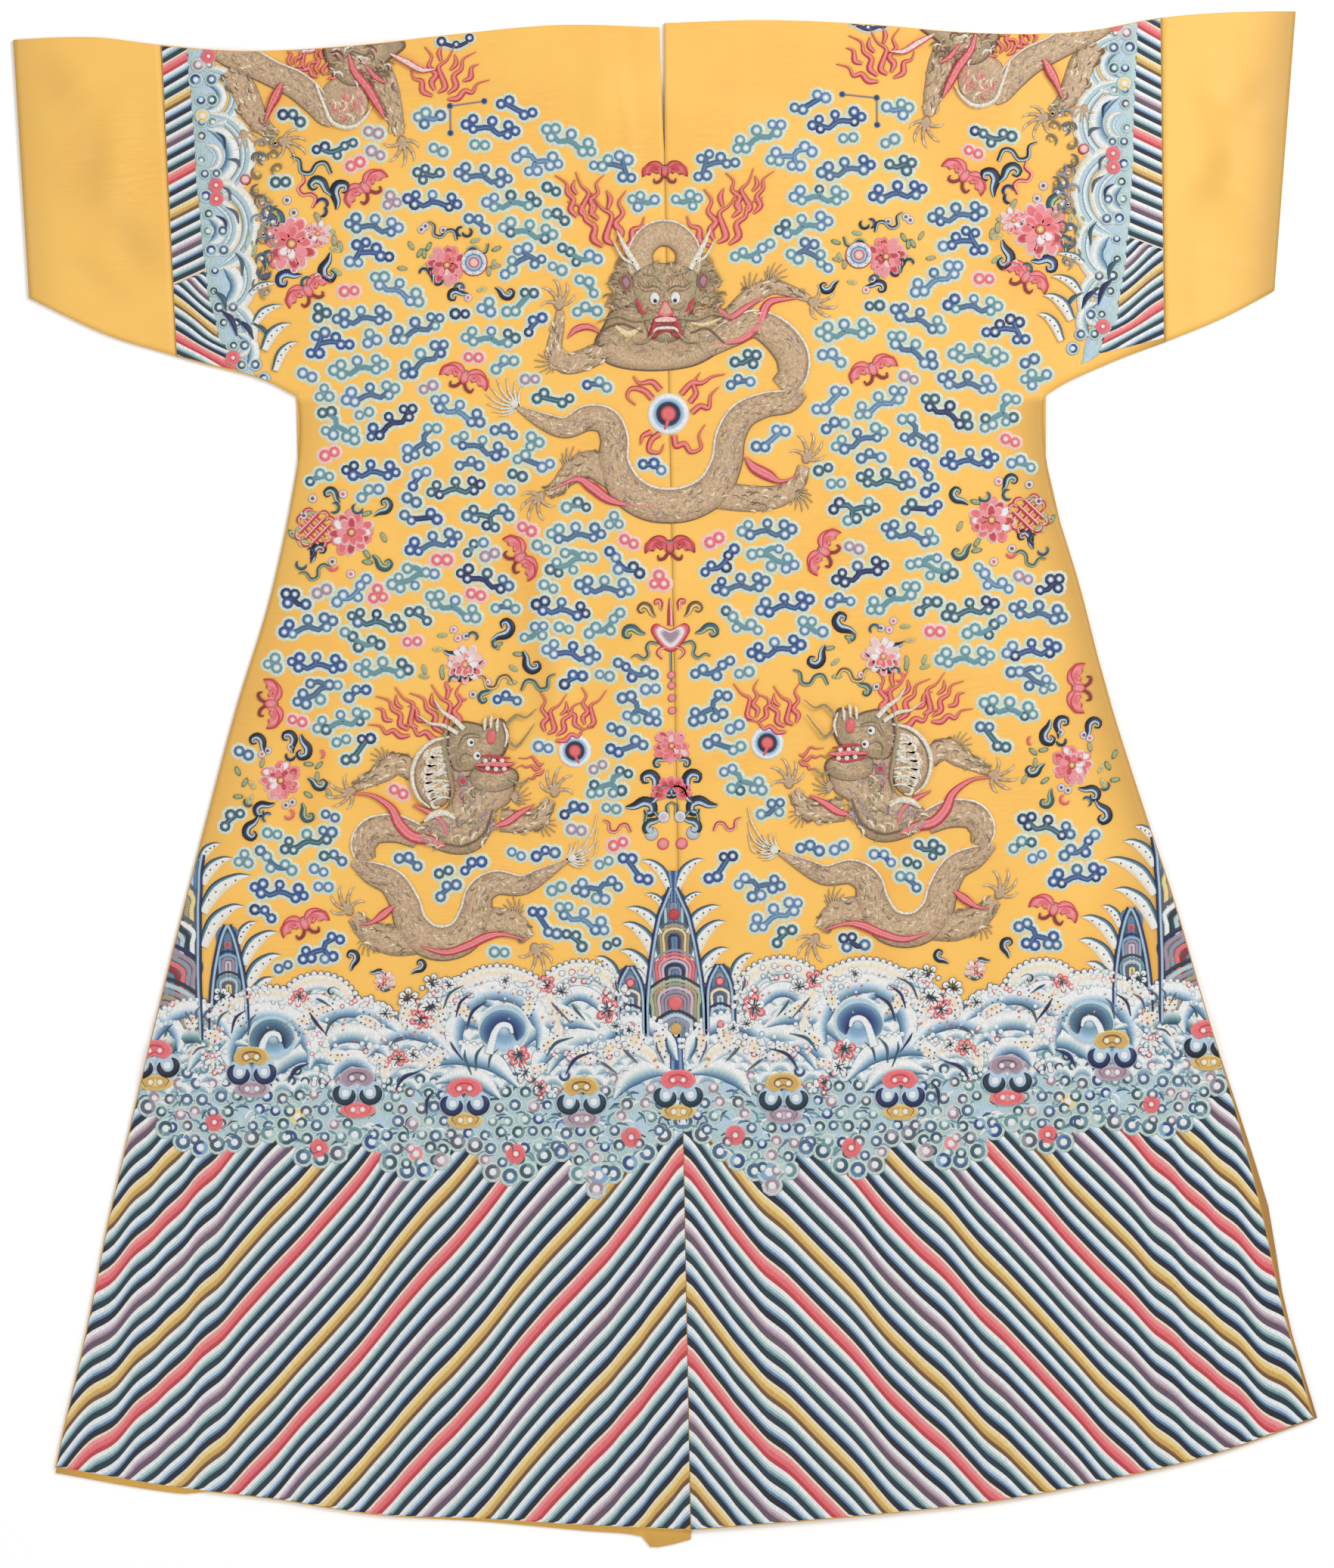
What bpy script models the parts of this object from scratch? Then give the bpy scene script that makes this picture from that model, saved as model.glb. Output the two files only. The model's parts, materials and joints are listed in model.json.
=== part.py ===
"""Chinese dragon robe, uncut at the neck, spread flat with its back upwards.

The robe is cut the traditional way: one length of silk for each half, which runs from the back hem up,
over the shoulder fold without a seam, and down to the front hem. The two lengths meet in the centre
seam. The outer right front is a panel of its own, and each sleeve ends in a plain tube.

Garment frame: x across from the centre seam, y up from the hem at the centre, z up from the surface
that the robe lies on. Everything is moved at the end so that the origin is under the robe's middle.
"""

import math

import bpy
from mathutils import Vector

# Cloth, metres
CLOTH = 0.0015  # silk, lining and stitching together
GAP = 0.0003  # between pieces that are sewn together or lie on each other
LAYER = CLOTH + GAP
FOLD_RADIUS = CLOTH + GAP / 2  # outside of the shoulder fold
FOLD_STEPS = 4

# Outline, metres. The robe was not laid out quite evenly, so its two sides differ a little.
LEFT, RIGHT = -1, 1
SIDE_SEAM = (  # height of a point of the side seam, its distance from the centre seam on each side
    # y, left, right
    (0.00, 0.625, 0.626),
    (0.10, 0.603, 0.600),
    (0.20, 0.578, 0.574),
    (0.30, 0.556, 0.554),
    (0.40, 0.531, 0.530),
    (0.50, 0.505, 0.502),
    (0.60, 0.478, 0.475),
    (0.70, 0.450, 0.444),
    (0.80, 0.421, 0.415),
    (0.90, 0.388, 0.391),
    (1.00, 0.364, 0.364),
    (1.06, 0.355, 0.359),
    (1.12, 0.358, 0.364),
)
HEM = (  # distance from the centre seam, height of the back hem on each side
    # x, left, right
    (0.00, 0.000, 0.000),
    (0.10, 0.006, 0.006),
    (0.20, 0.014, 0.013),
    (0.30, 0.020, 0.023),
    (0.40, 0.037, 0.040),
    (0.50, 0.051, 0.062),
    (0.60, 0.070, 0.096),
    (0.65, 0.080, 0.114),
)
SHOULDER = (  # distance from the centre seam, height of the shoulder fold on each side
    # x, left, right
    (0.00, 1.445, 1.449),
    (0.10, 1.449, 1.450),
    (0.20, 1.442, 1.444),
    (0.30, 1.433, 1.434),
    (0.40, 1.430, 1.433),
    (0.48, 1.437, 1.445),
    (0.55, 1.446, 1.449),
    (0.65, 1.444, 1.448),
)
UNDER_SLEEVE = (  # distance from the centre seam, height of the seam under the sleeve on each side
    # x, left, right
    (0.36, 1.098, 1.083),
    (0.38, 1.109, 1.095),
    (0.40, 1.117, 1.104),
    (0.44, 1.128, 1.120),
    (0.48, 1.140, 1.134),
    (0.54, 1.160, 1.158),
    (0.62, 1.200, 1.200),
)
SLEEVE_POINTS = {  # distances from the centre seam
    # side: underarm, sleeve seam low, sleeve seam high, cuff low, cuff high
    LEFT: (0.358, 0.473, 0.482, 0.6130, 0.6235),
    RIGHT: (0.362, 0.4775, 0.480, 0.5835, 0.6090),
}

# The outer right front lies under the right half. Its top edge crosses from the neck to the underarm.
OVERLAP_TOP = ((0.00, 1.320), (0.10, 1.290), (0.20, 1.215), (0.30, 1.120), (0.362, 1.075))  # x, y
RISE_START = 0.085  # from the edge of the overlap to where the layers above it leave the surface
RISE_RUN = 0.040  # over which they climb one layer

# Where the front, which lies underneath, is not quite covered by the back
FRONT_HEM_SHOWS = (  # distance left of the centre seam, how far the front reaches below the back hem
    (0.00, 0.009),
    (0.02, 0.015),
    (0.040, 0.0175),
    (0.047, 0.008),
    (0.10, 0.005),
    (0.20, 0.002),
    (0.30, 0.000),
    (0.46, 0.000),
    (0.49, 0.005),
    (0.65, 0.005),
)
OVERLAP_SIDE_SHOWS = (  # height, how far the overlap reaches past the right side seam
    (0.00, 0.004),
    (0.10, 0.003),
    (0.20, 0.002),
    (0.26, 0.005),
    (0.30, 0.007),
    (0.34, 0.005),
    (0.42, 0.001),
    (0.50, 0.000),
    (1.10, 0.000),
)

# The neck is a slit in the centre seam
SLIT_LENGTH = 0.118
SLIT_HALF_WIDTH = 0.0022
SLIT_CURVE = 0.7  # below 1, its sides bow outwards

# Soft folds of the back and of the sleeve ends. Each runs from one point to another.
FOLDS = (
    # x from, y from, x to, y to, half width, height
    (-0.124, 0.760, -0.119, 0.990, 0.045, 0.0060),  # beside the shoulder blade
    (-0.040, 0.600, -0.038, 1.000, 0.036, 0.0022),  # along the centre seam
    (-0.075, 1.330, -0.045, 1.440, 0.030, 0.0020),  # left of the neck slit
    (-0.215, 0.240, -0.190, 0.700, 0.070, 0.0035),
    (-0.420, 0.180, -0.370, 0.560, 0.080, 0.0035),
    (0.160, 0.200, 0.140, 0.640, 0.070, 0.0030),
    (0.395, 0.240, 0.345, 0.720, 0.080, 0.0045),
    (0.255, 0.780, 0.215, 1.080, 0.060, 0.0025),
    (-0.300, 0.820, -0.260, 1.120, 0.055, 0.0025),
    (-0.600, 1.420, -0.530, 1.230, 0.035, 0.0045),  # across the left sleeve end
    (-0.515, 1.420, -0.545, 1.180, 0.026, 0.0030),
    (0.590, 1.410, 0.520, 1.240, 0.036, 0.0045),  # across the right sleeve end
    (0.520, 1.430, 0.560, 1.210, 0.028, 0.0030),
)

FOLD_END_SHARE = 0.4  # of a fold's length, over which each end dies away

# Grid of the cloth. Columns crowd towards the centre seam, where the folds are narrow.
BODY_COLUMNS = (
    *(0.000, 0.030, 0.062, 0.080, 0.120, 0.165, 0.215, 0.265, 0.320, 0.380),
    *(0.440, 0.510, 0.580, 0.650, 0.720, 0.790, 0.860, 0.930, 1.000),
)
SLEEVE_COLUMNS = (0.10, 0.28, 0.46, 0.64, 0.82, 1)
SLEEVE_END_COLUMNS = (0, 0.2, 0.4, 0.6, 0.8, 1)
OVERLAP_COLUMNS = (0, 0.2, 0.4, 0.6, 0.8, 0.92, 1)
BACK_SKIRT_ROWS = 36
FRONT_SKIRT_ROWS = 12
YOKE_ROWS = 13
OVERLAP_ROWS = 14

YELLOW = (0.98, 0.58, 0.13, 1)
PLAIN_YELLOW = (0.98, 0.60, 0.17, 1)
LINING_YELLOW = (0.80, 0.50, 0.16, 1)
SILK_ROUGHNESS = 0.45

HALVINGS = 40  # of the interval that holds the hem's corner


def smooth(t):
    """Climbs from 0 to 1 with level ends."""
    t = min(max(t, 0.0), 1.0)
    return t * t * (3 - 2 * t)


def along(table, place, column=1):
    """Reads a table's column at a place between its rows, on a smooth curve through them."""
    last = len(table) - 2
    i = next((i for i in range(last) if place < table[i + 1][0]), last)
    x0, x1 = table[i][0], table[i + 1][0]
    y0, y1 = table[i][column], table[i + 1][column]
    step = x1 - x0

    def slope(j):
        low, high = table[max(j - 1, 0)], table[min(j + 1, len(table) - 1)]
        return (high[column] - low[column]) / (high[0] - low[0])

    t = (place - x0) / step
    m0, m1 = slope(i) * step, slope(i + 1) * step
    bend = (2 * y0 - 2 * y1 + m0 + m1) * t**3 + (3 * y1 - 3 * y0 - 2 * m0 - m1) * t**2
    return bend + m0 * t + y0


def column_of(side):
    """The column of the outline tables that holds a side's values."""
    return 1 if side == LEFT else 2


def hem_corner(side):
    """Where the hem meets the side seam: the distance from the centre seam and the height."""
    low, high = HEM[0][0], HEM[-1][0]
    for _ in range(HALVINGS):
        x = (low + high) / 2
        if along(SIDE_SEAM, along(HEM, x, column_of(side)), column_of(side)) > x:
            low = x
        else:
            high = x
    return x, along(HEM, x, column_of(side))


def underarm(side):
    x = SLEEVE_POINTS[side][0]
    return x, along(UNDER_SLEEVE, x, column_of(side))


def centre_edge(y):
    """Distance of a half's centre edge from the centre line. It opens at the neck."""
    top = along(SHOULDER, 0)
    open_share = min(max(1 - (top - y) / SLIT_LENGTH, 0.0), 1.0)
    return GAP / 2 + SLIT_HALF_WIDTH * open_share**SLIT_CURVE


def skirt_point(side, across, up, hem_drop=0.0):
    """A point between the hem, up = 0, and the underarm, up = 1, as distance and height."""
    corner_x, corner_y = hem_corner(side)
    arm_y = underarm(side)[1]
    hem_y = along(HEM, across * corner_x, column_of(side)) - hem_drop
    y = hem_y + (arm_y - hem_y) * up
    side_y = corner_y + (arm_y - corner_y) * up
    width = along(SIDE_SEAM, side_y, column_of(side))
    edge = centre_edge(y)
    return edge + (width - edge) * across, y


def yoke_point(side, across, up):
    """A point between the underarm, up = 0, and the shoulder fold. Across passes 1 on the sleeve."""
    column = column_of(side)
    arm, seam_low, seam_high = SLEEVE_POINTS[side][:3]
    if across <= 1:
        low_x = high_x = arm * across
        low_y = underarm(side)[1]
    else:
        low_x = arm + (seam_low - GAP / 2 - arm) * (across - 1)
        high_x = arm + (seam_high - GAP / 2 - arm) * (across - 1)
        low_y = along(UNDER_SLEEVE, low_x, column)
    high_y = along(SHOULDER, high_x, column) - FOLD_RADIUS
    x = low_x + (high_x - low_x) * up
    y = low_y + (high_y - low_y) * up
    return max(x, centre_edge(y) * (across == 0)), y


def rise(x, y):
    """How far the back, or the inner front, is lifted by the overlap below it. x is signed."""
    beside = smooth((x + RISE_START) / RISE_RUN)
    edge = along(OVERLAP_TOP, max(x, 0.0))
    above = smooth((edge + RISE_START - y) / RISE_RUN)
    return LAYER * beside * above


def fold_height(x, y):
    """Height of the soft folds above the layers below. x is signed."""
    height = 0.0
    for x0, y0, x1, y1, half_width, peak in FOLDS:
        run = Vector((x1 - x0, y1 - y0))
        to = Vector((x - x0, y - y0))
        t = to.dot(run) / run.length_squared
        off = abs(run.x * to.y - run.y * to.x) / run.length
        tapers = smooth(t / FOLD_END_SHARE) * smooth((1 - t) / FOLD_END_SHARE)
        height += peak * tapers * smooth(1 - off / half_width)
    return height


def front_z(side, x, y):
    """Underside of the front layer."""
    return rise(x, y) if side == RIGHT else 0.0


def back_z(x, y):
    """Upper side of the back layer."""
    return rise(x, y) + LAYER + CLOTH + fold_height(x, y)


def shoulder_fold(front_row):
    """Rows that carry the cloth round the shoulder, from the last row of the front to the back."""
    rows = []
    for step in range(1, FOLD_STEPS):
        angle = math.pi * step / FOLD_STEPS
        out, up = FOLD_RADIUS * math.sin(angle), FOLD_RADIUS * (1 - math.cos(angle))
        rows.append([Vector((p.x, p.y + out, p.z + up)) for p in front_row])
    return rows


def sheet_object(name, rows, colour, flip, collection):
    """Joins rows of points into an open sheet, outside up, and makes it a wall of cloth."""
    points, faces, starts = [], [], []
    for row in rows:
        starts.append(len(points))
        points.extend(row)
    for r in range(len(rows) - 1):
        for c in range(min(len(rows[r]), len(rows[r + 1])) - 1):
            a, b = starts[r] + c, starts[r + 1] + c
            faces.append((a, b, b + 1, a + 1) if flip else (a, a + 1, b + 1, b))
    mesh = bpy.data.meshes.new(name)
    mesh.from_pydata(points, [], faces)
    sheet = bpy.data.objects.new(name, mesh)
    collection.objects.link(sheet)
    wall = sheet.modifiers.new("Cloth", "SOLIDIFY")
    wall.thickness = CLOTH
    wall.offset = -1
    wall.use_even_offset = True
    silk = bpy.data.materials.new(name + "_silk")
    silk.use_nodes = True
    shader = silk.node_tree.nodes["Principled BSDF"]
    shader.inputs["Base Color"].default_value = colour
    shader.inputs["Roughness"].default_value = SILK_ROUGHNESS
    shader.inputs["Metallic"].default_value = 0.0
    mesh.materials.append(silk)
    return sheet


def front_shows(side, across):
    """How far the front hem reaches below the back hem at a column. Only the left front shows."""
    return along(FRONT_HEM_SHOWS, across * hem_corner(side)[0]) if side == LEFT else 0.0


def length_rows(side):
    """The outside of one length of cloth, from its front hem over the shoulder to its back hem."""

    def under(point):
        x, y = point
        return Vector((side * x, y, front_z(side, side * x, y)))

    def upper(point):
        x, y = point
        return Vector((side * x, y, back_z(side * x, y)))

    yoke_columns = BODY_COLUMNS + tuple(1 + share for share in SLEEVE_COLUMNS)
    yoke_steps = [row / YOKE_ROWS for row in range(YOKE_ROWS + 1)]
    shows = [front_shows(side, across) for across in BODY_COLUMNS]
    rows = []
    for row in range(FRONT_SKIRT_ROWS):
        up = row / FRONT_SKIRT_ROWS
        line = [skirt_point(side, c, up, drop) for c, drop in zip(BODY_COLUMNS, shows)]
        rows.append([under(point) for point in line])
    for up in yoke_steps:
        rows.append([under(yoke_point(side, c, up)) for c in yoke_columns])
    rows.extend(shoulder_fold(rows[-1]))
    for up in reversed(yoke_steps):
        rows.append([upper(yoke_point(side, c, up)) for c in yoke_columns])
    for row in reversed(range(BACK_SKIRT_ROWS)):
        up = row / BACK_SKIRT_ROWS
        rows.append([upper(skirt_point(side, c, up)) for c in BODY_COLUMNS])
    return rows


def overlap_rows():
    """The outside of the outer right front, from its hem to the edge that crosses the chest."""
    rows = []
    arm = SLEEVE_POINTS[RIGHT][0]
    corner_x, corner_y = hem_corner(RIGHT)
    for row in range(OVERLAP_ROWS + 1):
        up = row / OVERLAP_ROWS
        line = []
        for across in OVERLAP_COLUMNS:
            top_y = along(OVERLAP_TOP, arm * across)
            hem_y = along(HEM, across * corner_x, column_of(RIGHT))
            y = hem_y + (top_y - hem_y) * up
            side_y = corner_y + (along(OVERLAP_TOP, arm) - corner_y) * up
            width = along(SIDE_SEAM, side_y, column_of(RIGHT)) + along(OVERLAP_SIDE_SHOWS, side_y)
            line.append(Vector((GAP / 2 + (width - GAP / 2) * across, y, 0.0)))
        rows.append(line)
    return rows


def sleeve_end_rows(side):
    """The outside of a plain sleeve end, from the seam under it round the fold and back."""
    column = column_of(side)
    _, seam_low, seam_high, cuff_low, cuff_high = SLEEVE_POINTS[side]

    def point(along_sleeve, up):
        low_x = seam_low + GAP / 2 + (cuff_low - seam_low - GAP / 2) * along_sleeve
        high_x = seam_high + GAP / 2 + (cuff_high - seam_high - GAP / 2) * along_sleeve
        low_y = along(UNDER_SLEEVE, low_x, column)
        high_y = along(SHOULDER, high_x, column) - FOLD_RADIUS
        return side * (low_x + (high_x - low_x) * up), low_y + (high_y - low_y) * up

    steps = [row / YOKE_ROWS for row in range(YOKE_ROWS + 1)]
    rows = []
    for up in steps:
        rows.append([Vector((*point(c, up), 0.0)) for c in SLEEVE_END_COLUMNS])
    rows.extend(shoulder_fold(rows[-1]))
    for up in reversed(steps):
        line = []
        for c in SLEEVE_END_COLUMNS:
            x, y = point(c, up)
            line.append(Vector((x, y, back_z(x, y))))
        rows.append(line)
    return rows


def garment_pieces():
    """Name, rows, colour and winding of each piece of the robe."""
    return (
        ("left_length", length_rows(LEFT), YELLOW, False),
        ("right_length", length_rows(RIGHT), YELLOW, True),
        ("front_overlap", overlap_rows(), LINING_YELLOW, True),
        ("left_sleeve_end", sleeve_end_rows(LEFT), PLAIN_YELLOW, False),
        ("right_sleeve_end", sleeve_end_rows(RIGHT), PLAIN_YELLOW, True),
    )


def centre_on_origin(pieces):
    """Moves all points so that the origin is under the middle of the robe's box."""
    points = [p for _, rows, _, _ in pieces for row in rows for p in row]
    middle = Vector(
        (
            (min(p.x for p in points) + max(p.x for p in points)) / 2,
            (min(p.y for p in points) + max(p.y for p in points)) / 2,
            0.0,
        )
    )
    for point in points:
        point -= middle


def main():
    for old in list(bpy.data.objects):
        bpy.data.objects.remove(old, do_unlink=True)
    collection = bpy.data.collections.new("chinese_dragon_robe")
    bpy.context.scene.collection.children.link(collection)
    pieces = garment_pieces()
    centre_on_origin(pieces)
    for name, rows, colour, flip in pieces:
        sheet_object(name, rows, colour, flip, collection)


main()
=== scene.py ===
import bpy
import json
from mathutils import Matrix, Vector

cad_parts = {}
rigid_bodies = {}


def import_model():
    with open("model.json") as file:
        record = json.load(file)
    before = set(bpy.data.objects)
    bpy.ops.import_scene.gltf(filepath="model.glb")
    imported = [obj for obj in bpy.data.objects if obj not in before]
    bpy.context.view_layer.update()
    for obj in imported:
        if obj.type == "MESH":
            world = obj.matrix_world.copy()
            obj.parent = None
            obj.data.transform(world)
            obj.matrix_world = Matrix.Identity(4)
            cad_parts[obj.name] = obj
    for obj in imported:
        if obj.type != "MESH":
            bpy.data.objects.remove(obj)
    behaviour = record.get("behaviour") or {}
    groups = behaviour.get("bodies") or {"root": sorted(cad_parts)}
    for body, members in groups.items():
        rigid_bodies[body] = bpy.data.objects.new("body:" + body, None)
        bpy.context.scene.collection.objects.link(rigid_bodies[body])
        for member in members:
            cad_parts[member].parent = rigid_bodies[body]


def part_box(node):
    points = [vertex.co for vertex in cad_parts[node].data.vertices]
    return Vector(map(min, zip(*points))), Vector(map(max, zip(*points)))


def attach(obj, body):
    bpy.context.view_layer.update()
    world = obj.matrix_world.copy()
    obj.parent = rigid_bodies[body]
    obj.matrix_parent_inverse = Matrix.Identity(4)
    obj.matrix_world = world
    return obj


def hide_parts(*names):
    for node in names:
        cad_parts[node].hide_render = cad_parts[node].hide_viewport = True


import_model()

"""Looks of the chinese dragon robe: its silk, and the embroidery that lies on its back.

Lengths are millimetres in the garment frame: x across from the centre seam, y up from the hem at the
centre, and height above the silk. The outline tables are the part's own, in metres. Only
Needlework.finish and sheet_object turn the garment frame into the row frame.
"""

import json
import math
from contextlib import contextmanager

import bpy
import numpy as np
from mathutils import Vector

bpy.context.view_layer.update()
LEFT, RIGHT = -1, 1
MM = 0.001

# The part's own cloth and outline, metres
CLOTH = 0.0015
GAP = 0.0003
LAYER = CLOTH + GAP
FOLD_RADIUS = CLOTH + GAP / 2
FOLD_STEPS = 8
SIDE_SEAM = (  # height of a point of the side seam, its distance from the centre seam on each side
    # y, left, right
    (0.00, 0.625, 0.626),
    (0.10, 0.603, 0.600),
    (0.20, 0.578, 0.574),
    (0.30, 0.556, 0.554),
    (0.40, 0.531, 0.530),
    (0.50, 0.505, 0.502),
    (0.60, 0.478, 0.475),
    (0.70, 0.450, 0.444),
    (0.80, 0.421, 0.415),
    (0.90, 0.388, 0.391),
    (1.00, 0.364, 0.364),
    (1.06, 0.355, 0.359),
    (1.12, 0.358, 0.364),
)
HEM = (  # distance from the centre seam, height of the back hem on each side
    # x, left, right
    (0.00, 0.000, 0.000),
    (0.10, 0.006, 0.006),
    (0.20, 0.014, 0.013),
    (0.30, 0.020, 0.023),
    (0.40, 0.037, 0.040),
    (0.50, 0.051, 0.062),
    (0.60, 0.070, 0.096),
    (0.65, 0.080, 0.114),
)
SHOULDER = (  # distance from the centre seam, height of the shoulder fold on each side
    # x, left, right
    (0.00, 1.445, 1.449),
    (0.10, 1.449, 1.450),
    (0.20, 1.442, 1.444),
    (0.30, 1.433, 1.434),
    (0.40, 1.430, 1.433),
    (0.48, 1.437, 1.445),
    (0.55, 1.446, 1.449),
    (0.65, 1.444, 1.448),
)
UNDER_SLEEVE = (  # distance from the centre seam, height of the seam under the sleeve on each side
    # x, left, right
    (0.36, 1.098, 1.083),
    (0.38, 1.109, 1.095),
    (0.40, 1.117, 1.104),
    (0.44, 1.128, 1.120),
    (0.48, 1.140, 1.134),
    (0.54, 1.160, 1.158),
    (0.62, 1.200, 1.200),
)
SLEEVE_POINTS = {  # distances from the centre seam
    # side: underarm, sleeve seam low, sleeve seam high, cuff low, cuff high
    LEFT: (0.358, 0.473, 0.482, 0.6130, 0.6235),
    RIGHT: (0.362, 0.4775, 0.480, 0.5835, 0.6090),
}
OVERLAP_TOP = ((0.00, 1.320), (0.10, 1.290), (0.20, 1.215), (0.30, 1.120), (0.362, 1.075))  # x, y
RISE_START = 0.085
RISE_RUN = 0.040
FRONT_HEM_SHOWS = (  # distance left of the centre seam, how far the front reaches below the back hem
    (0.00, 0.009),
    (0.02, 0.015),
    (0.040, 0.0175),
    (0.047, 0.008),
    (0.10, 0.005),
    (0.20, 0.002),
    (0.30, 0.000),
    (0.46, 0.000),
    (0.49, 0.005),
    (0.65, 0.005),
)
OVERLAP_SIDE_SHOWS = (  # height, how far the overlap reaches past the right side seam
    (0.00, 0.004),
    (0.10, 0.003),
    (0.20, 0.002),
    (0.26, 0.005),
    (0.30, 0.007),
    (0.34, 0.005),
    (0.42, 0.001),
    (0.50, 0.000),
    (1.10, 0.000),
)
SLIT_LENGTH = 0.118
SLIT_HALF_WIDTH = 0.0022
SLIT_CURVE = 0.7
FOLDS = (
    # x from, y from, x to, y to, half width, height
    (-0.124, 0.760, -0.119, 0.990, 0.045, 0.0060),
    (-0.040, 0.600, -0.038, 1.000, 0.036, 0.0022),
    (-0.075, 1.330, -0.045, 1.440, 0.030, 0.0020),
    (-0.215, 0.240, -0.190, 0.700, 0.070, 0.0035),
    (-0.420, 0.180, -0.370, 0.560, 0.080, 0.0035),
    (0.160, 0.200, 0.140, 0.640, 0.070, 0.0030),
    (0.395, 0.240, 0.345, 0.720, 0.080, 0.0045),
    (0.255, 0.780, 0.215, 1.080, 0.060, 0.0025),
    (-0.300, 0.820, -0.260, 1.120, 0.055, 0.0025),
    (-0.600, 1.420, -0.530, 1.230, 0.035, 0.0045),
    (-0.515, 1.420, -0.545, 1.180, 0.026, 0.0030),
    (0.590, 1.410, 0.520, 1.240, 0.036, 0.0045),
    (0.520, 1.430, 0.560, 1.210, 0.028, 0.0030),
)
FOLD_END_SHARE = 0.4
# Small creases that the part leaves out
CREASES = (
    # x from, y from, x to, y to, half width, height
    (-0.600, 1.300, -0.500, 1.400, 0.012, 0.0012),
    (-0.590, 1.240, -0.490, 1.330, 0.010, 0.0010),
    (-0.610, 1.360, -0.530, 1.432, 0.011, 0.0012),
    (-0.570, 1.190, -0.490, 1.250, 0.009, 0.0008),
    (0.590, 1.330, 0.490, 1.390, 0.012, 0.0012),
    (0.580, 1.260, 0.490, 1.300, 0.010, 0.0010),
    (0.585, 1.200, 0.490, 1.215, 0.009, 0.0008),
    (-0.130, 0.700, -0.128, 1.040, 0.014, 0.0020),
    (-0.020, 1.250, -0.045, 1.430, 0.010, 0.0012),
    (0.350, 0.600, 0.400, 0.860, 0.014, 0.0010),
    (-0.420, 0.560, -0.350, 0.900, 0.014, 0.0010),
    (0.300, 0.060, 0.330, 0.330, 0.016, 0.0010),
    (-0.330, 0.050, -0.300, 0.330, 0.016, 0.0010),
)
HALVINGS = 40

# Where the garment frame lies in the row frame: both lengths of cloth start half a gap from the seam
HALF_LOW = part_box("right_length")[0]
SEAM_X = HALF_LOW.x - GAP / 2
HEM_Y = HALF_LOW.y

# Grids of the cloth, rows and columns of each stretch
BODY_COLUMNS = 78
SLEEVE_COLUMNS = 16
SLEEVE_END_COLUMNS = 24
BACK_SKIRT_ROWS = 132
FRONT_SKIRT_ROWS = 16
YOKE_ROWS = 44
FRONT_YOKE_ROWS = 8
OVERLAP_COLUMNS = 16
OVERLAP_ROWS = 24


# ---------------------------------------------------------------- the part's shape, on arrays
def smooth(t):
    """Climbs from 0 to 1 with level ends."""
    t = np.clip(t, 0.0, 1.0)
    return t * t * (3 - 2 * t)


def along(table, place, column=1):
    """Reads a table's column at places between its rows, on a smooth curve through them."""
    xs = np.array([row[0] for row in table])
    ys = np.array([row[column] for row in table])
    slopes = np.empty_like(ys)
    slopes[1:-1] = (ys[2:] - ys[:-2]) / (xs[2:] - xs[:-2])
    slopes[0] = (ys[1] - ys[0]) / (xs[1] - xs[0])
    slopes[-1] = (ys[-1] - ys[-2]) / (xs[-1] - xs[-2])
    i = np.clip(np.searchsorted(xs, place, side="right") - 1, 0, len(xs) - 2)
    step = xs[i + 1] - xs[i]
    t = (place - xs[i]) / step
    m0, m1 = slopes[i] * step, slopes[i + 1] * step
    bend = (2 * ys[i] - 2 * ys[i + 1] + m0 + m1) * t**3
    return bend + (3 * ys[i + 1] - 3 * ys[i] - 2 * m0 - m1) * t**2 + m0 * t + ys[i]


def column_of(side):
    """Which column of an outline table is a side's own."""
    return 1 if side == LEFT else 2


def hem_corner(side):
    """Where the hem meets the side seam."""
    low, high = HEM[0][0], HEM[-1][0]
    for _ in range(HALVINGS):
        x = (low + high) / 2
        if along(SIDE_SEAM, along(HEM, x, column_of(side)), column_of(side)) > x:
            low = x
        else:
            high = x
    return x, along(HEM, x, column_of(side))


def underarm(side):
    """Where the side seam meets the seam under the sleeve."""
    x = SLEEVE_POINTS[side][0]
    return x, along(UNDER_SLEEVE, x, column_of(side))


def centre_edge(y):
    """How far the cloth starts from the centre seam, which opens into the neck slit."""
    top = along(SHOULDER, 0)
    open_share = np.clip(1 - (top - y) / SLIT_LENGTH, 0.0, 1.0)
    return GAP / 2 + SLIT_HALF_WIDTH * open_share**SLIT_CURVE


def skirt_points(side, across, up, hem_drop=0.0):
    """A row between the hem, up = 0, and the underarm, up = 1, as distances and heights."""
    corner_x, corner_y = hem_corner(side)
    arm_y = underarm(side)[1]
    hem_y = along(HEM, across * corner_x, column_of(side)) - hem_drop
    y = hem_y + (arm_y - hem_y) * up
    side_y = corner_y + (arm_y - corner_y) * up
    width = along(SIDE_SEAM, side_y, column_of(side))
    edge = centre_edge(y)
    return edge + (width - edge) * across, y


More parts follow.
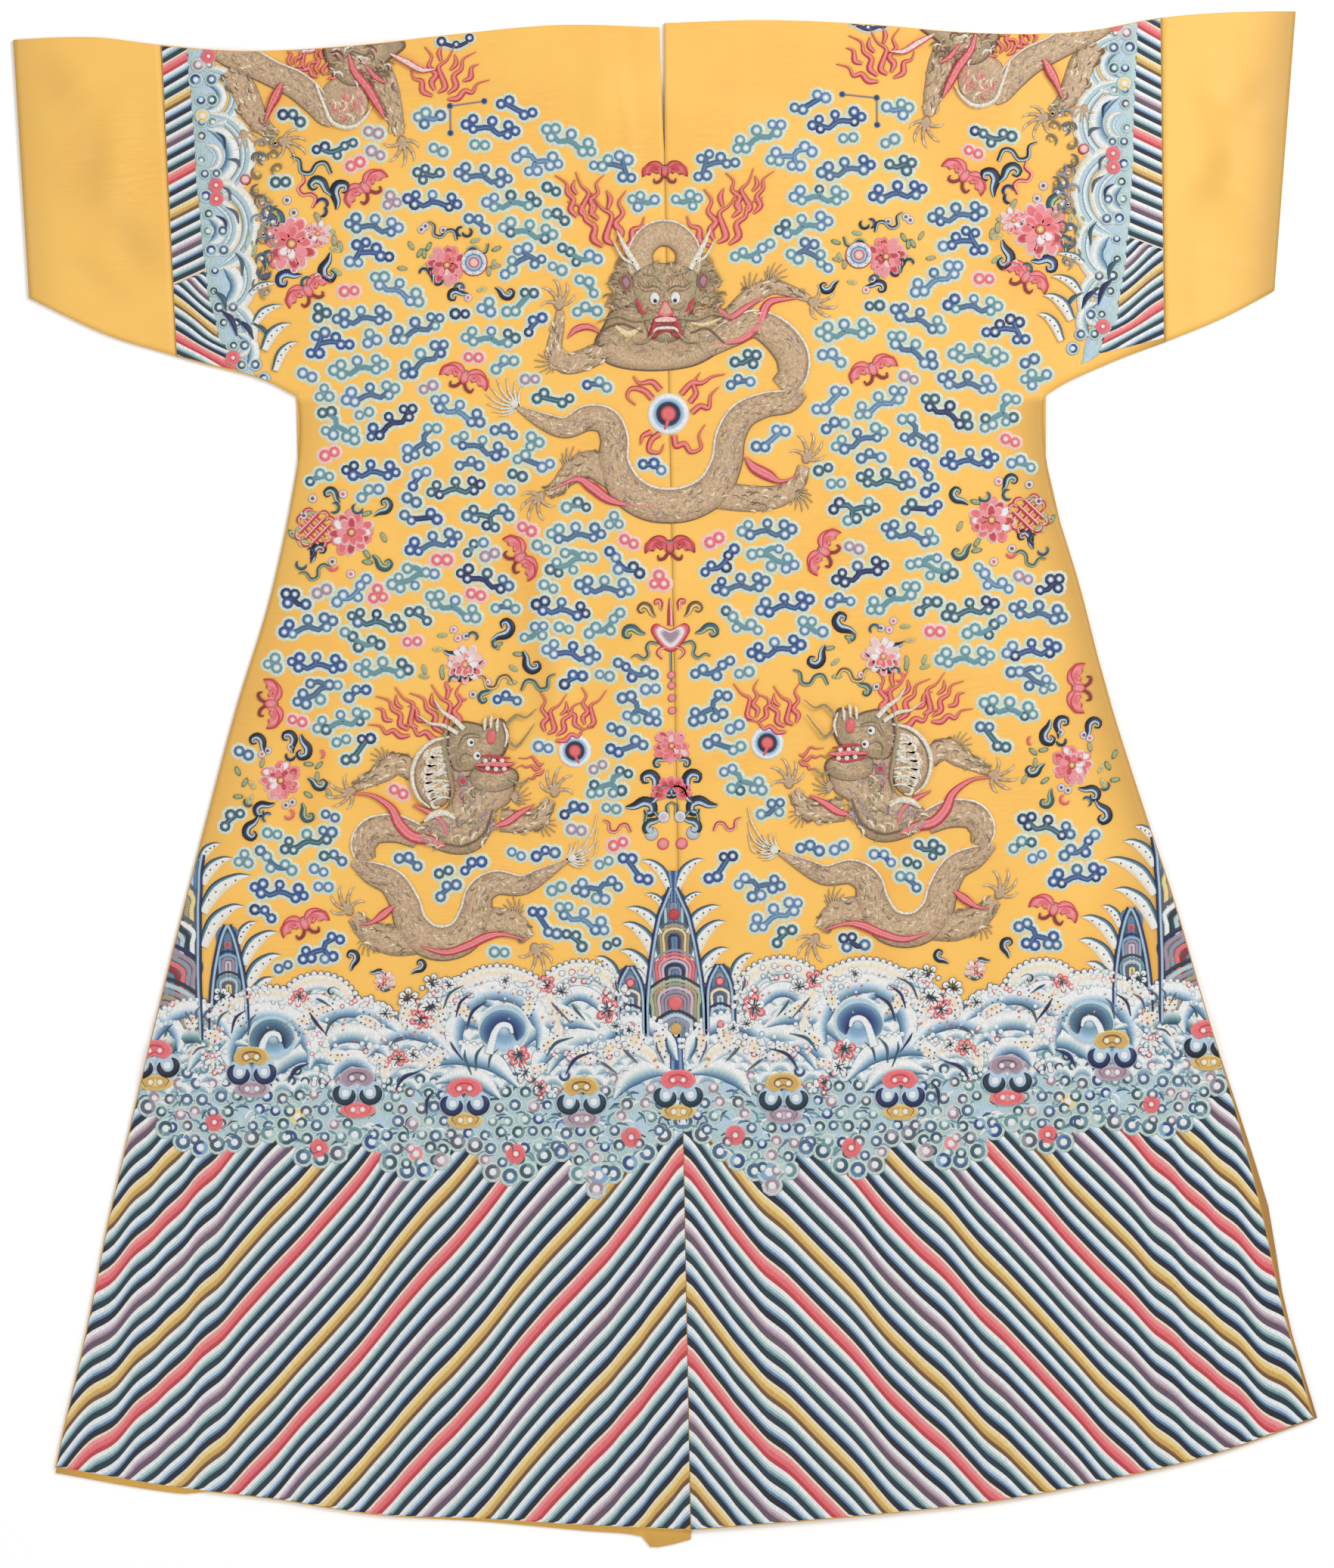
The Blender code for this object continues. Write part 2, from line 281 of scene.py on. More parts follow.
def yoke_points(side, across, up):
    """A row between the underarm, up = 0, and the shoulder fold. Across passes 1 on the sleeve."""
    column = column_of(side)
    arm, seam_low, seam_high = SLEEVE_POINTS[side][:3]
    on_sleeve = across > 1
    low_x = np.where(on_sleeve, arm + (seam_low - GAP / 2 - arm) * (across - 1), arm * across)
    high_x = np.where(on_sleeve, arm + (seam_high - GAP / 2 - arm) * (across - 1), arm * across)
    low_y = np.where(on_sleeve, along(UNDER_SLEEVE, low_x, column), underarm(side)[1])
    high_y = along(SHOULDER, high_x, column) - FOLD_RADIUS
    x = low_x + (high_x - low_x) * up
    y = low_y + (high_y - low_y) * up
    return np.maximum(x, centre_edge(y) * (across == 0)), y


def rise(x, y):
    """How far the back, or the inner front, is lifted by the overlap below it. x is signed."""
    beside = smooth((x + RISE_START) / RISE_RUN)
    edge = along(OVERLAP_TOP, np.maximum(x, 0.0))
    above = smooth((edge + RISE_START - y) / RISE_RUN)
    return LAYER * beside * above


def ridges(table, x, y):
    """Height of soft folds or creases above the layers below. x is signed."""
    height = np.zeros_like(x)
    for x0, y0, x1, y1, half_width, peak in table:
        run_x, run_y = x1 - x0, y1 - y0
        length = math.hypot(run_x, run_y)
        t = ((x - x0) * run_x + (y - y0) * run_y) / length**2
        off = np.abs(run_x * (y - y0) - run_y * (x - x0)) / length
        tapers = smooth(t / FOLD_END_SHARE) * smooth((1 - t) / FOLD_END_SHARE)
        height += peak * tapers * smooth(1 - off / half_width)
    return height


def back_z(x, y):
    """Upper side of the back layer."""
    return rise(x, y) + LAYER + CLOTH + ridges(FOLDS, x, y) + ridges(CREASES, x, y)


# ---------------------------------------------------------------- cloth
def as_row(side, x, y, z):
    """Points of one side, from distances, heights and a level."""
    return np.stack([side * x, y, np.broadcast_to(z, x.shape)], axis=1)


def shoulder_fold(front_row):
    """Rows that carry the cloth round the shoulder, from the last row of the front to the back."""
    rows = []
    for step in range(1, FOLD_STEPS):
        angle = math.pi * step / FOLD_STEPS
        out = FOLD_RADIUS * math.sin(angle)
        up = FOLD_RADIUS * (1 - math.cos(angle))
        rows.append(front_row + np.array([0.0, out, up]))
    return rows


def length_rows(side):
    """The outside of one length of cloth, from its front hem over the shoulder to its back hem."""
    body = np.linspace(0, 1, BODY_COLUMNS + 1)
    yoke = np.concatenate([body, 1 + np.linspace(0, 1, SLEEVE_COLUMNS + 1)[1:]])
    shows = 0.0
    if side == LEFT:
        shows = along(FRONT_HEM_SHOWS, body * hem_corner(side)[0])

    def under(x, y):
        """Points of the front layer."""
        return as_row(side, x, y, rise(side * x, y) if side == RIGHT else 0.0)

    def upper(x, y):
        """Points of the back layer."""
        return as_row(side, x, y, back_z(side * x, y))

    rows = []
    for up in np.linspace(0, 1, FRONT_SKIRT_ROWS + 1)[:-1]:
        rows.append(under(*skirt_points(side, body, up, shows)))
    for up in np.linspace(0, 1, FRONT_YOKE_ROWS + 1):
        rows.append(under(*yoke_points(side, yoke, up)))
    rows.extend(shoulder_fold(rows[-1]))
    for up in np.linspace(1, 0, YOKE_ROWS + 1):
        rows.append(upper(*yoke_points(side, yoke, up)))
    for up in np.linspace(1, 0, BACK_SKIRT_ROWS + 1)[1:]:
        rows.append(upper(*skirt_points(side, body, up)))
    return rows


def overlap_rows():
    """The outside of the outer right front, from its hem to the edge that crosses the chest."""
    across = np.linspace(0, 1, OVERLAP_COLUMNS + 1)
    arm = SLEEVE_POINTS[RIGHT][0]
    corner_x, corner_y = hem_corner(RIGHT)
    rows = []
    for up in np.linspace(0, 1, OVERLAP_ROWS + 1):
        hem_y = along(HEM, across * corner_x, column_of(RIGHT))
        y = hem_y + (along(OVERLAP_TOP, arm * across) - hem_y) * up
        side_y = corner_y + (along(OVERLAP_TOP, arm) - corner_y) * up
        width = along(SIDE_SEAM, side_y, column_of(RIGHT)) + along(OVERLAP_SIDE_SHOWS, side_y)
        rows.append(as_row(RIGHT, GAP / 2 + (width - GAP / 2) * across, y, 0.0))
    return rows


def sleeve_end_rows(side):
    """The outside of a plain sleeve end, from the seam under it round the fold and back."""
    column = column_of(side)
    _, seam_low, seam_high, cuff_low, cuff_high = SLEEVE_POINTS[side]
    out = np.linspace(0, 1, SLEEVE_END_COLUMNS + 1)
    low_x = seam_low + GAP / 2 + (cuff_low - seam_low - GAP / 2) * out
    high_x = seam_high + GAP / 2 + (cuff_high - seam_high - GAP / 2) * out
    low_y = along(UNDER_SLEEVE, low_x, column)
    high_y = along(SHOULDER, high_x, column) - FOLD_RADIUS
    rows = []
    for up in np.linspace(0, 1, FRONT_YOKE_ROWS + 1):
        rows.append(as_row(side, low_x + (high_x - low_x) * up, low_y + (high_y - low_y) * up, 0.0))
    rows.extend(shoulder_fold(rows[-1]))
    for up in np.linspace(1, 0, YOKE_ROWS + 1):
        x, y = low_x + (high_x - low_x) * up, low_y + (high_y - low_y) * up
        rows.append(as_row(side, x, y, back_z(side * x, y)))
    return rows


def mesh_from(name, points, corners, sizes, uvs):
    """A mesh from arrays: points, each face's corners in one list, the faces' sizes, and UV maps."""
    mesh = bpy.data.meshes.new(name)
    mesh.vertices.add(len(points))
    mesh.vertices.foreach_set("co", points.astype(np.float32).ravel())
    mesh.loops.add(len(corners))
    mesh.loops.foreach_set("vertex_index", corners.astype(np.int32))
    mesh.polygons.add(len(sizes))
    starts = np.concatenate([[0], np.cumsum(sizes)[:-1]])
    mesh.polygons.foreach_set("loop_start", starts.astype(np.int32))
    mesh.polygons.foreach_set("loop_total", sizes.astype(np.int32))
    for uv_name, uv in uvs.items():
        layer = mesh.uv_layers.new(name=uv_name)
        layer.data.foreach_set("uv", uv[corners].astype(np.float32).ravel())
    mesh.update(calc_edges=True)
    mesh.validate()
    mesh.polygons.foreach_set("use_smooth", np.ones(len(mesh.polygons), bool))
    return mesh


BAKE_SHARE, BAKE_EDGE = 0.98, 0.01  # of the bake map: what a piece fills, and the free edge
EDGE_SHADE_REACH = 0.026  # metres in from a side over which painted shade darkens the silk
EDGE_SHADE_SIDE = {LEFT: 0.5, RIGHT: 0.9}  # how dark the painted shade is at a side's edge
EDGE_SHADE_FALL = 1.5  # how steeply that painted shade fades inward
PAINTED_FOLD_SHADE = (  # painted shade along folds of the sleeves, and one of the back
    # x from, y from, x to, y to, half width, how dark the painted shade is
    (-0.602, 1.446, -0.548, 1.345, 0.030, 0.28),
    (-0.552, 1.380, -0.545, 1.265, 0.030, 0.37),
    (-0.545, 1.300, -0.476, 1.205, 0.028, 0.31),
    (-0.585, 1.250, -0.500, 1.180, 0.020, 0.15),
    (0.590, 1.410, 0.535, 1.325, 0.028, 0.22),
    (0.565, 1.340, 0.490, 1.240, 0.026, 0.25),
    (-0.126, 0.700, -0.119, 1.010, 0.016, 0.31),
)


def sheet_object(name, rows, side, material):
    """Joins rows of points into an open sheet, outside up, and makes it a wall of cloth."""
    counts = [len(row) for row in rows]
    starts = np.concatenate([[0], np.cumsum(counts)])
    points = np.concatenate(rows)
    steps = np.linalg.norm(np.diff(np.array([row[0] for row in rows]), axis=0), axis=1)
    down = np.concatenate([[0], np.cumsum(steps)])
    uv = np.concatenate([np.stack([np.abs(r[:, 0]), np.full(len(r), d)], 1) for r, d in zip(rows, down)])
    faces = []
    for r in range(len(rows) - 1):
        c = np.arange(min(counts[r], counts[r + 1]) - 1)
        a, b = starts[r] + c, starts[r + 1] + c
        quad = np.stack([a, b, b + 1, a + 1] if side == RIGHT else [a, a + 1, b + 1, b], axis=1)
        faces.append(quad)
    corners = np.concatenate(faces).ravel()
    points = points + np.array([SEAM_X, HEM_Y, 0.0])
    bake = uv / down[-1] * BAKE_SHARE + BAKE_EDGE
    uvs = {"OFBake": bake, "weave": uv}
    mesh = mesh_from(name, points, corners, np.full(len(corners) // 4, 4), uvs)
    # Painted shade, kept in a colour attribute: the silk darkens towards each side's edge and along the folds
    # in the table above
    depth = np.concatenate([np.abs(r[:, 0]).max() - np.abs(r[:, 0]) for r in rows])
    painted_shade = EDGE_SHADE_SIDE[side] * np.exp(-((depth / EDGE_SHADE_REACH) ** EDGE_SHADE_FALL))
    across, up = np.concatenate(rows)[:, 0], np.concatenate(rows)[:, 1]
    painted_shade = painted_shade + ridges(PAINTED_FOLD_SHADE, across, up)
    colours = np.stack([painted_shade, painted_shade, painted_shade, np.ones(len(painted_shade))], 1)
    layer = mesh.color_attributes.new("painted_shade", "FLOAT_COLOR", "POINT")
    layer.data.foreach_set("color", colours.astype(np.float32).ravel())
    sheet = bpy.data.objects.new(name, mesh)
    bpy.context.scene.collection.objects.link(sheet)
    wall = sheet.modifiers.new("Cloth", "SOLIDIFY")
    wall.thickness = CLOTH
    wall.offset = -1
    wall.use_even_offset = True
    mesh.materials.append(material)
    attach(sheet, "root")
    return sheet


# ---------------------------------------------------------------- materials
def linear(rgb):
    """Linear colour of an sRGB one given as 0 to 255."""
    c = np.asarray(rgb, float) / 255
    return np.where(c <= 0.04045, c / 12.92, ((c + 0.055) / 1.055) ** 2.4)


EXPOSURE = 0.82  # brings a colour as the light shows it back to the dye's own
INKS = {
    name: linear(rgb) * EXPOSURE
    for name, rgb in (
        ("silk", (255, 200, 98)),
        ("plain", (255, 202, 102)),
        # the same yellow silk made darker: painted shade where the front overlap shows from under the back
        ("lining", (226, 172, 92)),
        ("white", (246, 246, 242)),
        ("cream", (250, 232, 200)),
        ("pale_blue", (190, 214, 232)),
        ("sky", (138, 178, 210)),
        ("steel", (74, 104, 138)),
        ("slate", (98, 134, 168)),
        ("blue", (92, 136, 190)),
        ("royal", (46, 76, 136)),
        ("navy", (28, 36, 84)),
        ("ink", (16, 20, 40)),
        ("pale_teal", (188, 212, 212)),
        ("teal", (112, 152, 160)),
        ("deep_teal", (52, 90, 106)),
        ("dark_teal", (22, 48, 62)),
        ("halo", (220, 231, 210)),
        ("haze", (248, 218, 142)),
        ("mist", (182, 208, 214)),
        ("wave", (124, 162, 188)),
        ("deep", (74, 114, 150)),
        ("sea", (104, 152, 160)),
        ("coral", (240, 112, 116)),
        ("pink", (248, 152, 156)),
        ("pale_pink", (250, 208, 200)),
        ("red", (202, 62, 70)),
        ("dark_red", (146, 34, 44)),
        ("orange", (238, 140, 70)),
        ("mauve", (172, 144, 158)),
        ("pale_mauve", (214, 194, 204)),
        ("dark_mauve", (106, 84, 102)),
        ("gold", (220, 174, 92)),
        ("pale_gold", (246, 218, 140)),
        ("brown", (120, 84, 46)),
        ("grey", (150, 152, 164)),
        ("dark_grey", (88, 96, 112)),
        ("tan", (214, 182, 144)),
        ("pale_tan", (226, 196, 158)),
        ("dark_tan", (180, 148, 116)),
        ("scale_edge", (176, 140, 110)),
        ("umber", (122, 98, 76)),
        ("olive", (176, 158, 120)),
        ("dark_olive", (136, 118, 88)),
        ("green", (96, 134, 96)),
        ("pale_green", (178, 196, 150)),
    )
}


def material(name):
    """A new material with its nodes, its links and its shader."""
    made = bpy.data.materials.new(name)
    made.use_nodes = True
    nodes, links = made.node_tree.nodes, made.node_tree.links
    return made, nodes, links, nodes["Principled BSDF"]


def mix_colour(nodes, links, share, low, high):
    """Mixes two colours, each a node's output or a fixed colour, by a node's output."""
    mix = nodes.new("ShaderNodeMix")
    mix.data_type = "RGBA"
    links.new(share, mix.inputs["Factor"])
    for socket, value in ((mix.inputs["A"], low), (mix.inputs["B"], high)):
        if isinstance(value, bpy.types.NodeSocket):
            links.new(value, socket)
        else:
            socket.default_value = (*value, 1)
    return mix.outputs["Result"]


def noise(nodes, links, vector, scale, detail=2.0, stretch=(1, 1, 1)):
    """Soft noise over the place that a vector gives."""
    mapping = nodes.new("ShaderNodeMapping")
    mapping.inputs["Scale"].default_value = stretch
    links.new(vector, mapping.inputs["Vector"])
    texture = nodes.new("ShaderNodeTexNoise")
    texture.inputs["Scale"].default_value = scale
    texture.inputs["Detail"].default_value = detail
    links.new(mapping.outputs["Vector"], texture.inputs["Vector"])
    return texture.outputs["Fac"]


def spread(nodes, links, value, low, high):
    """Stretches the part of a value between low and high over 0 to 1."""
    ramp = nodes.new("ShaderNodeMapRange")
    ramp.inputs["From Min"].default_value = low
    ramp.inputs["From Max"].default_value = high
    links.new(value, ramp.inputs["Value"])
    return ramp.outputs["Result"]


def uv_map(nodes, name):
    """Output of a UV map."""
    uv = nodes.new("ShaderNodeUVMap")
    uv.uv_map = name
    return uv.outputs["UV"]


def bump(nodes, links, shader, height, distance, strength):
    """Lets a height bend the light on a shader's surface."""
    node = nodes.new("ShaderNodeBump")
    node.inputs["Distance"].default_value = distance
    node.inputs["Strength"].default_value = strength
    links.new(height, node.inputs["Height"])
    links.new(node.outputs["Normal"], shader.inputs["Normal"])


def silk_material(name, colour):
    """Twilled silk: fine slanting threads, softly uneven dye, a low sheen, painted crease shade and painted
    shade towards the edges.
    """
    made, nodes, links, shader = material(name)
    place = nodes.new("ShaderNodeTexCoord").outputs["Object"]
    broad = spread(nodes, links, noise(nodes, links, place, 7, 4), 0.32, 0.62)
    dyed = mix_colour(nodes, links, broad, colour * np.array([0.93, 0.86, 0.78]), colour)
    slub = spread(nodes, links, noise(nodes, links, place, 60, 2, (1, 7, 1)), 0.35, 0.75)
    streaks_and_shade = mix_colour(nodes, links, slub, dyed, colour * np.array([1.0, 0.97, 0.9]))
    # Painted crease shade: stretched noise darkens the silk in soft bands, as the shade of small wrinkles
    painted_crease_shade = spread(nodes, links, noise(nodes, links, place, 5, 3, (1.4, 0.5, 1)), 0.56, 0.74)
    streaks_and_shade = mix_colour(nodes, links, painted_crease_shade, streaks_and_shade, colour * np.array([0.92, 0.82, 0.70]))
    # Painted shade from the colour attribute, towards the side edges and along folds
    painted_shade = nodes.new("ShaderNodeVertexColor")
    painted_shade.layer_name = "painted_shade"
    edge_shaded = mix_colour(nodes, links, painted_shade.outputs["Color"], streaks_and_shade, colour * np.array([0.60, 0.58, 0.62]))
    links.new(edge_shaded, shader.inputs["Base Color"])
    twill = nodes.new("ShaderNodeTexWave")
    twill.wave_type = "BANDS"
    twill.bands_direction = "DIAGONAL"
    twill.inputs["Scale"].default_value = 260
    twill.inputs["Distortion"].default_value = 0.6
    links.new(place, twill.inputs["Vector"])
    bump(nodes, links, shader, twill.outputs["Fac"], 0.0001, 0.35)
    shader.inputs["Roughness"].default_value = 0.5
    shader.inputs["Sheen Weight"].default_value = 0.25
    shader.inputs["Sheen Roughness"].default_value = 0.4
    shader.inputs["Specular IOR Level"].default_value = 0.35
    return made


def thread_material(name, roughness, sheen, scales=False):
    """Stitched threads that cross the stitch map: their colour is the piece's own, a little uneven."""
    made, nodes, links, shader = material(name)
    stitch = uv_map(nodes, "stitch")
    own = nodes.new("ShaderNodeVertexColor")
    own.layer_name = "thread"
    strands = noise(nodes, links, stitch, 1.0, 2, (1.6, 0.16, 1))
    uneven = spread(nodes, links, strands, 0.28, 0.72)
    shade = nodes.new("ShaderNodeMix")
    shade.data_type = "RGBA"
    shade.blend_type = "MULTIPLY"
    shade.inputs["Factor"].default_value = 1.0
    links.new(own.outputs["Color"], shade.inputs["A"])
    dark = np.array([0.70, 0.71, 0.74])
    links.new(mix_colour(nodes, links, uneven, dark, np.full(3, 1.08)), shade.inputs["B"])
    colour = shade.outputs["Result"]
    height = strands
    if scales:
        cell = nodes.new("ShaderNodeTexVoronoi")
        cell.inputs["Scale"].default_value = 0.36
        cell.inputs["Randomness"].default_value = 0.5
        links.new(stitch, cell.inputs["Vector"])
        rim = spread(nodes, links, cell.outputs["Distance"], 0.30, 1.05)
        share = nodes.new("ShaderNodeMath")
        share.operation = "MULTIPLY"
        links.new(rim, share.inputs[0])
        links.new(own.outputs["Alpha"], share.inputs[1])
        colour = mix_colour(nodes, links, share.outputs["Value"], colour, INKS["scale_edge"])
        fleck = spread(nodes, links, noise(nodes, links, stitch, 0.34, 2), 0.34, 0.66)
        flecked = nodes.new("ShaderNodeMix")
        flecked.data_type = "RGBA"
        flecked.blend_type = "MULTIPLY"
        flecked.inputs["Factor"].default_value = 1.0
        links.new(colour, flecked.inputs["A"])
        low, high = np.array([0.78, 0.76, 0.72]), np.array([1.12, 1.12, 1.10])
        links.new(mix_colour(nodes, links, fleck, low, high), flecked.inputs["B"])
        colour = flecked.outputs["Result"]
    links.new(colour, shader.inputs["Base Color"])
    bump(nodes, links, shader, height, 0.0003, 0.5)
    shader.inputs["Roughness"].default_value = roughness
    shader.inputs["Sheen Weight"].default_value = sheen
    shader.inputs["Sheen Roughness"].default_value = 0.35
    return made


# ---------------------------------------------------------------- needlework
SINK = -0.12  # height of a shape's rim, just under the silk
EDGE_CLEAR = 1.2  # stitching stops this far inside the outline
SEAM_CLEAR = 0.4  # wide fields of stitching start this far from the centre seam
TOO_SMALL = 1e-3  # a face under this area, square millimetres, is dropped
SCALY_INKS = ("tan", "pale_tan")  # where the gold thread shows a dragon's scales
SAME_INK = 1e-6  # two colours closer than this are one ink
SEEDS = {"border": 11, "waves": 23, "clouds": 5, "sleeves": 31}  # of the chance that scatters stitches


def inside_outline(xy):
    """Moves points that are outside the robe to just inside its outline."""
    x, y = xy[:, 0] * MM, xy[:, 1] * MM
    clear = EDGE_CLEAR * MM
    for side in (LEFT, RIGHT):
        column = column_of(side)
        here = (x * side) > 0
        out = np.abs(x)
        top = along(SHOULDER, out, column) - clear
        y = np.where(here, np.minimum(y, top), y)
        arm_x, arm_y = underarm(side)
        below = here & (y < arm_y)
        limit = along(SIDE_SEAM, y, column) - clear
        x = np.where(below & (out > limit), side * limit, x)
        out = np.abs(x)
        beyond = here & (y >= arm_y) & (out > arm_x)
        y = np.where(beyond, np.maximum(y, along(UNDER_SLEEVE, out, column) + clear), y)
        low = along(HEM, out, column) + clear
        y = np.where(here, np.maximum(y, low), y)
    return np.stack([x, y], axis=1) / MM


def heading(turn):
    """Cosine and sine of an angle in degrees."""
    return math.cos(math.radians(turn)), math.sin(math.radians(turn))


def turning(turn, flip):
    """Turns by degrees what may first be mirrored."""
    c, s = heading(turn)
    return np.array([[c, -s], [s, c]]) @ np.diag([-1.0 if flip else 1.0, 1.0])


def pick(options, chance):
    """One of the options, all as likely."""
    return options[chance.integers(len(options))]


def columns(bands):
    """The places, colours and heights of a table of bands or rings, each in an array."""
    places, inks, heights = zip(*bands)
    return np.array(places, float), np.array([INKS[ink] for ink in inks]), np.array(heights, float)


class Needlework:
    """Gathers raised stitching in millimetres of the garment frame, and makes one piece of it."""

    def __init__(self, name, thread):
        self.name, self.thread = name, thread
        self.points, self.colours, self.stitch, self.faces = [], [], [], []
        self.count = 0
        self.turned, self.moved = np.eye(2), np.zeros(2)
        self.lift = 0.0

    @contextmanager
    def at(self, x, y, turn=0.0, size=1.0, flip=False):
        """What is drawn inside is turned by degrees, scaled, mirrored and moved to a place."""
        before = self.turned, self.moved
        own = size * turning(turn, flip)
        self.moved = self.turned @ np.array([x, y]) + self.moved
        self.turned = self.turned @ own
        yield
        self.turned, self.moved = before

    @contextmanager
    def raised(self, height):
        """What is drawn inside lies higher."""
        self.lift += height
        yield
        self.lift -= height

    def half(self, side, shift=(0, 0)):
        """What is drawn inside for the right half goes to a side, moved there by a shift."""
        return self.at(*shift, flip=side == LEFT)

    def mirrored(self, x=0):
        """Draws a loop's body twice, the second time mirrored about a place across."""
        for flip in (False, True):
            with self.at(x, 0, flip=flip):
                yield

    def weave(self, xy, height, colour, stitch, closed=False, fan=False):
        """Adds a grid of points. closed joins its last column to the first, fan fills the last row."""
        rows, cols = xy.shape[:2]
        flat = xy.reshape(-1, 2) @ self.turned.T + self.moved
        height = np.broadcast_to(np.where(height > 0, height + self.lift, height), (rows, cols)).ravel()
        colour = np.broadcast_to(colour, (rows, cols, 3)).reshape(-1, 3)
        stitch = stitch.reshape(-1, 2)
        c = np.arange(cols if closed else cols - 1)
        after = (c + 1) % cols
        r = np.arange(rows - 1)[:, None] * cols
        quads = np.stack([r + c, r + after, r + cols + after, r + cols + c], axis=2)
        self.faces.append(quads.reshape(-1, 4) + self.count)
        if fan:
            last = (rows - 1) * cols
            middle = len(flat)
            flat = np.concatenate([flat, flat[last : last + cols].mean(0, keepdims=True)])
            height = np.concatenate([height, height[-1:]])
            colour = np.concatenate([colour, colour[-1:]])
            stitch = np.concatenate([stitch, stitch[last : last + 1] * np.array([1, 0])])
            spokes = np.stack([last + c, last + after, np.full(len(c), middle)], axis=1)
            self.faces.append(spokes + self.count)
        for store, new in (
            (self.points, np.column_stack([flat, height])),
            (self.colours, colour),
            (self.stitch, stitch),
        ):
            store.append(new)
        self.count += len(flat)

    def finish(self):
        """Lays the stitching on the silk and makes it a piece."""
        points = np.concatenate(self.points)
        points[:, :2] = inside_outline(points[:, :2])
        corners, sizes = [], []
        for block in self.faces:
            p = points[block][:, :, :2]
            across, back = p[:, 2] - p[:, 0], p[:, -1] - p[:, 1]
            area = (across[:, 0] * back[:, 1] - across[:, 1] * back[:, 0]) / 2
            block = np.where((area < 0)[:, None], block[:, ::-1], block)[np.abs(area) > TOO_SMALL]
            corners.append(block.ravel())
            sizes.append(np.full(len(block), block.shape[1]))
        corners, sizes = np.concatenate(corners), np.concatenate(sizes)
        used, corners = np.unique(corners, return_inverse=True)
        points = points[used]
        x, y = points[:, 0] * MM, points[:, 1] * MM
        solid = np.stack([x + SEAM_X, y + HEM_Y, back_z(x, y) + points[:, 2] * MM], axis=1)
        low = points[:, :2].min(0)
        extent = (points[:, :2].max(0) - low).max()
        bake = (points[:, :2] - low) / extent * BAKE_SHARE + BAKE_EDGE
        stitch = np.concatenate(self.stitch)[used]
        mesh = mesh_from(self.name, solid, corners, sizes, {"OFBake": bake, "stitch": stitch})
        shade = mesh.color_attributes.new("thread", "FLOAT_COLOR", "POINT")
        rgb = np.concatenate(self.colours)[used]
        scaly = np.zeros(len(used))
        for ink in SCALY_INKS:
            scaly[np.abs(rgb - INKS[ink]).max(axis=1) < SAME_INK] = 1.0
        rgba = np.column_stack([rgb, scaly])
        shade.data.foreach_set("color", rgba.astype(np.float32).ravel())
        mesh.materials.append(self.thread)
        piece = bpy.data.objects.new(self.name, mesh)
        bpy.context.scene.collection.objects.link(piece)
        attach(piece, "root")
        return piece


def spline(points, step, closed=False):
    """A smooth line through points, whose further columns are carried along with it."""
    p = np.asarray(points, float)
    if closed:
        ring = np.concatenate([p[-1:], p, p[:2]])
    else:
        ring = np.concatenate([2 * p[:1] - p[1:2], p, 2 * p[-1:] - p[-2:-1]])
    parts = []
    for a, b, c, d in zip(ring, ring[1:], ring[2:], ring[3:]):
        count = max(1, math.ceil(np.linalg.norm((c - b)[:2]) / step))
        t = (np.arange(count) / count)[:, None]
        cubic = 2 * b + (c - a) * t + (2 * a - 5 * b + 4 * c - d) * t**2
        parts.append((cubic + (3 * b - a - 3 * c + d) * t**3) / 2)
    if not closed:
        parts.append(p[-1:])
    return np.concatenate(parts)


def ribbon(work, route, bands, step=3.0):
    """A band of thread along a route of (x, y, half width). bands are (offset, ink, height)."""
    line = spline(route, step)
    run = np.gradient(line[:, :2], axis=0)
    run /= np.maximum(np.linalg.norm(run, axis=1, keepdims=True), 1e-9)
    side = np.stack([-run[:, 1], run[:, 0]], axis=1)
    offset, colour, height = columns(bands)
    xy = line[:, None, :2] + side[:, None, :] * (offset[None, :] * line[:, 2:3])[:, :, None]
    far = np.concatenate([[0], np.cumsum(np.linalg.norm(np.diff(line[:, :2], axis=0), axis=1))])
    stitch = np.stack(np.broadcast_arrays(far[:, None], offset[None, :] * line[:, 2:3]), axis=2)
    work.weave(xy, height, colour, stitch)


def strokes(work, *rows):
    """Several bands of thread. A row has its bands, its step and the points of its route."""
    for bands, step, *route in rows:
        ribbon(work, route, bands, step)


def circle(radius, count, wide=1.0):
    """Points round a circle, which may be wider than high."""
    turn = np.arange(count) * 2 * math.pi / count
    return np.stack([radius * wide * np.cos(turn), radius * np.sin(turn)], axis=1)


def patch(work, rim, rings, middle=(0.0, 0.0)):
    """A filled shape. rings are (share of the way from the middle to the rim, ink, height)."""
    rim, middle = np.asarray(rim, float)[:, :2], np.asarray(middle, float)
    share, colour, height = columns(rings)
    xy = middle + (rim - middle)[None, :, :] * share[:, None, None]
    gaps = np.linalg.norm(np.diff(np.concatenate([rim, rim[:1]]), axis=0), axis=1)
    far = np.concatenate([[0], np.cumsum(gaps)[:-1]])
    deep = share[:, None] * np.linalg.norm(rim - middle, axis=1)[None, :]
    stitch = np.stack(np.broadcast_arrays(far[None, :], deep), axis=2)
    work.weave(xy, height[:, None], colour[:, None], stitch, closed=True, fan=True)


def rounded(work, outline, rings, middle, step=3):
    """A filled shape with a smooth rim through points."""
    patch(work, spline(outline, step, True), rings, middle)


def round_patch(work, rim, middle, rings):
    """A filled shape, whose rim is given about its middle."""
    patch(work, rim + np.array(middle), rings, middle)


def line_bands(ink):
    """Bands of a fine line in one ink."""
    return ((1, ink, 0.7), (0, ink, 1.4), (-1, ink, 0.7))


def disc(work, x, y, radius, rings, count=12):
    """A round patch."""
    with work.at(x, y):
        patch(work, circle(radius, count), rings)


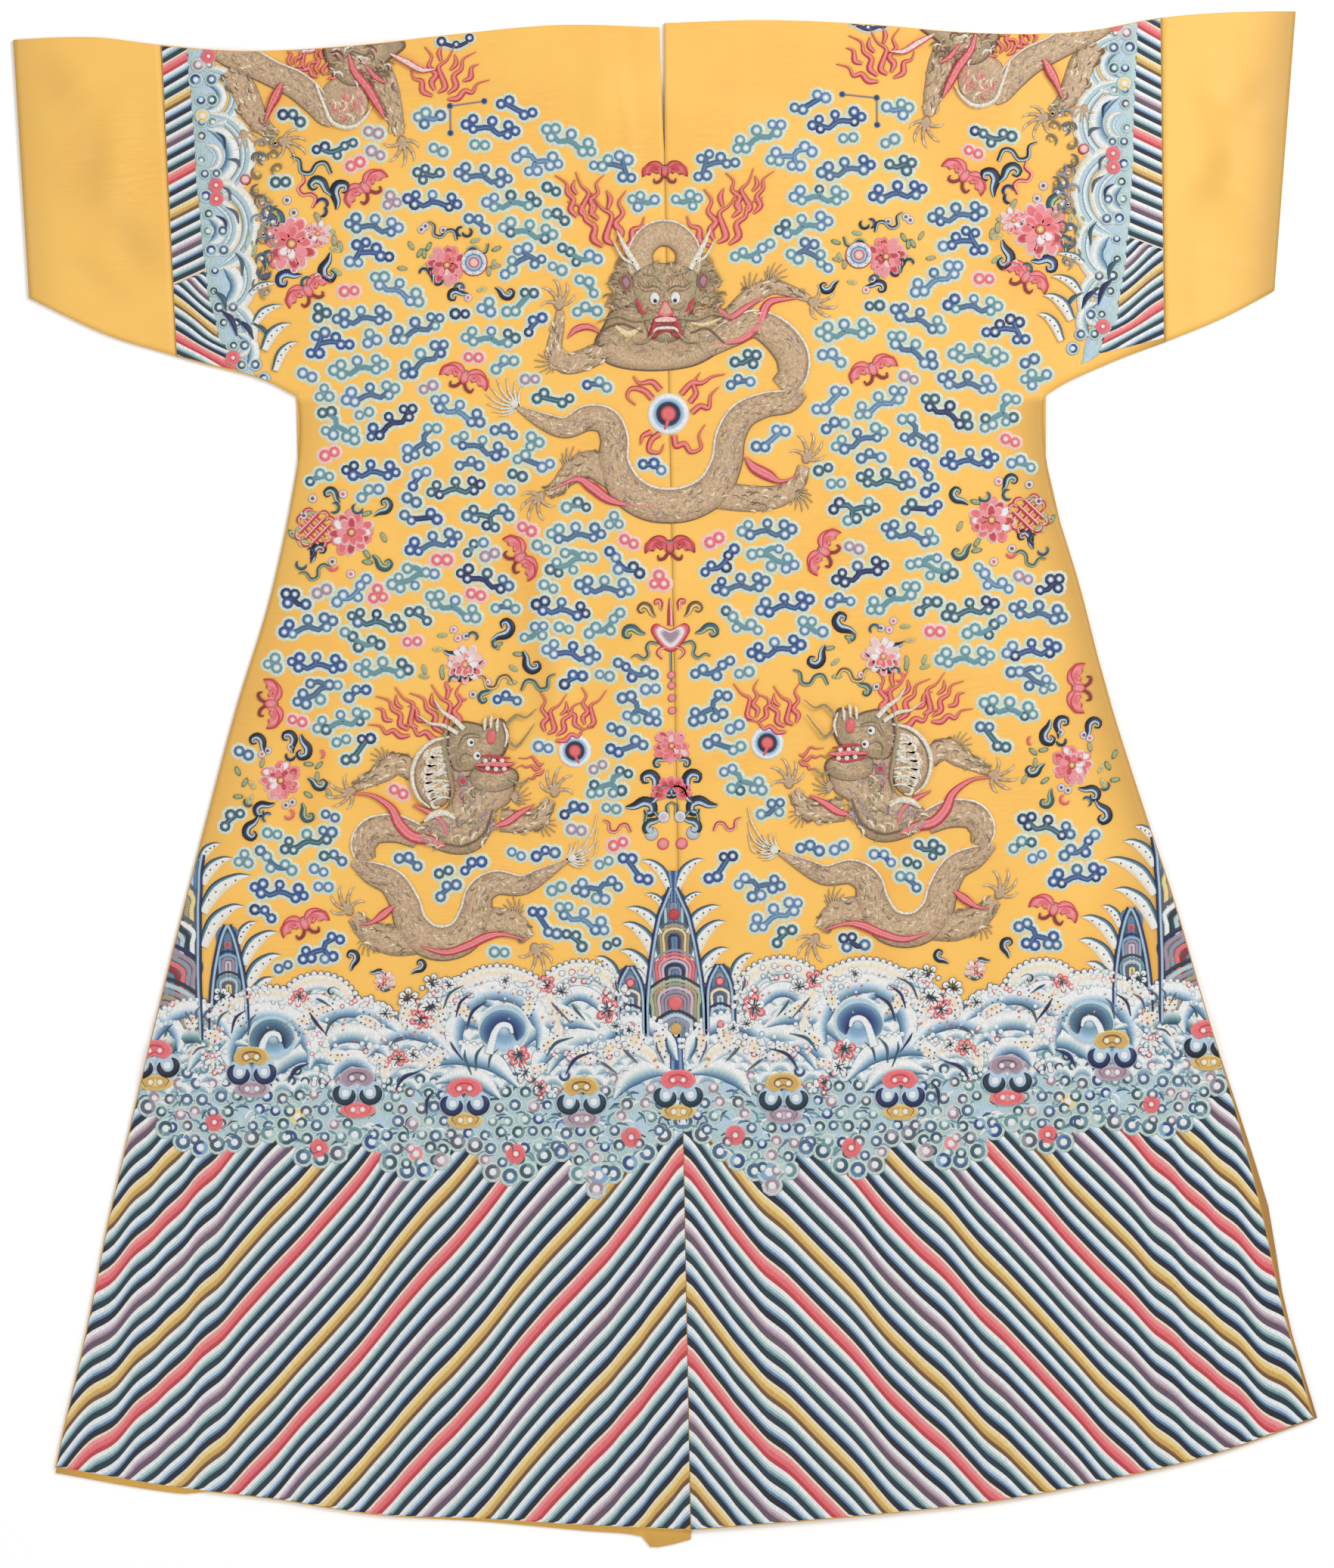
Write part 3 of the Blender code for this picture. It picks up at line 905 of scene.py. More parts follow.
# ---------------------------------------------------------------- hem stripes
STRIPE_ORDER = ("pink", "teal", "blue", "mauve", "teal", "blue", "gold", "teal", "blue")
STRIPE_INKS = {  # of a stripe, from its top edge down
    # stripe: edge, pale, mid, dark
    "pink": ("cream", "pink", "coral", "red"),
    "teal": ("white", "pale_teal", "teal", "dark_teal"),
    "blue": ("white", "pale_blue", "slate", "ink"),
    "mauve": ("white", "pale_mauve", "mauve", "dark_mauve"),
    "gold": ("cream", "pale_gold", "gold", "brown"),
}
STRIPE_BANDS = (  # share of a stripe's depth, which ink of its four, height
    (0.00, 0, 0.2), (0.24, 0, 0.5), (0.30, 1, 0.5), (0.42, 1, 0.6), (0.48, 2, 0.6), (0.58, 2, 0.6),
    (0.64, 3, 0.5), (1.00, 3, 0.2),
)
BRIGHT_BANDS = (0.00, 0.12, 0.18, 0.36, 0.46, 0.66, 0.78, 1.00)  # the same for pink and gold ones
STRIPE_RUN = (  # distance from the seam, middle of the third pink stripe left and right, repeat
    (0, 732, 722, 183),
    (10, 718, 708, 183),
    (40, 672, 658, 180),
    (70, 628, 612, 177),
    (100, 592, 582, 175),
    (130, 562, 550, 175),
    (160, 529, 519, 175),
    (190, 490, 479, 174),
    (220, 453, 444, 172),
    (250, 422, 415, 171),
    (280, 386, 376, 169),
    (310, 345, 342, 165),
    (340, 312, 308, 164),
    (370, 279, 272, 162),
    (400, 249, 240, 165),
    (430, 217, 210, 163),
    (460, 188, 180, 160),
    (490, 158, 151, 158),
    (520, 132, 125, 156),
    (560, 95, 88, 154),
    (640, 25, 18, 151),
)
STRIPE_REPEAT = 182  # usual depth of a round of stripes
STRIPE_ROUNDS = 5  # of the stripes, from the hem up past the border
STRIPE_COLUMNS = 112
UNDER_BORDER = 9  # how far the stripes reach behind the border
STRIPE_SOFTEN = (-9, -3, 3, 9)  # places averaged, so that a stripe bends without corners
LOWER_BORDER = (  # distance from the seam, lower edge of the ruyi border
    (0, 385), (20, 372), (40, 352), (60, 342), (82, 321), (100, 335), (115, 358), (130, 356), (150, 340),
    (170, 335), (190, 345), (200, 366), (220, 370), (240, 345), (260, 340), (280, 350), (310, 380),
    (340, 356), (360, 356), (390, 382), (440, 372), (470, 368), (490, 380), (505, 400), (530, 426),
)
BORDER_END = LOWER_BORDER[-1][0]


def stripe_shares(kind):
    """How far down a stripe each of its bands begins."""
    return BRIGHT_BANDS if kind in ("pink", "gold") else [band[0] for band in STRIPE_BANDS]


def stripe_looks(kind):
    """Colours and heights of a stripe's bands."""
    _, colour, height = columns([(share, STRIPE_INKS[kind][which], up) for share, which, up in STRIPE_BANDS])
    return colour[:, None], height[:, None]


def stripes(side):
    """Standing-water stripes, which fall away from the centre seam in slow waves."""
    work = Needlework("stripes_left" if side == LEFT else "stripes_right", FLOSS)
    x = np.linspace(SEAM_CLEAR, hem_corner(side)[0] / MM, STRIPE_COLUMNS)
    column = column_of(side)
    pink = np.mean([along(STRIPE_RUN, np.maximum(x + step, 0), column) for step in STRIPE_SOFTEN], axis=0)
    pink += STRIPE_REPEAT / len(STRIPE_ORDER) / 2
    repeat = along(STRIPE_RUN, x, 3)
    low = along(HEM, x * MM, column) / MM
    high = along(LOWER_BORDER, np.minimum(x, BORDER_END)) + UNDER_BORDER
    depth = STRIPE_REPEAT / len(STRIPE_ORDER)
    far = np.cumsum(np.hypot(np.gradient(x), np.gradient(pink)))
    for number in range(-len(STRIPE_ORDER), STRIPE_ROUNDS * len(STRIPE_ORDER)):
        kind = STRIPE_ORDER[number % len(STRIPE_ORDER)]
        rows, stitch = [], []
        for share in stripe_shares(kind):
            level = (number + share) * depth / STRIPE_REPEAT
            y = pink + (1 - level) * repeat
            rows.append(np.stack([side * x, np.clip(y, low, high)], axis=1))
            stitch.append(np.stack([far, np.full(len(x), share * depth)], axis=1))
        colour, height = stripe_looks(kind)
        work.weave(np.array(rows), height, colour, np.array(stitch))
    return work.finish()


# ---------------------------------------------------------------- ruyi border and waves
BORDER_TOP = ((0, 446), (120, 440), (260, 440), (340, 448), (420, 470), (500, 485), (560, 490))  # x, y
BORDER_REACH = 545  # how far the border goes from the seam
BORDER_EDGE = 6  # it starts this far above the line of its lower edge
BORDER_COLUMNS = 150
BORDER_STROKES = 420  # short curled stitches behind the bubbles
BUBBLE_ROWS, BUBBLE_COLUMNS = 10, 36
BUBBLE_PITCH, BUBBLE_STEP = 15.4, 13.2  # between bubbles across and up
BUBBLE_FOOT = 332  # height of the lowest row
BUBBLE_MISSING = 0.12  # share of them left out
EDGE_BUBBLES = 16.5  # between the larger bubbles along the lower edge
PEARL = (
    (1.0, "pale_pink", SINK), (0.92, "pink", 0.9), (0.78, "coral", 1.2), (0.45, "coral", 1.3),
    (0.30, "red", 1.3), (0.22, "pale_pink", 1.4), (0.12, "white", 1.5),
)
BUBBLES = {  # rings of a bubble in the border
    ink: (
        (1.0, "teal", SINK), (0.93, "pale_teal", 0.6), (0.74, "halo", 0.7), (0.66, mid, 0.8),
        (0.36, mid, 0.9), (0.27, "white", 1.2), (0.12, "white", 1.3),
    )
    for ink, mid in (
        ("royal", "sky"),
        ("deep_teal", "teal"),
        ("dark_grey", "grey"),
        ("steel", "slate"),
        ("coral", "pink"),
        ("gold", "pale_gold"),
        ("mauve", "pale_mauve"),
        ("teal", "pale_teal"),
    )
}
BUBBLE_INKS = ("steel", "deep_teal", "steel", "dark_grey", "royal", "deep_teal", "teal", "mauve")
RUYI_HEADS = (  # distance from the seam, height, upper ink, curl ink, lower ink
    (97, 423, "gold", "dark_teal", "mauve"),
    (209, 424, "coral", "navy", "gold"),
    (312, 436, "mauve", "dark_teal", "coral"),
    (413, 458, "gold", "navy", "mauve"),
    (506, 466, "coral", "ink", "gold"),
)
SEAM_RUYI = (-4, 428, "coral", "dark_teal", "gold")
BORDER_PEARLS = (  # distance from the seam, height, radius, ink
    (50, 379, 10.5, None),
    (161, 365, 10.5, None),
    (350, 374, 10.0, None),
    (450, 401, 9.5, None),
    (370, 405, 10.0, "gold"),
    (257, 367, 10.0, "coral"),
    (82, 343, 13.0, "royal"),
)
FOAM_TOP = (  # distance from the seam, upper edge of the waves
    (0, 470), (18, 485), (40, 482), (58, 520), (72, 540), (90, 546), (110, 538), (122, 524), (138, 520),
    (152, 533), (180, 535), (210, 532), (240, 510), (260, 492), (290, 512), (318, 512), (332, 532),
    (348, 536), (364, 516), (384, 520), (410, 530), (440, 520), (462, 505), (490, 500), (530, 480),
)
WAVE_COLUMNS = 140
SCALE_ROWS, SCALE_COLUMNS = 12, 27  # of the small arcs behind the waves
SCALE_PITCH, SCALE_STEP = 20, 9  # between those arcs across and up
SCALE_FOOT = 428  # height of the lowest of them
PEARL_ROOM = 11  # part of a patch of spray, as half width by half height, for each pearl
WAVE_DOTS = 90  # warm dots strewn over the foam
WAVE_BANDS = {  # across an arc of water, from its outer edge in
    "foam": (
        (1.0, "deep", SINK), (0.95, "deep", 0.8), (0.88, "white", 0.9), (0.2, "white", 1.2),
        (-0.15, "pale_blue", 1.3), (-0.5, "wave", 1.2), (-0.82, "deep", 1.0), (-1.0, "navy", SINK),
    ),
    "rim": (
        (1.0, "grey", SINK), (0.94, "cream", 0.9), (0.30, "white", 1.2), (0.16, "pale_teal", 1.2),
        (-0.2, "mist", 1.1), (-0.34, "slate", 1.0), (-0.44, "white", 1.1), (-0.75, "pale_teal", 1.0),
        (-1.0, "teal", SINK),
    ),
    "cream": (
        (1.0, "dark_grey", SINK), (0.90, "grey", 0.7), (0.80, "white", 0.9), (0.2, "cream", 1.2),
        (-0.4, "white", 1.1), (-0.86, "mist", 0.9), (-1.0, "dark_grey", SINK),
    ),
    "pale": (
        (1.0, "deep", SINK), (0.94, "white", 0.8), (0.25, "white", 1.1), (-0.15, "pale_teal", 1.2),
        (-0.5, "wave", 1.1), (-0.84, "deep", 0.9), (-1.0, "navy", SINK),
    ),
    "sea": (
        (1.0, "white", SINK), (0.85, "white", 0.8), (0.4, "pale_teal", 1.1), (-0.1, "teal", 1.2),
        (-0.6, "deep_teal", 1.0), (-1.0, "dark_teal", SINK),
    ),
    "scale": (
        (1.0, "wave", SINK), (0.8, "white", 0.6), (0.1, "white", 0.8), (-0.3, "mist", 0.8),
        (-1.0, "wave", 0.6),
    ),
}
STROKES = {
    ink: ((1.0, pale, SINK), (0.72, pale, 1.1), (0.55, ink, 1.3), (-0.8, ink, 1.3), (-1.0, ink, SINK))
    for ink, pale in (("navy", "sky"), ("deep_teal", "pale_teal"), ("dark_grey", "pale_mauve"))
}
WAVE_ARCS = (  # centre, radius, from and to in degrees, half width at the middle, water
    # x, y, radius, from, to, half width, water
    (96, 500, 40, 8, 176, 9, "cream"),
    (98, 496, 22, 0, 170, 8, "foam"),
    (348, 500, 34, 10, 170, 8, "cream"),
    (350, 498, 18, 0, 180, 7, "foam"),
    (216, 466, 58, 50, 150, 10, "foam"),
    (218, 462, 38, 40, 150, 9, "pale"),
    (46, 446, 42, 5, 172, 9, "foam"),
    (48, 440, 24, 5, 170, 8, "cream"),
    (26, 402, 42, 20, 118, 10, "pale"),
    (86, 432, 44, 12, 120, 10, "pale"),
    (112, 444, 50, 20, 130, 10, "pale"),
    (114, 436, 30, 15, 150, 9, "foam"),
    (176, 480, 58, -25, 200, 8, "cream"),
    (176, 480, 42, -35, 205, 11, "foam"),
    (214, 396, 66, 50, 150, 11, "foam"),
    (214, 396, 45, 60, 150, 9, "pale"),
    (262, 440, 46, 25, 150, 10, "foam"),
    (262, 432, 26, 10, 150, 9, "cream"),
    (318, 448, 60, 20, 150, 10, "foam"),
    (318, 444, 40, 10, 160, 10, "pale"),
    (316, 440, 20, 0, 170, 9, "foam"),
    (360, 428, 38, 20, 140, 10, "pale"),
    (396, 466, 56, -15, 190, 8, "cream"),
    (396, 466, 40, -20, 200, 11, "foam"),
    (436, 440, 40, 15, 120, 9, "pale"),
    (470, 470, 40, 0, 170, 9, "foam"),
    (472, 462, 22, 0, 175, 8, "sea"),
    (508, 478, 26, 20, 200, 8, "foam"),
)
SPIRALS = (  # the dark eye of a roller: distance from the seam, height, radius, inks inward
    (170, 486, 26, ("wave", "deep", "royal", "navy")),
    (392, 482, 25, ("teal", "deep", "deep_teal", "navy")),
)
WAVE_PEARLS = (  # patches of spray: distance from the seam, height, half width, half height
    (62, 508, 12, 22),
    (70, 466, 16, 12),
    (92, 534, 26, 7),
    (112, 462, 18, 8),
    (128, 424, 16, 7),
    (146, 522, 18, 10),
    (150, 440, 12, 9),
    (222, 518, 22, 9),
    (252, 500, 20, 16),
    (288, 466, 16, 14),
    (276, 436, 12, 8),
    (308, 512, 22, 7),
    (350, 478, 13, 16),
    (372, 516, 20, 8),
    (348, 440, 10, 9),
    (440, 508, 16, 12),
    (448, 462, 12, 14),
    (500, 508, 14, 16),
    (516, 468, 8, 16),
    (402, 524, 22, 6),
)
PEARL_RINGS = {
    ink: ((1.0, rim, SINK), (0.82, rim, 0.8), (0.66, ink, 1.2), (0.25, "white", 1.4))
    for ink, rim in (("white", "dark_grey"), ("coral", "dark_red"), ("mist", "deep_teal"))
}
WAVE_STROKES = (  # where a dark stroke starts and ends, half width, ink
    ((8, 452), (14, 474), 2.6, "deep_teal"),
    ((17, 450), (24, 470), 2.2, "dark_grey"),
    ((42, 450), (56, 464), 3.2, "dark_grey"),
    ((62, 440), (78, 452), 3.0, "dark_grey"),
    ((84, 462), (112, 440), 3.6, "navy"),
    ((104, 476), (130, 458), 3.4, "deep_teal"),
    ((92, 492), (104, 508), 2.8, "deep_teal"),
    ((106, 490), (124, 510), 2.8, "dark_grey"),
    ((56, 512), (62, 530), 2.4, "deep_teal"),
    ((186, 512), (206, 486), 3.4, "navy"),
    ((200, 520), (216, 498), 3.0, "navy"),
    ((208, 528), (228, 506), 2.8, "deep_teal"),
    ((176, 466), (186, 448), 2.6, "deep_teal"),
    ((190, 470), (198, 446), 3.2, "deep_teal"),
    ((208, 466), (202, 442), 3.0, "deep_teal"),
    ((222, 474), (210, 456), 2.6, "navy"),
    ((240, 426), (246, 404), 3.2, "navy"),
    ((252, 446), (276, 428), 4.0, "navy"),
    ((264, 480), (280, 470), 2.6, "dark_grey"),
    ((326, 500), (342, 482), 3.2, "deep_teal"),
    ((340, 482), (356, 504), 3.6, "navy"),
    ((358, 456), (378, 438), 4.4, "navy"),
    ((336, 510), (350, 518), 2.8, "deep_teal"),
    ((408, 504), (416, 484), 2.6, "deep_teal"),
    ((418, 508), (432, 486), 3.0, "navy"),
    ((434, 508), (446, 492), 2.8, "dark_grey"),
    ((448, 512), (460, 496), 2.6, "dark_grey"),
    ((462, 512), (466, 500), 2.4, "dark_grey"),
    ((476, 508), (470, 498), 2.4, "dark_grey"),
    ((488, 496), (496, 484), 2.6, "deep_teal"),
    ((454, 474), (470, 466), 2.4, "dark_grey"),
)
SPRIGS = (  # distance from the seam, height, size, whether it is coral
    (70, 502, 1.25, True),
    (50, 482, 0.8, False),
    (63, 486, 0.8, False),
    (114, 520, 0.9, False),
    (128, 526, 1.0, True),
    (156, 460, 1.2, True),
    (150, 444, 1.0, False),
    (136, 428, 0.7, True),
    (168, 532, 0.8, False),
    (222, 528, 0.9, False),
    (238, 530, 0.9, False),
    (240, 508, 1.0, False),
    (250, 496, 1.1, True),
    (262, 516, 1.0, False),
    (272, 458, 1.0, True),
    (258, 462, 0.9, False),
    (284, 502, 0.9, False),
    (366, 520, 0.9, True),
    (440, 522, 0.9, False),
    (508, 500, 0.9, False),
)


def arc_route(x, y, radius, start, end, half_width, grow=1.0):
    """Points of (x, y, half width) on a tapering arc, clockwise, so its bands start at the outer edge."""
    t = np.linspace(0, 1, max(4, int(abs(end - start) / 22)))
    turn = np.radians(start + (end - start) * t)
    reach = radius * grow**t
    width = half_width * grow**t * np.sqrt(np.clip(np.minimum(t, 1 - t) * 5, 0.02, 1))
    return np.stack([x + reach * np.cos(turn), y + reach * np.sin(turn), width], axis=1)[::-1]


def lay_field(work, first, last, bands):
    """Fills the space between two lines, each an x and a y, with thread. bands start at the first line."""
    share, colour, height = columns(bands)
    first, last = np.stack(first, axis=1), np.stack(last, axis=1)
    grid = first + (last - first) * share[:, None, None]
    work.weave(grid, height[:, None], colour[:, None], grid)


def bubble(work, x, y, radius, ink, turn):
    """A white knot inside a dark crescent."""
    disc(work, x, y, radius, BUBBLES[ink], 10)
    with work.raised(0.3):
        ribbon(work, arc_route(x, y, 0.5 * radius, turn, turn + 235, 0.17 * radius), line_bands(ink), 3)


def border(side, name):
    """The pale blue border of ruyi clouds, filled with bubbles, that covers the stripes' upper ends."""
    work = Needlework(name, FLOSS)
    x = np.linspace(SEAM_CLEAR, BORDER_REACH, BORDER_COLUMNS)
    low, high = along(LOWER_BORDER, np.minimum(x, BORDER_END)) + BORDER_EDGE, along(BORDER_TOP, x)
    field = [(0, "white", SINK), (0.04, "pale_teal", 0.5)]
    field += [(0.2 * n, ("pale_blue", "pale_teal")[n % 2], 0.5) for n in range(1, 5)]
    lay_field(work, (side * x, low), (side * x, high), (*field, (1, "pale_teal", 0.5)))
    chance = np.random.default_rng(SEEDS["border"])
    with work.half(side):
        with work.raised(-0.15):
            for _ in range(BORDER_STROKES):
                bx = chance.uniform(4, BORDER_END - 2)
                by = chance.uniform(along(LOWER_BORDER, bx) + BORDER_EDGE, along(BORDER_TOP, bx))
                with work.at(bx, by, chance.uniform(-60, 60), 1, chance.random() < 0.5):
                    ink = pick(("teal", "steel", "sea", "white", "deep_teal", "wave"), chance)
                    ribbon(work, [(-6, 0, 0.5), (0, 2.2, 1.4), (6, 0, 0.5)], line_bands(ink), 4)
        spots = []
        for row in range(BUBBLE_ROWS):
            for column in range(BUBBLE_COLUMNS):
                if chance.random() < BUBBLE_MISSING:
                    continue
                bx = 6 + column * BUBBLE_PITCH + (row % 2) * BUBBLE_PITCH / 2 + chance.uniform(-2, 2)
                by = BUBBLE_FOOT + row * BUBBLE_STEP + chance.uniform(-2, 2)
                at = min(bx, BORDER_END)
                if along(LOWER_BORDER, at) + 14 < by < along(BORDER_TOP, at) + 2 and bx < BORDER_REACH + 3:
                    spots.append((bx, by, chance.uniform(7.4, 9.2)))
        places = np.arange(2, BORDER_END + 2, EDGE_BUBBLES)
        spots += [(edge, along(LOWER_BORDER, edge) + 8.5, 11) for edge in places]
        for bx, by, radius in spots:
            kind = pick(BUBBLE_INKS, chance)
            with work.raised(chance.uniform(0, 0.3)):
                bubble(work, bx, by, radius, kind, chance.uniform(0, 360))
        with work.raised(0.4):
            for px, py, radius, ink in BORDER_PEARLS:
                disc(work, px, py, radius, BUBBLES[ink] if ink else PEARL, 18)
            with work.raised(1.7):
                for place in RUYI_HEADS:
                    ruyi_head(work, *place)
    return work.finish()


CURL = {  # across the dark curl of a ruyi head
    ink: ((1.0, ink, SINK), (0.8, ink, 1.5), (-0.55, ink, 1.5), (-0.75, pale, 1.4), (-1.0, pale, SINK))
    for ink, pale in (
        ("royal", "sky"), ("navy", "sky"), ("dark_teal", "teal"), ("ink", "slate"),
        ("deep_teal", "pale_teal"), ("red", "coral"), ("coral", "pink"), ("white", "white"),
    )
}
RUYI_SHADES = {  # of a crown or a lip: its edge and its dark line
    "coral": ("pink", "red"),
    "gold": ("pale_gold", "brown"),
    "mauve": ("pale_mauve", "dark_mauve"),
}


def ruyi_head(work, x, y, upper, curl, lower):
    """A ruyi cloud's head: a crown with two pearls, two dark open curls and a lip below."""
    with work.at(x, y):
        edge, deep = RUYI_SHADES[lower]
        rings = (
            (1, "white", SINK), (0.9, edge, 0.9), (0.62, lower, 1.1), (0.45, lower, 1.2), (0.3, edge, 1.2)
        )
        with work.at(0, -26):
            patch(work, circle(8.4, 20, 2.2), rings)
            for side in (LEFT, RIGHT):
                disc(work, side * 4.6, 0.5, 3.6, ((1, deep, 1.2), (0.74, edge, 1.4), (0.4, "white", 1.6)), 10)
                hook = [(side * 9, 5, 0.4), (side * 13, 2, 1.0), (side * 9, -4, 0.4)]
                ribbon(work, hook, line_bands(deep), 3)
        for side in (LEFT, RIGHT):
            with work.at(side * 12.2, -10, flip=side == LEFT):
                ground = ((1, "white", SINK), (0.94, "pale_blue", 0.8), (0.7, "pale_blue", 1.0))
                disc(work, 0, 0, 13, ground, 18)
                ribbon(work, arc_route(0, 0, 8.6, 62, -205, 3.9, 0.94)[::-1], CURL[curl], 2.5)
                drop = ((1, "sky", 1.0), (0.7, "white", 1.4), (0.4, "white", 1.5))
                disc(work, -0.5, 0.5, 4.4, drop, 10)
        edge, deep = RUYI_SHADES[upper]
        crown = [(-18, 3), (-15, 11), (-6, 15), (6, 15), (15, 11), (18, 3), (10, -4), (0, 0), (-10, -4)]
        rings = (
            (1, edge, SINK), (0.92, edge, 1.7), (0.78, upper, 1.9), (0.55, upper, 1.9), (0.48, deep, 1.8),
            (0.36, deep, 1.8), (0.3, upper, 1.9),
        )
        rounded(work, crown, rings, (0, 6))
        for side in (LEFT, RIGHT):
            disc(work, side * 5, 5, 3.4, ((1, deep, 1.9), (0.7, edge, 2.1), (0.4, "white", 2.3)), 10)


def comb(work, x, y, wide, high, turn, chance):
    """A comb of foam: a pale oval with rows of dark knots."""
    with work.at(x, y, turn):
        rings = ((1, "grey", SINK), (0.9, "white", 0.9), (0.6, "white", 1.1), (0.3, "cream", 1.2))
        patch(work, circle(1, 16) * np.array([wide, high]), rings)
        with work.raised(0.7):
            for row in np.arange(-high + 3, high - 2, 5.2):
                reach = wide * math.sqrt(1 - (row / high) ** 2) - 2
                for column in np.arange(-reach, reach, 5.4):
                    ink = pick(("brown", "dark_grey", "tan", "deep_teal", "coral"), chance)
                    disc(work, column + chance.uniform(-1, 1), row, 1.3, ((1, ink, SINK), (0.7, ink, 0.9)), 6)


COMBS = (  # distance from the seam, height, half width, half height, turn
    (20, 470, 7, 18, -10),
    (44, 474, 10, 17, 22),
    (70, 464, 9, 14, 60),
    (96, 458, 17, 8, 20),
    (128, 470, 14, 7, -35),
    (112, 500, 16, 7, 30),
    (146, 508, 8, 13, 0),
    (210, 504, 8, 15, -40),
    (238, 494, 15, 7, -30),
    (262, 502, 9, 15, 20),
    (300, 496, 15, 8, 25),
    (344, 508, 14, 7, -20),
    (364, 496, 8, 13, 30),
    (424, 498, 7, 13, -30),
    (448, 484, 13, 8, 30),
    (470, 500, 8, 12, 0),
    (286, 456, 13, 7, 30),
    (330, 462, 12, 7, 0),
    (140, 446, 12, 7, -20),
    (236, 456, 12, 6, -30),
)
HOOK_BANDS = (
    (1.0, "sky", SINK), (0.7, "pale_blue", 1.2), (0.5, "white", 1.4), (-0.5, "white", 1.4),
    (-0.7, "pale_blue", 1.2), (-1.0, "sky", SINK),
)


def spiral(work, cx, cy, radius, inks):
    """The dark eye of a roller, with a hook of foam across it."""
    outer, mid, inner, core = inks
    rings = (
        (1, "white", SINK), (0.94, "white", 0.9), (0.84, "mist", 1.0), (0.72, "pale_blue", 1.1),
        (0.5, "sky", 1.2), (0.3, outer, 1.2), (0.1, "pale_blue", 1.2),
    )
    shade = (
        (1, "pale_blue", SINK), (0.8, outer, 0.9), (0.4, mid, 1.1), (0, inner, 1.2), (-0.4, core, 1.2),
        (-0.9, core, 1.1), (-1, core, SINK),
    )
    with work.raised(0.7), work.at(cx, cy, 0, radius / 26):
        disc(work, 0, 0, 26, rings, 26)
        with work.raised(0.5):
            ribbon(work, arc_route(1, -5, 15, -48, 208, 9.5), shade, 3)
        hook = [(15, -24, 5.6), (12, -14, 5.0), (9, -4, 4.3), (3, 3, 3.8), (-5, 2, 3.4), (-8, -5, 1.6)]
        with work.raised(1.1):
            ribbon(work, hook, HOOK_BANDS, 3)


def wave_scales(work):
    """Rows of small arcs of water, the lower before the upper."""
    for row in range(SCALE_ROWS)[::-1]:
        for column in range(SCALE_COLUMNS):
            sx, sy = 4 + SCALE_PITCH * (column + 0.5 * (row % 2)), SCALE_FOOT + SCALE_STEP * row
            if sx > BORDER_END - 10 or sy + 13 > along(FOAM_TOP, sx):
                continue
            with work.raised(0.04 * (SCALE_ROWS - 1 - row)):
                ribbon(work, arc_route(sx, sy, 9, 4, 176, 5), WAVE_BANDS["scale"], 4)


def waves(side, name):
    """Rolling water over the border: foam, arcs of water, spirals, spray and coral sprigs."""
    work = Needlework(name, FLOSS)
    x = np.linspace(SEAM_CLEAR, BORDER_END, WAVE_COLUMNS)
    foam = (
        (0, "pale_blue", SINK), (0.1, "pale_blue", 0.8), (0.5, "white", 0.8), (0.93, "white", 0.8),
        (0.97, "deep_teal", 0.8), (1, "sky", SINK),
    )
    lay_field(work, (side * x, along(BORDER_TOP, x) - 14), (side * x, along(FOAM_TOP, x)), foam)
    chance = np.random.default_rng(SEEDS["waves"])
    with work.half(side):
        wave_scales(work)
    with work.half(side), work.raised(0.6):
        for step, (*place, kind) in enumerate(WAVE_ARCS):
            with work.raised(0.02 * step):
                ribbon(work, arc_route(*place), WAVE_BANDS[kind], 4)
                if kind in ("foam", "cream") and place[2] > 30:
                    spray_along(work, *place, chance)
        with work.raised(0.45):
            for place in COMBS:
                comb(work, *place, chance)
        for place in SPIRALS:
            spiral(work, *place)
        with work.raised(0.6):
            for cx, cy, wide, high in WAVE_PEARLS:
                for _ in range(int(wide * high / PEARL_ROOM)):
                    turn, out = chance.uniform(0, 2 * math.pi), math.sqrt(chance.random())
                    px, py = cx + wide * out * math.cos(turn), cy + high * out * math.sin(turn)
                    ink = pick(("white", "white", "white", "mist", "coral"), chance)
                    with work.raised(chance.uniform(0, 0.3)):
                        disc(work, px, py, chance.uniform(3.0, 3.9), PEARL_RINGS[ink], 7)
        with work.raised(0.9):
            for (x0, y0), (x1, y1), wide, ink in WAVE_STROKES:
                bend = 0.12 * math.hypot(x1 - x0, y1 - y0)
                mid = ((x0 + x1) / 2 + bend, (y0 + y1) / 2 + bend, 0.62 * wide)
                ribbon(work, [(x0, y0, 0.4), mid, (x1, y1, 0.6)], STROKES[ink], 3)
            for place in SPRIGS:
                sprig(work, *place, chance)
            for _ in range(WAVE_DOTS):
                dx = chance.uniform(20, 500)
                dy = along(FOAM_TOP, dx) - chance.uniform(4, 40)
                ink = pick(("orange", "gold", "tan", "coral"), chance)
                disc(work, dx, dy, 1.5, ((1, ink, SINK), (0.7, ink, 1.7)), 6)
    return work.finish()


def spray_along(work, x, y, radius, start, end, half_width, chance):
    """A string of small pearls of foam along the outer edge of an arc of water."""
    out = radius + half_width
    for turn in np.arange(start + 12, end - 12, math.degrees(6.6 / out)):
        dx, dy = heading(turn)
        disc(work, x + out * dx, y + out * dy, chance.uniform(2.8, 3.5), PEARL_RINGS["white"], 7)


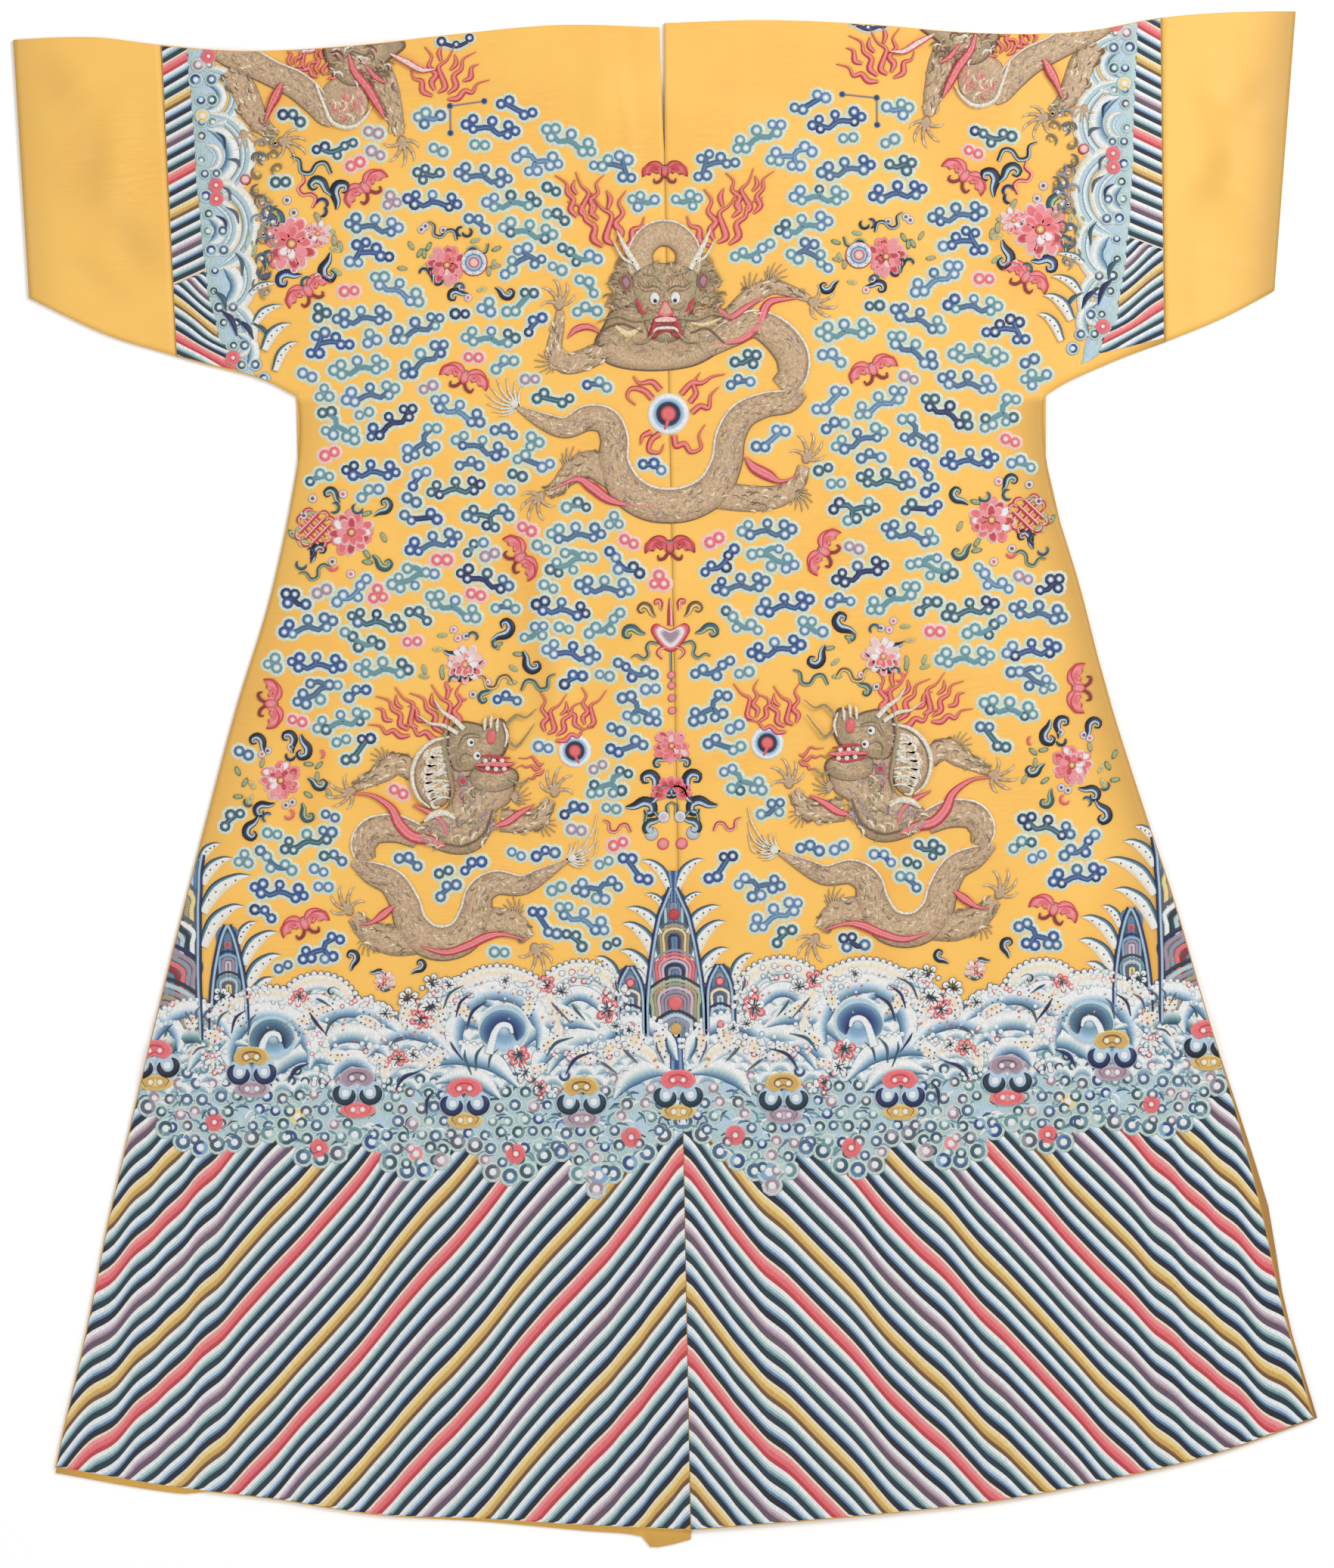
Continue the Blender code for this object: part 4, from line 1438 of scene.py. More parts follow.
def sprig(work, x, y, size, coral, chance):
    """Coral buds or white pearls on dark stalks."""
    with work.at(x, y, 0, size):
        for turn in np.arange(6) * 60 + chance.uniform(0, 60):
            dx, dy = heading(turn)
            reach = chance.uniform(4, 8)
            ribbon(work, [(0, 0, 0.6), (reach * dx, reach * dy, 0.6)], CURL["dark_teal"], 8)
            ink = "coral" if coral and chance.random() < 0.8 else "white"
            shade = "red" if ink == "coral" else "dark_teal"
            core = "pale_pink" if ink == "coral" else "white"
            rings = ((1, shade, SINK), (0.9, shade, 0.9), (0.8, ink, 1.2), (0.5, ink, 1.3), (0.3, core, 1.4))
            disc(work, reach * dx, reach * dy, 3.6, rings, 8)


# ---------------------------------------------------------------- rocks
CENTRE_PANELS = (  # arched panels of the middle rock: peak, half width, foot, inks from outside in
    (613, 11, 575, ("deep_teal", "pale_teal", "slate", "grey")),
    (585, 15.5, 548, ("dark_grey", "olive", "pale_gold", "dark_olive", "navy", "slate")),
    (558, 20, 516, ("grey", "coral", "pink", "pale_mauve", "navy", "grey", "slate")),
    (533, 25, 484, ("dark_teal", "pale_green", "olive", "pale_mauve", "mauve", "grey", "mauve", "grey")),
    (500, 18, 474, ("dark_teal", "pale_blue", "grey", "slate", "navy")),
)
SMALL_PANELS = (
    (542, 10, 518, ("deep_teal", "slate", "grey")),
    (523, 11, 500, ("dark_grey", "cream", "dark_grey", "pale_teal")),
    (506, 11, 478, ("navy", "pale_blue", "slate", "grey")),
)
SEAM_PANELS = (  # of the rock at the side seam
    (672, 34, 620, ("slate", "pale_blue", "mauve", "pale_mauve", "mauve", "grey", "slate")),
    (640, 34, 590, ("dark_grey", "pale_gold", "olive", "navy", "pale_mauve", "grey", "mauve")),
    (606, 34, 560, ("dark_grey", "white", "dark_teal", "pale_teal", "grey", "mauve", "grey")),
    (574, 34, 520, ("navy", "mauve", "grey", "coral", "dark_red", "slate", "grey")),
    (540, 34, 490, ("dark_teal", "pale_teal", "grey", "olive", "mauve", "slate", "navy")),
)
LOW_PANELS = (
    (588, 9, 556, ("slate", "deep_teal", "slate")),
    (565, 11, 534, ("navy", "sky", "mauve", "pale_mauve")),
    (545, 13, 512, ("dark_teal", "teal", "pale_teal", "dark_grey", "pale_gold")),
    (523, 15, 495, ("navy", "pale_blue", "slate", "grey", "teal")),
)
ROCK_EDGE = (
    (1.0, "navy", SINK), (0.8, "navy", 1.9), (0.1, "navy", 1.9), (0.0, "sky", 1.8),
    (-0.5, "pale_blue", 1.8), (-1.0, "deep_teal", 1.5),
)


def rock(work, outline, panels):
    """A standing rock: one arched panel before another. outline is (height, half width) upward."""
    foot, top = outline[0][0], outline[-1][0]
    y = np.linspace(foot, top, 16)
    right = np.stack([along(outline, y), y], axis=1)
    rim = np.concatenate([right, (right * np.array([-1, 1]))[::-1]])
    ground = ((1, "navy", SINK), (0.94, "slate", 0.5), (0.6, "grey", 0.6), (0.3, "slate", 0.6))
    patch(work, rim, ground, (0, (foot + top) / 2))
    for number, (peak, wide, low, inks) in enumerate(panels):
        pitch = wide / (len(inks) - 0.4)
        with work.raised(0.1 + 0.15 * number):
            for step, ink in enumerate(inks):
                x, down = wide - step * pitch, step * pitch
                shoulder = peak - 0.5 * wide - 0.6 * down
                half = pitch * 0.52
                side = [(x, low, half), (x, (low + shoulder) / 2, half), (x, shoulder, half)]
                apex = (0, peak - 1.15 * down, half)
                route = [(-px, py, width) for px, py, width in side] + [apex] + side[::-1]
                bands = ((1, "dark_grey", 0.3), (0.7, ink, 1.0), (-0.7, ink, 1.0), (-1, "dark_grey", 0.3))
                ribbon(work, route, bands, 4)
    edge = [(-along(outline, level), level, 2.6) for level in np.linspace(foot, top, 12)]
    with work.raised(0.6):
        for _ in work.mirrored():
            ribbon(work, edge, ROCK_EDGE, 5)


FIN_BANDS = (
    (1.0, "deep_teal", SINK), (0.92, "navy", 1.0), (0.76, "deep_teal", 1.1), (0.48, "teal", 1.2),
    (0.38, "white", 1.3), (-0.3, "white", 1.2), (-0.6, "cream", 1.1), (-0.88, "cream", 0.9),
    (-1.0, "pale_gold", SINK),
)
CENTRE_FINS = (  # root on a rock's side, reach out and up, half width
    # x, y, out, up, half width
    (3, 616, 27, 28, 5.4),
    (9, 598, 18, 14, 4.0),
    (13, 574, 32, 25, 6.0),
    (17, 548, 33, 36, 7.0),
    (21, 520, 31, 38, 7.4),
    (24, 506, 16, 34, 6.0),
    (54, 524, 22, 28, 6.0),
    (54, 504, 26, 26, 6.0),
)
SIDE_FINS = (  # on the rock at the side seam
    (459, 652, -20, 16, 5.0),
    (458, 630, -30, 24, 6.4),
    (458, 603, -48, 34, 7.6),
    (458, 570, -40, 38, 7.6),
    (424, 572, -18, 20, 5.0),
    (420, 552, -34, 30, 7.0),
    (417, 528, -34, 32, 7.4),
    (416, 504, -26, 34, 7.0),
)
ROCK_DISCS = ((0, 507, 8.0, "coral"), (0, 482, 6.5, "gold"), (0, 592, 6.0, "red"))
SPECK = ((1, "brown", SINK), (0.7, "brown", 0.9))


def fin(work, x, y, out, up, half_width):
    """A feather of foam that springs from a rock's side and bends outward."""
    lean = 1 if out > 0 else -1
    route = [
        (x, y, half_width * 0.7),
        (x + 0.3 * out, y + 0.62 * up, half_width),
        (x + 0.7 * out, y + 0.95 * up, half_width * 0.6),
        (x + out, y + up, 0.4),
    ]
    bands = FIN_BANDS if lean > 0 else tuple((-o, ink, h) for o, ink, h in FIN_BANDS)
    ribbon(work, route, bands, 4)
    with work.raised(0.8):
        for across, along_up in ((0.12, 0.34), (0.26, 0.56), (0.46, 0.76), (0.66, 0.88)):
            disc(work, x + across * out + 0.14 * lean * half_width, y + along_up * up, 1.2, SPECK, 6)


FIN_STEM = (
    (1.0, "navy", SINK), (0.8, "navy", 1.6), (0.5, "sky", 1.7), (0.2, "royal", 1.7), (-0.2, "royal", 1.7),
    (-0.5, "sky", 1.7), (-0.8, "navy", 1.6), (-1.0, "navy", SINK),
)


def centre_rock():
    """The rock on the centre seam, the small rocks beside it and the ruyi head below."""
    work = Needlework("rock_centre", FLOSS)
    with work.at(-5, 0):
        for _ in work.mirrored():
            for place in CENTRE_FINS:
                fin(work, *place)
            with work.at(43, 0):
                rock(work, ((478, 13), (500, 13), (520, 12), (532, 8.5), (543, 2)), SMALL_PANELS)
                with work.raised(1.2):
                    for y, ink in ((527, "red"), (486, "mauve")):
                        disc(work, 0, y, 5, ((1, "dark_red", SINK), (0.8, ink, 1.0), (0.4, "pink", 1.2)), 10)
        ribbon(work, [(0, 440, 8), (0, 470, 7), (0, 484, 9)], FIN_STEM, 6)
        main = ((476, 28), (500, 28), (525, 26), (550, 22.5), (575, 18), (595, 13), (606, 8), (618, 3))
        rock(work, main, CENTRE_PANELS)
        ribbon(work, [(0, 604, 4), (0, 618, 3.5), (0, 634, 7)], FIN_STEM, 5)
        with work.raised(1.4):
            for x, y, radius, ink in ROCK_DISCS:
                disc(work, x, y, radius, ((1, "dark_red", SINK), (0.85, ink, 1.0), (0.4, ink, 1.3)), 12)
    with work.raised(0.8):
        ruyi_head(work, *SEAM_RUYI)
    return work.finish()


def side_rock(side, name):
    """The rocks at a side seam."""
    work = Needlework(name, FLOSS)
    with work.half(side):
        for place in SIDE_FINS:
            fin(work, *place)
        with work.at(497, 0):
            rock(work, ((480, 36), (540, 35), (600, 36), (640, 38), (658, 41)), SEAM_PANELS)
        with work.at(434, 0):
            rock(work, ((490, 18), (520, 17), (545, 14), (565, 10), (580, 6), (590, 1.5)), LOW_PANELS)
            with work.raised(1.2):
                disc(work, 0, 571, 4.5, ((1, "deep_teal", SINK), (0.8, "mauve", 1.0), (0.4, "red", 1.2)), 10)
    return work.finish()


# ---------------------------------------------------------------- clouds
CLOUD_INKS = {
    # tint: halo, dark thread, middle of a head, middle of a stem
    "blue": ("halo", "royal", "blue", "slate"),
    "navy": ("halo", "navy", "slate", "royal"),
    "steel": ("halo", "steel", "sky", "slate"),
    "slate": ("halo", "slate", "pale_blue", "sky"),
    "teal": ("halo", "deep_teal", "teal", "teal"),
    "sea": ("halo", "sea", "pale_teal", "teal"),
    "pale": ("halo", "teal", "pale_teal", "pale_teal"),
    "coral": ("pale_pink", "coral", "pink", "pink"),
    "mauve": ("halo", "mauve", "pale_mauve", "pale_mauve"),
}
HEAD_RINGS = {
    tint: (
        (1.0, "haze", SINK), (0.90, halo, 0.3), (0.66, halo, 0.6), (0.60, dark, 0.9), (0.40, dark, 1.1),
        (0.29, mid, 1.2), (0.15, "white", 1.4),
    )
    for tint, (halo, dark, mid, _) in CLOUD_INKS.items()
}
STEM_BANDS = {
    tint: (
        (1.0, "haze", SINK), (0.85, halo, 0.3), (0.48, halo, 0.6), (0.40, dark, 0.9), (0.10, dark, 1.1),
        (-0.05, mid, 1.1), (-0.20, dark, 1.1), (-0.40, dark, 0.9), (-0.48, halo, 0.6), (-0.85, halo, 0.3),
        (-1.0, "haze", SINK),
    )
    for tint, (halo, dark, _, mid) in CLOUD_INKS.items()
}
CLOUD_STEM = 6.2  # half width of its stem with its halo
CLOUD_HEAD = 9.2  # radius with its halo
HEAD_FREE, STEM_FREE = 6.6, 4.2  # what a cloud's head and stem keep free round their middle
CLOUDS = (  # heads, then stems, in millimetres from a cloud's middle
    (
        ((-24, 5), (-16, 8), (-18, -1), (15, -6), (23, -4), (18, 3), (0, 7)),
        (((-18, 3), (-10, -3), (-2, 0), (5, -1), (11, -4), (17, -4)), ((-2, 0), (0, 7))),
    ),
    (
        ((-19, 9), (-11, 12), (9, -8), (17, -9), (14, -1), (-12, -7), (-4, -9)),
        (((-13, 10), (-5, 6), (-3, 0), (5, -2), (12, -6)), ((-3, 0), (-8, -7))),
    ),
    (
        ((-20, -6), (-12, -9), (-14, 1), (12, 7), (20, 6), (2, -6), (-6, 10)),
        (((-13, -4), (-3, -1), (3, 4), (12, 6)), ((10, 6), (2, 11), (-5, 10))),
    ),
    (
        ((-5, 9), (4, 10), (-14, -6), (-6, -8), (16, -5), (13, 3), (24, -7)),
        (((0, 8), (-3, 2), (-9, -5)), ((-3, 1), (8, 0), (15, -3), (24, -7))),
    ),
    (
        ((-15, 0), (-7, 3), (12, 4), (5, -5), (20, 7)),
        (((-10, 1), (-3, -2), (4, -1), (11, 3)), ((11, 4), (16, 7), (20, 7))),
    ),
    (
        ((-13, 5), (-5, 8), (9, -6), (17, -4)),
        (((-8, 5), (-1, 1), (4, -2), (11, -5)),),
    ),
    (
        ((-8, 4), (0, 6), (-4, -4), (13, 0)),
        (((-1, 2), (6, -2), (13, 0)),),
    ),
    (((-9, 3), (0, 5), (9, -3)), (((-4, 3), (3, 1), (8, -2)),)),
    (((-9, -2), (0, 3), (9, 0)), (((-7, -2), (0, 2), (7, 0)),)),
    (((-4.6, -3), (4.6, -3), (0, 5)), ()),
    (((-4.8, 0), (4.8, 0)), ()),
)
CLOUD_TRIES = (  # which cloud, how many tries, whether the other half mirrors it
    (0, 1500, True),
    (1, 1500, True),
    (2, 1500, True),
    (10, 40, True),
    (3, 2000, True),
    (4, 2500, True),
    (5, 2500, True),
    (10, 40, True),
    (6, 3000, True),
    (7, 3000, True),
    (8, 3000, True),
    (5, 2000, False),
    (5, 2000, False),
    (6, 3000, False),
    (7, 3000, False),
    (8, 3000, False),
    (9, 3000, False),
    (10, 4000, False),
    (10, 4000, False),
)
CLOUD_TINTS = ("steel", "blue", "teal", "steel", "navy", "sea", "teal", "steel", "slate", "blue", "sea")
SMALL_TINTS = ("coral", "pale", "slate", "mauve", "slate", "teal", "coral", "steel", "pale")
FIRST_SMALL = 9  # of the clouds that are doubles and trefoils alone
CLOUDS_SPLIT = 900  # height between the lower and the upper pieces of cloud
CELL = 2.0  # of the raster that keeps clouds apart
RASTER = (700, 1500)  # half width and height of that raster, millimetres
EDGE_FREE = 7  # along the outline that stays free
STITCH_FREE = 2.4  # round other stitching that stays free
NECK_LINE = (  # distance from the seam, height above which the silk stays plain
    (0, 1312), (30, 1325), (60, 1342), (100, 1356), (130, 1378), (160, 1396), (190, 1450),
)
NEAR_TINTS = {  # which other tints the heads of a cloud take up
    "blue": ("steel", "slate", "navy"),
    "navy": ("blue", "steel", "teal"),
    "steel": ("slate", "blue", "sea"),
    "slate": ("steel", "pale", "sea"),
    "teal": ("sea", "steel", "navy"),
    "sea": ("teal", "pale", "slate"),
}


def draw_cloud(work, which, tint, chance):
    """Stems of a cloud, and its round heads over them."""
    heads, stems = CLOUDS[which]
    for stem in stems:
        ribbon(work, [(x, y, CLOUD_STEM) for x, y in stem], STEM_BANDS[tint], 5)
    other = NEAR_TINTS.get(tint, (tint,))
    for number, (x, y) in enumerate(heads):
        if number % 2 == 0:
            own = tint if chance.random() < 0.6 else pick(other, chance)
        disc(work, x, y, CLOUD_HEAD * chance.uniform(0.84, 1.04), HEAD_RINGS[own], 9)


class Raster:
    """Where stitching already lies, or none may."""

    def __init__(self):
        shape = (int(2 * RASTER[0] / CELL), int(RASTER[1] / CELL))
        x, y = np.meshgrid(*(np.arange(n) * CELL + CELL / 2 for n in shape), indexing="ij")
        spots = np.stack([x.ravel() - RASTER[0], y.ravel()], axis=1)
        beyond = np.abs(inside_outline(spots) - spots).max(axis=1) > 0.01
        out = np.abs(spots[:, 0])
        neck_end = NECK_LINE[-1][0]
        plain = (out < neck_end) & (spots[:, 1] > along(NECK_LINE, np.minimum(out, neck_end)))
        seam_x = SLEEVE_POINTS[LEFT][1] / MM
        self.taken = (beyond | plain | (out > seam_x)).reshape(shape)
        self.mark(spots[beyond], EDGE_FREE)

    def cells(self, xy):
        """Rows and columns of the cells that hold points."""
        at = ((np.asarray(xy) + np.array([RASTER[0], 0])) / CELL).astype(int)
        return np.clip(at, 0, np.array(self.taken.shape) - 1).T

    def mark(self, xy, reach):
        """Takes the cells in reach of points."""
        hits = np.zeros_like(self.taken)
        hits[tuple(self.cells(xy))] = True
        steps = range(-int(reach / CELL), int(reach / CELL) + 1)
        for dx in steps:
            for dy in steps:
                if math.hypot(dx, dy) * CELL <= reach:
                    self.taken |= np.roll(hits, (dx, dy), (0, 1))

    def open_cells(self, half, reach):
        """Middles of the cells of one half with nothing in reach, as distances from the seam."""
        near = self.taken.copy()
        for _ in range(int(reach / CELL)):
            spread_out = near.copy()
            for step, axis in ((1, 0), (-1, 0), (1, 1), (-1, 1)):
                spread_out |= np.roll(near, step, axis)
            near = spread_out
        cells = np.argwhere(~near) * CELL + CELL / 2 - np.array([RASTER[0], 0])
        return cells[cells[:, 0] * half > 4] * np.array([half, 1])

    def free(self, xy):
        """Whether every point is in an open cell."""
        return not self.taken[tuple(self.cells(xy))].any()


def cloud_field(raster):
    """Clouds between the other motifs, most of them the same on both sides of the seam."""
    chance = np.random.default_rng(SEEDS["clouds"])
    parts = ("left_low", "left_high", "right_low", "right_high")
    works = [Needlework("clouds_" + part, FLOSS) for part in parts]
    for which, tries, mirrored in CLOUD_TRIES:
        heads, stems = CLOUDS[which]
        bends = [p for stem in stems for p in stem]
        marks = [np.array(heads, float)]
        for centres, reach in ((heads, HEAD_FREE), (bends, STEM_FREE)):
            for x, y in centres:
                marks.append(circle(reach, 8) + np.array([x, y]))
        marks = np.concatenate(marks)
        half = RIGHT if mirrored or chance.random() < 0.5 else LEFT
        open_cells = raster.open_cells(half, HEAD_FREE)
        for x, y in open_cells[chance.permutation(len(open_cells))[:tries]]:
            turn, flip = chance.uniform(-28, 28), chance.random() < 0.5
            tints = CLOUD_TINTS if which < FIRST_SMALL else SMALL_TINTS
            tint = pick(tints, chance)
            spots = marks @ turning(turn, flip).T + np.array([x, y])
            sides = (LEFT, RIGHT) if mirrored else (half,)
            if (spots[:, 0] < 1).any() or not all(raster.free(spots * (side, 1)) for side in sides):
                continue
            for side in sides:
                raster.mark(spots * (side, 1), 1.1 * CELL)
                work = works[(0 if side == LEFT else 2) + (y > CLOUDS_SPLIT)]
                with work.at(side * x, y, side * turn, 1.0, flip != (side == LEFT)):
                    draw_cloud(work, which, tint, chance)
    return [work.finish() for work in works]


# ---------------------------------------------------------------- flames, pearls and bats
FLAME_BANDS = (
    (1.0, "red", SINK), (0.85, "red", 1.2), (0.50, "orange", 1.4), (0.35, "coral", 1.5), (0.0, "pink", 1.6),
    (-0.35, "coral", 1.5), (-0.50, "red", 1.4), (-0.85, "red", 1.2), (-1.0, "red", SINK),
)
TONGUES = (  # routes of the tongues of a fire, whose foot is at the origin and which leans to the right
    ((-2, 2), (4, 8), (0, 18), (-4, 28), (4, 36), (10, 50)),
    ((-6, 4), (-10, 12), (-6, 20), (-14, 28), (-12, 38), (-20, 47)),
    ((8, 2), (15, 10), (12, 20), (19, 28), (20, 38), (32, 46)),
    ((8, -4), (18, -2), (24, 6), (32, 5), (36, 14), (48, 19)),
    ((-8, -2), (-18, 2), (-20, 12), (-28, 14), (-32, 22)),
    ((8, 26), (13, 33), (11, 42)),
    ((-2, 34), (-5, 42), (-3, 50)),
    ((22, 16), (29, 20), (29, 30), (36, 34)),
)


def tapered(route, shares, widths):
    """A route of (x, y) with the half widths that it has at shares of its points."""
    wide = np.interp(np.linspace(0, 1, len(route)), shares, widths)
    return [(x, y, w) for (x, y), w in zip(route, wide)]


def fire(work, x, y, turn=0, size=1.0, flip=False, tongues=range(len(TONGUES))):
    """Tongues of flame that spring from one foot."""
    with work.at(x, y, turn, size, flip):
        for number in tongues:
            route = tapered(TONGUES[number], (0, 0.15, 0.5, 1), (1.6, 3.6, 2.6, 0.4))
            ribbon(work, route, FLAME_BANDS, 2.5)


def streamer(work, route, inks=("red", "pink", "coral")):
    """A flame that clings to a dragon's limb: a red edge round a pale tongue."""
    edge, pale, core = inks
    bands = (
        (1.0, edge, SINK), (0.9, edge, 1.5), (0.6, edge, 1.6), (0.5, pale, 1.7), (0.1, core, 1.8),
        (-0.3, pale, 1.8), (-0.6, edge, 1.6), (-0.9, edge, 1.5), (-1.0, edge, SINK),
    )
    ribbon(work, route, bands, 3)


def pearl(work, x, y, size=1.0):
    """A white jewel with a dark ring and a red heart."""
    rings = (
        (1.0, "white", SINK), (0.97, "white", 1.2), (0.80, "white", 1.3), (0.74, "pale_blue", 1.3),
        (0.62, "sky", 1.3), (0.56, "navy", 1.4), (0.40, "ink", 1.4), (0.34, "red", 1.5),
        (0.22, "coral", 1.6),
    )
    disc(work, x, y, 20 * size, rings, 28)
    tail = [(x, y, 3 * size), (x - 1, y - 8 * size, 2 * size), (x - 4, y - 15 * size, 1)]
    ribbon(work, tail, ((1, "red", 1.4), (0, "coral", 1.7), (-1, "red", 1.4)), 3)


BAT_WING = (
    (0, 3), (5, 10), (12, 11), (18, 8), (23, 1), (23, -6), (19, -3), (15, -4), (12, 0), (8, -3), (5, 0),
    (2, -5),
)


DARK_LINE = ((1, "dark_red", 1.2), (0, "dark_red", 1.8), (-1, "dark_red", 1.2))
RED_LINE = ((1, "red", 1.0), (0, "red", 1.6), (-1, "red", 1.0))


def bat(work, x, y, turn=0, size=1.05, inks=("red", "coral", "pink")):
    """A red bat, the sign of good fortune, with scalloped wings."""
    dark, mid, pale = inks
    with work.at(x, y, turn, size):
        for _ in work.mirrored():
            rings = ((1, dark, SINK), (0.93, dark, 1.0), (0.82, mid, 1.2), (0.55, pale, 1.3), (0.3, mid, 1.4))
            rounded(work, BAT_WING, rings, (10, 3), 2.5)
            strokes(
                work,
                (RED_LINE, 3, (3, 3, 0.8), (12, 7, 1.6), (21, 3, 1.4), (22, -4, 0.4)),
                (DARK_LINE, 3, (1, -4, 1.4), (5, -10, 1.6), (10, -11, 1.4), (11, -7, 0.6)),
            )
        body = ((1, dark, SINK), (0.85, dark, 1.6), (0.7, mid, 1.8), (0.3, pale, 1.9))
        patch(work, circle(4.5, 12) * np.array([1, 1.6]), body)
        for eye in (LEFT, RIGHT):
            disc(work, eye * 1.8, 4, 1.2, ((1, "white", 2.0), (0.5, "ink", 2.1)), 6)


# ---------------------------------------------------------------- dragons
BODY_BANDS = (  # across a dragon's body, from its finned back to its belly
    (-1.0, "cream", SINK), (-0.97, "cream", 1.7), (-0.86, "white", 1.8), (-0.84, "dark_tan", 1.3),
    (-0.62, "tan", 1.8), (0.0, "pale_tan", 2.1), (0.62, "tan", 1.8), (0.90, "dark_tan", 1.5),
    (0.97, "umber", 1.2), (1.0, "umber", SINK),
)
COIL_BANDS = tuple((-offset, ink, height) for offset, ink, height in BODY_BANDS[::-1])
LIMB_BANDS = (
    (-1.0, "dark_tan", SINK), (-0.90, "dark_tan", 1.4), (-0.6, "tan", 1.8), (0.3, "pale_tan", 2.0),
    (0.7, "tan", 1.8), (0.90, "dark_tan", 1.4), (1.0, "umber", SINK),
)
HAIR_BANDS = (
    (1, "dark_tan", SINK), (0.6, "olive", 1.5), (0, "pale_tan", 1.8), (-0.6, "tan", 1.5),
    (-1, "umber", SINK),
)
CREAM_LINE = ((1, "cream", SINK), (0.7, "cream", 1.9), (-0.7, "white", 1.9), (-1, "cream", SINK))
YELLOW_LINE = ((1, "gold", SINK), (0.7, "cream", 1.9), (-0.7, "pale_gold", 1.9), (-1, "gold", SINK))
UMBER_LINE = ((1, "umber", 1.4), (0, "umber", 2.4), (-1, "umber", 1.4))
OLIVE_LINE = ((1, "olive", 1.4), (0, "olive", 2.3), (-1, "umber", 1.4))
TALON = ((1, "umber", 0.8), (0.4, "cream", 1.6), (-0.4, "cream", 1.6), (-1, "umber", 0.8))


def claw(work, x, y, turn, size=1.0):
    """A five-clawed foot that points along its turn, each toe ending in a hooked talon."""
    with work.at(x, y, turn, size):
        pad = ((1, "dark_tan", SINK), (0.9, "dark_tan", 1.6), (0.5, "tan", 2.0))
        patch(work, circle(5.0, 10, 1.2), pad)
        for spread_by, reach in ((-78, 17), (-36, 22), (-4, 25), (28, 23), (74, 17)):
            with work.at(0, 0, spread_by):
                toe = [(2, 0, 2.3), (0.4 * reach, -1.6, 1.7), (0.7 * reach, -0.4, 1.5)]
                ribbon(work, toe, LIMB_BANDS, 3)
                talon = [(0.66 * reach, -0.6, 1.3), (0.85 * reach, 1.0, 1.1), (reach, 4.6, 0.2)]
                ribbon(work, talon, TALON, 2.5)


def hair_fan(work, x, y, turn, reach, count=7, spread_by=70, bands=CREAM_LINE):
    """Strands that fan out from a point."""
    with work.at(x, y, turn):
        for number in range(count):
            angle = math.radians((number / (count - 1) - 0.5) * spread_by)
            c, s = math.cos(angle), math.sin(angle)
            length = reach * (0.72 + 0.28 * math.cos(angle * 2))
            bend = 0.1 * length
            mid = (0.55 * length * c - bend * s, 0.55 * length * s + bend * c, 1.1)
            ribbon(work, [(0, 0, 1.4), mid, (length * c, length * s, 0.3)], bands, 4)


FACE_INKS = ("olive", "pale_tan", "dark_tan", "tan", "pale_tan", "olive", "tan", "tan")
RUFFLE_INKS = ("umber", "dark_olive", "olive", "pale_tan", "dark_tan", "olive", "tan")
COAT_INKS = ("olive", "pale_tan", "dark_tan", "dark_olive", "tan", "cream", "mauve")
PALE_INKS = ("cream", "white", "pale_tan", "cream", "olive")


def ruffle(work, x, y, wide, high, count, seed, lean=0, inks=RUFFLE_INKS, length=1.0):
    """Scatters short curled strokes over an oval, as a dragon's face and mane have."""
    chance = np.random.default_rng(seed)
    for _ in range(count):
        turn, reach = chance.uniform(0, 2 * math.pi), math.sqrt(chance.random())
        at = (x + wide * reach * math.cos(turn), y + high * reach * math.sin(turn))
        flip = chance.random() < 0.5
        with work.at(*at, lean + chance.uniform(-45, 45), length * chance.uniform(0.7, 1.3), flip):
            ink = pick(inks, chance)
            stroke = [(-4, 0, 0.3), (-1, 1.6, 1.1), (3, 1.2, 1.0), (5, -1.6, 0.3)]
            ribbon(work, stroke, line_bands(ink), 3)


def coat(work, route, count, seed, inks=COAT_INKS, reach=0.72, length=0.75):
    """Scatters short strokes over a body or limb, lying along it."""
    chance = np.random.default_rng(seed)
    path = spline(route, 3)
    with work.raised(1.1):
        for _ in range(count):
            number = chance.integers(1, len(path) - 1)
            x, y, wide = path[number]
            if wide < 5:
                continue
            dx, dy = path[number + 1][:2] - path[number - 1][:2]
            run = math.hypot(dx, dy)
            off = chance.uniform(-reach, reach) * wide
            turn = math.degrees(math.atan2(dy, dx)) + chance.uniform(-30, 30)
            size = length * chance.uniform(0.7, 1.3)
            with work.at(x - dy / run * off, y + dx / run * off, turn, size, chance.random() < 0.5):
                ink = pick(inks, chance)
                ribbon(work, [(-3.4, 0, 0.3), (0, 1.2, 1.1), (3.4, 0, 0.3)], line_bands(ink), 3.5)


LIMB_COAT = ("olive", "dark_tan", "dark_olive", "pale_tan", "umber", "cream")


def draw_limbs(work, limbs, seed):
    """Limbs of a dragon, with the strokes that cover them."""
    for number, limb in enumerate(limbs):
        ribbon(work, limb, LIMB_BANDS, 4)
        coat(work, limb, 60, seed + 10 * number, LIMB_COAT, 1.0, 1.0)


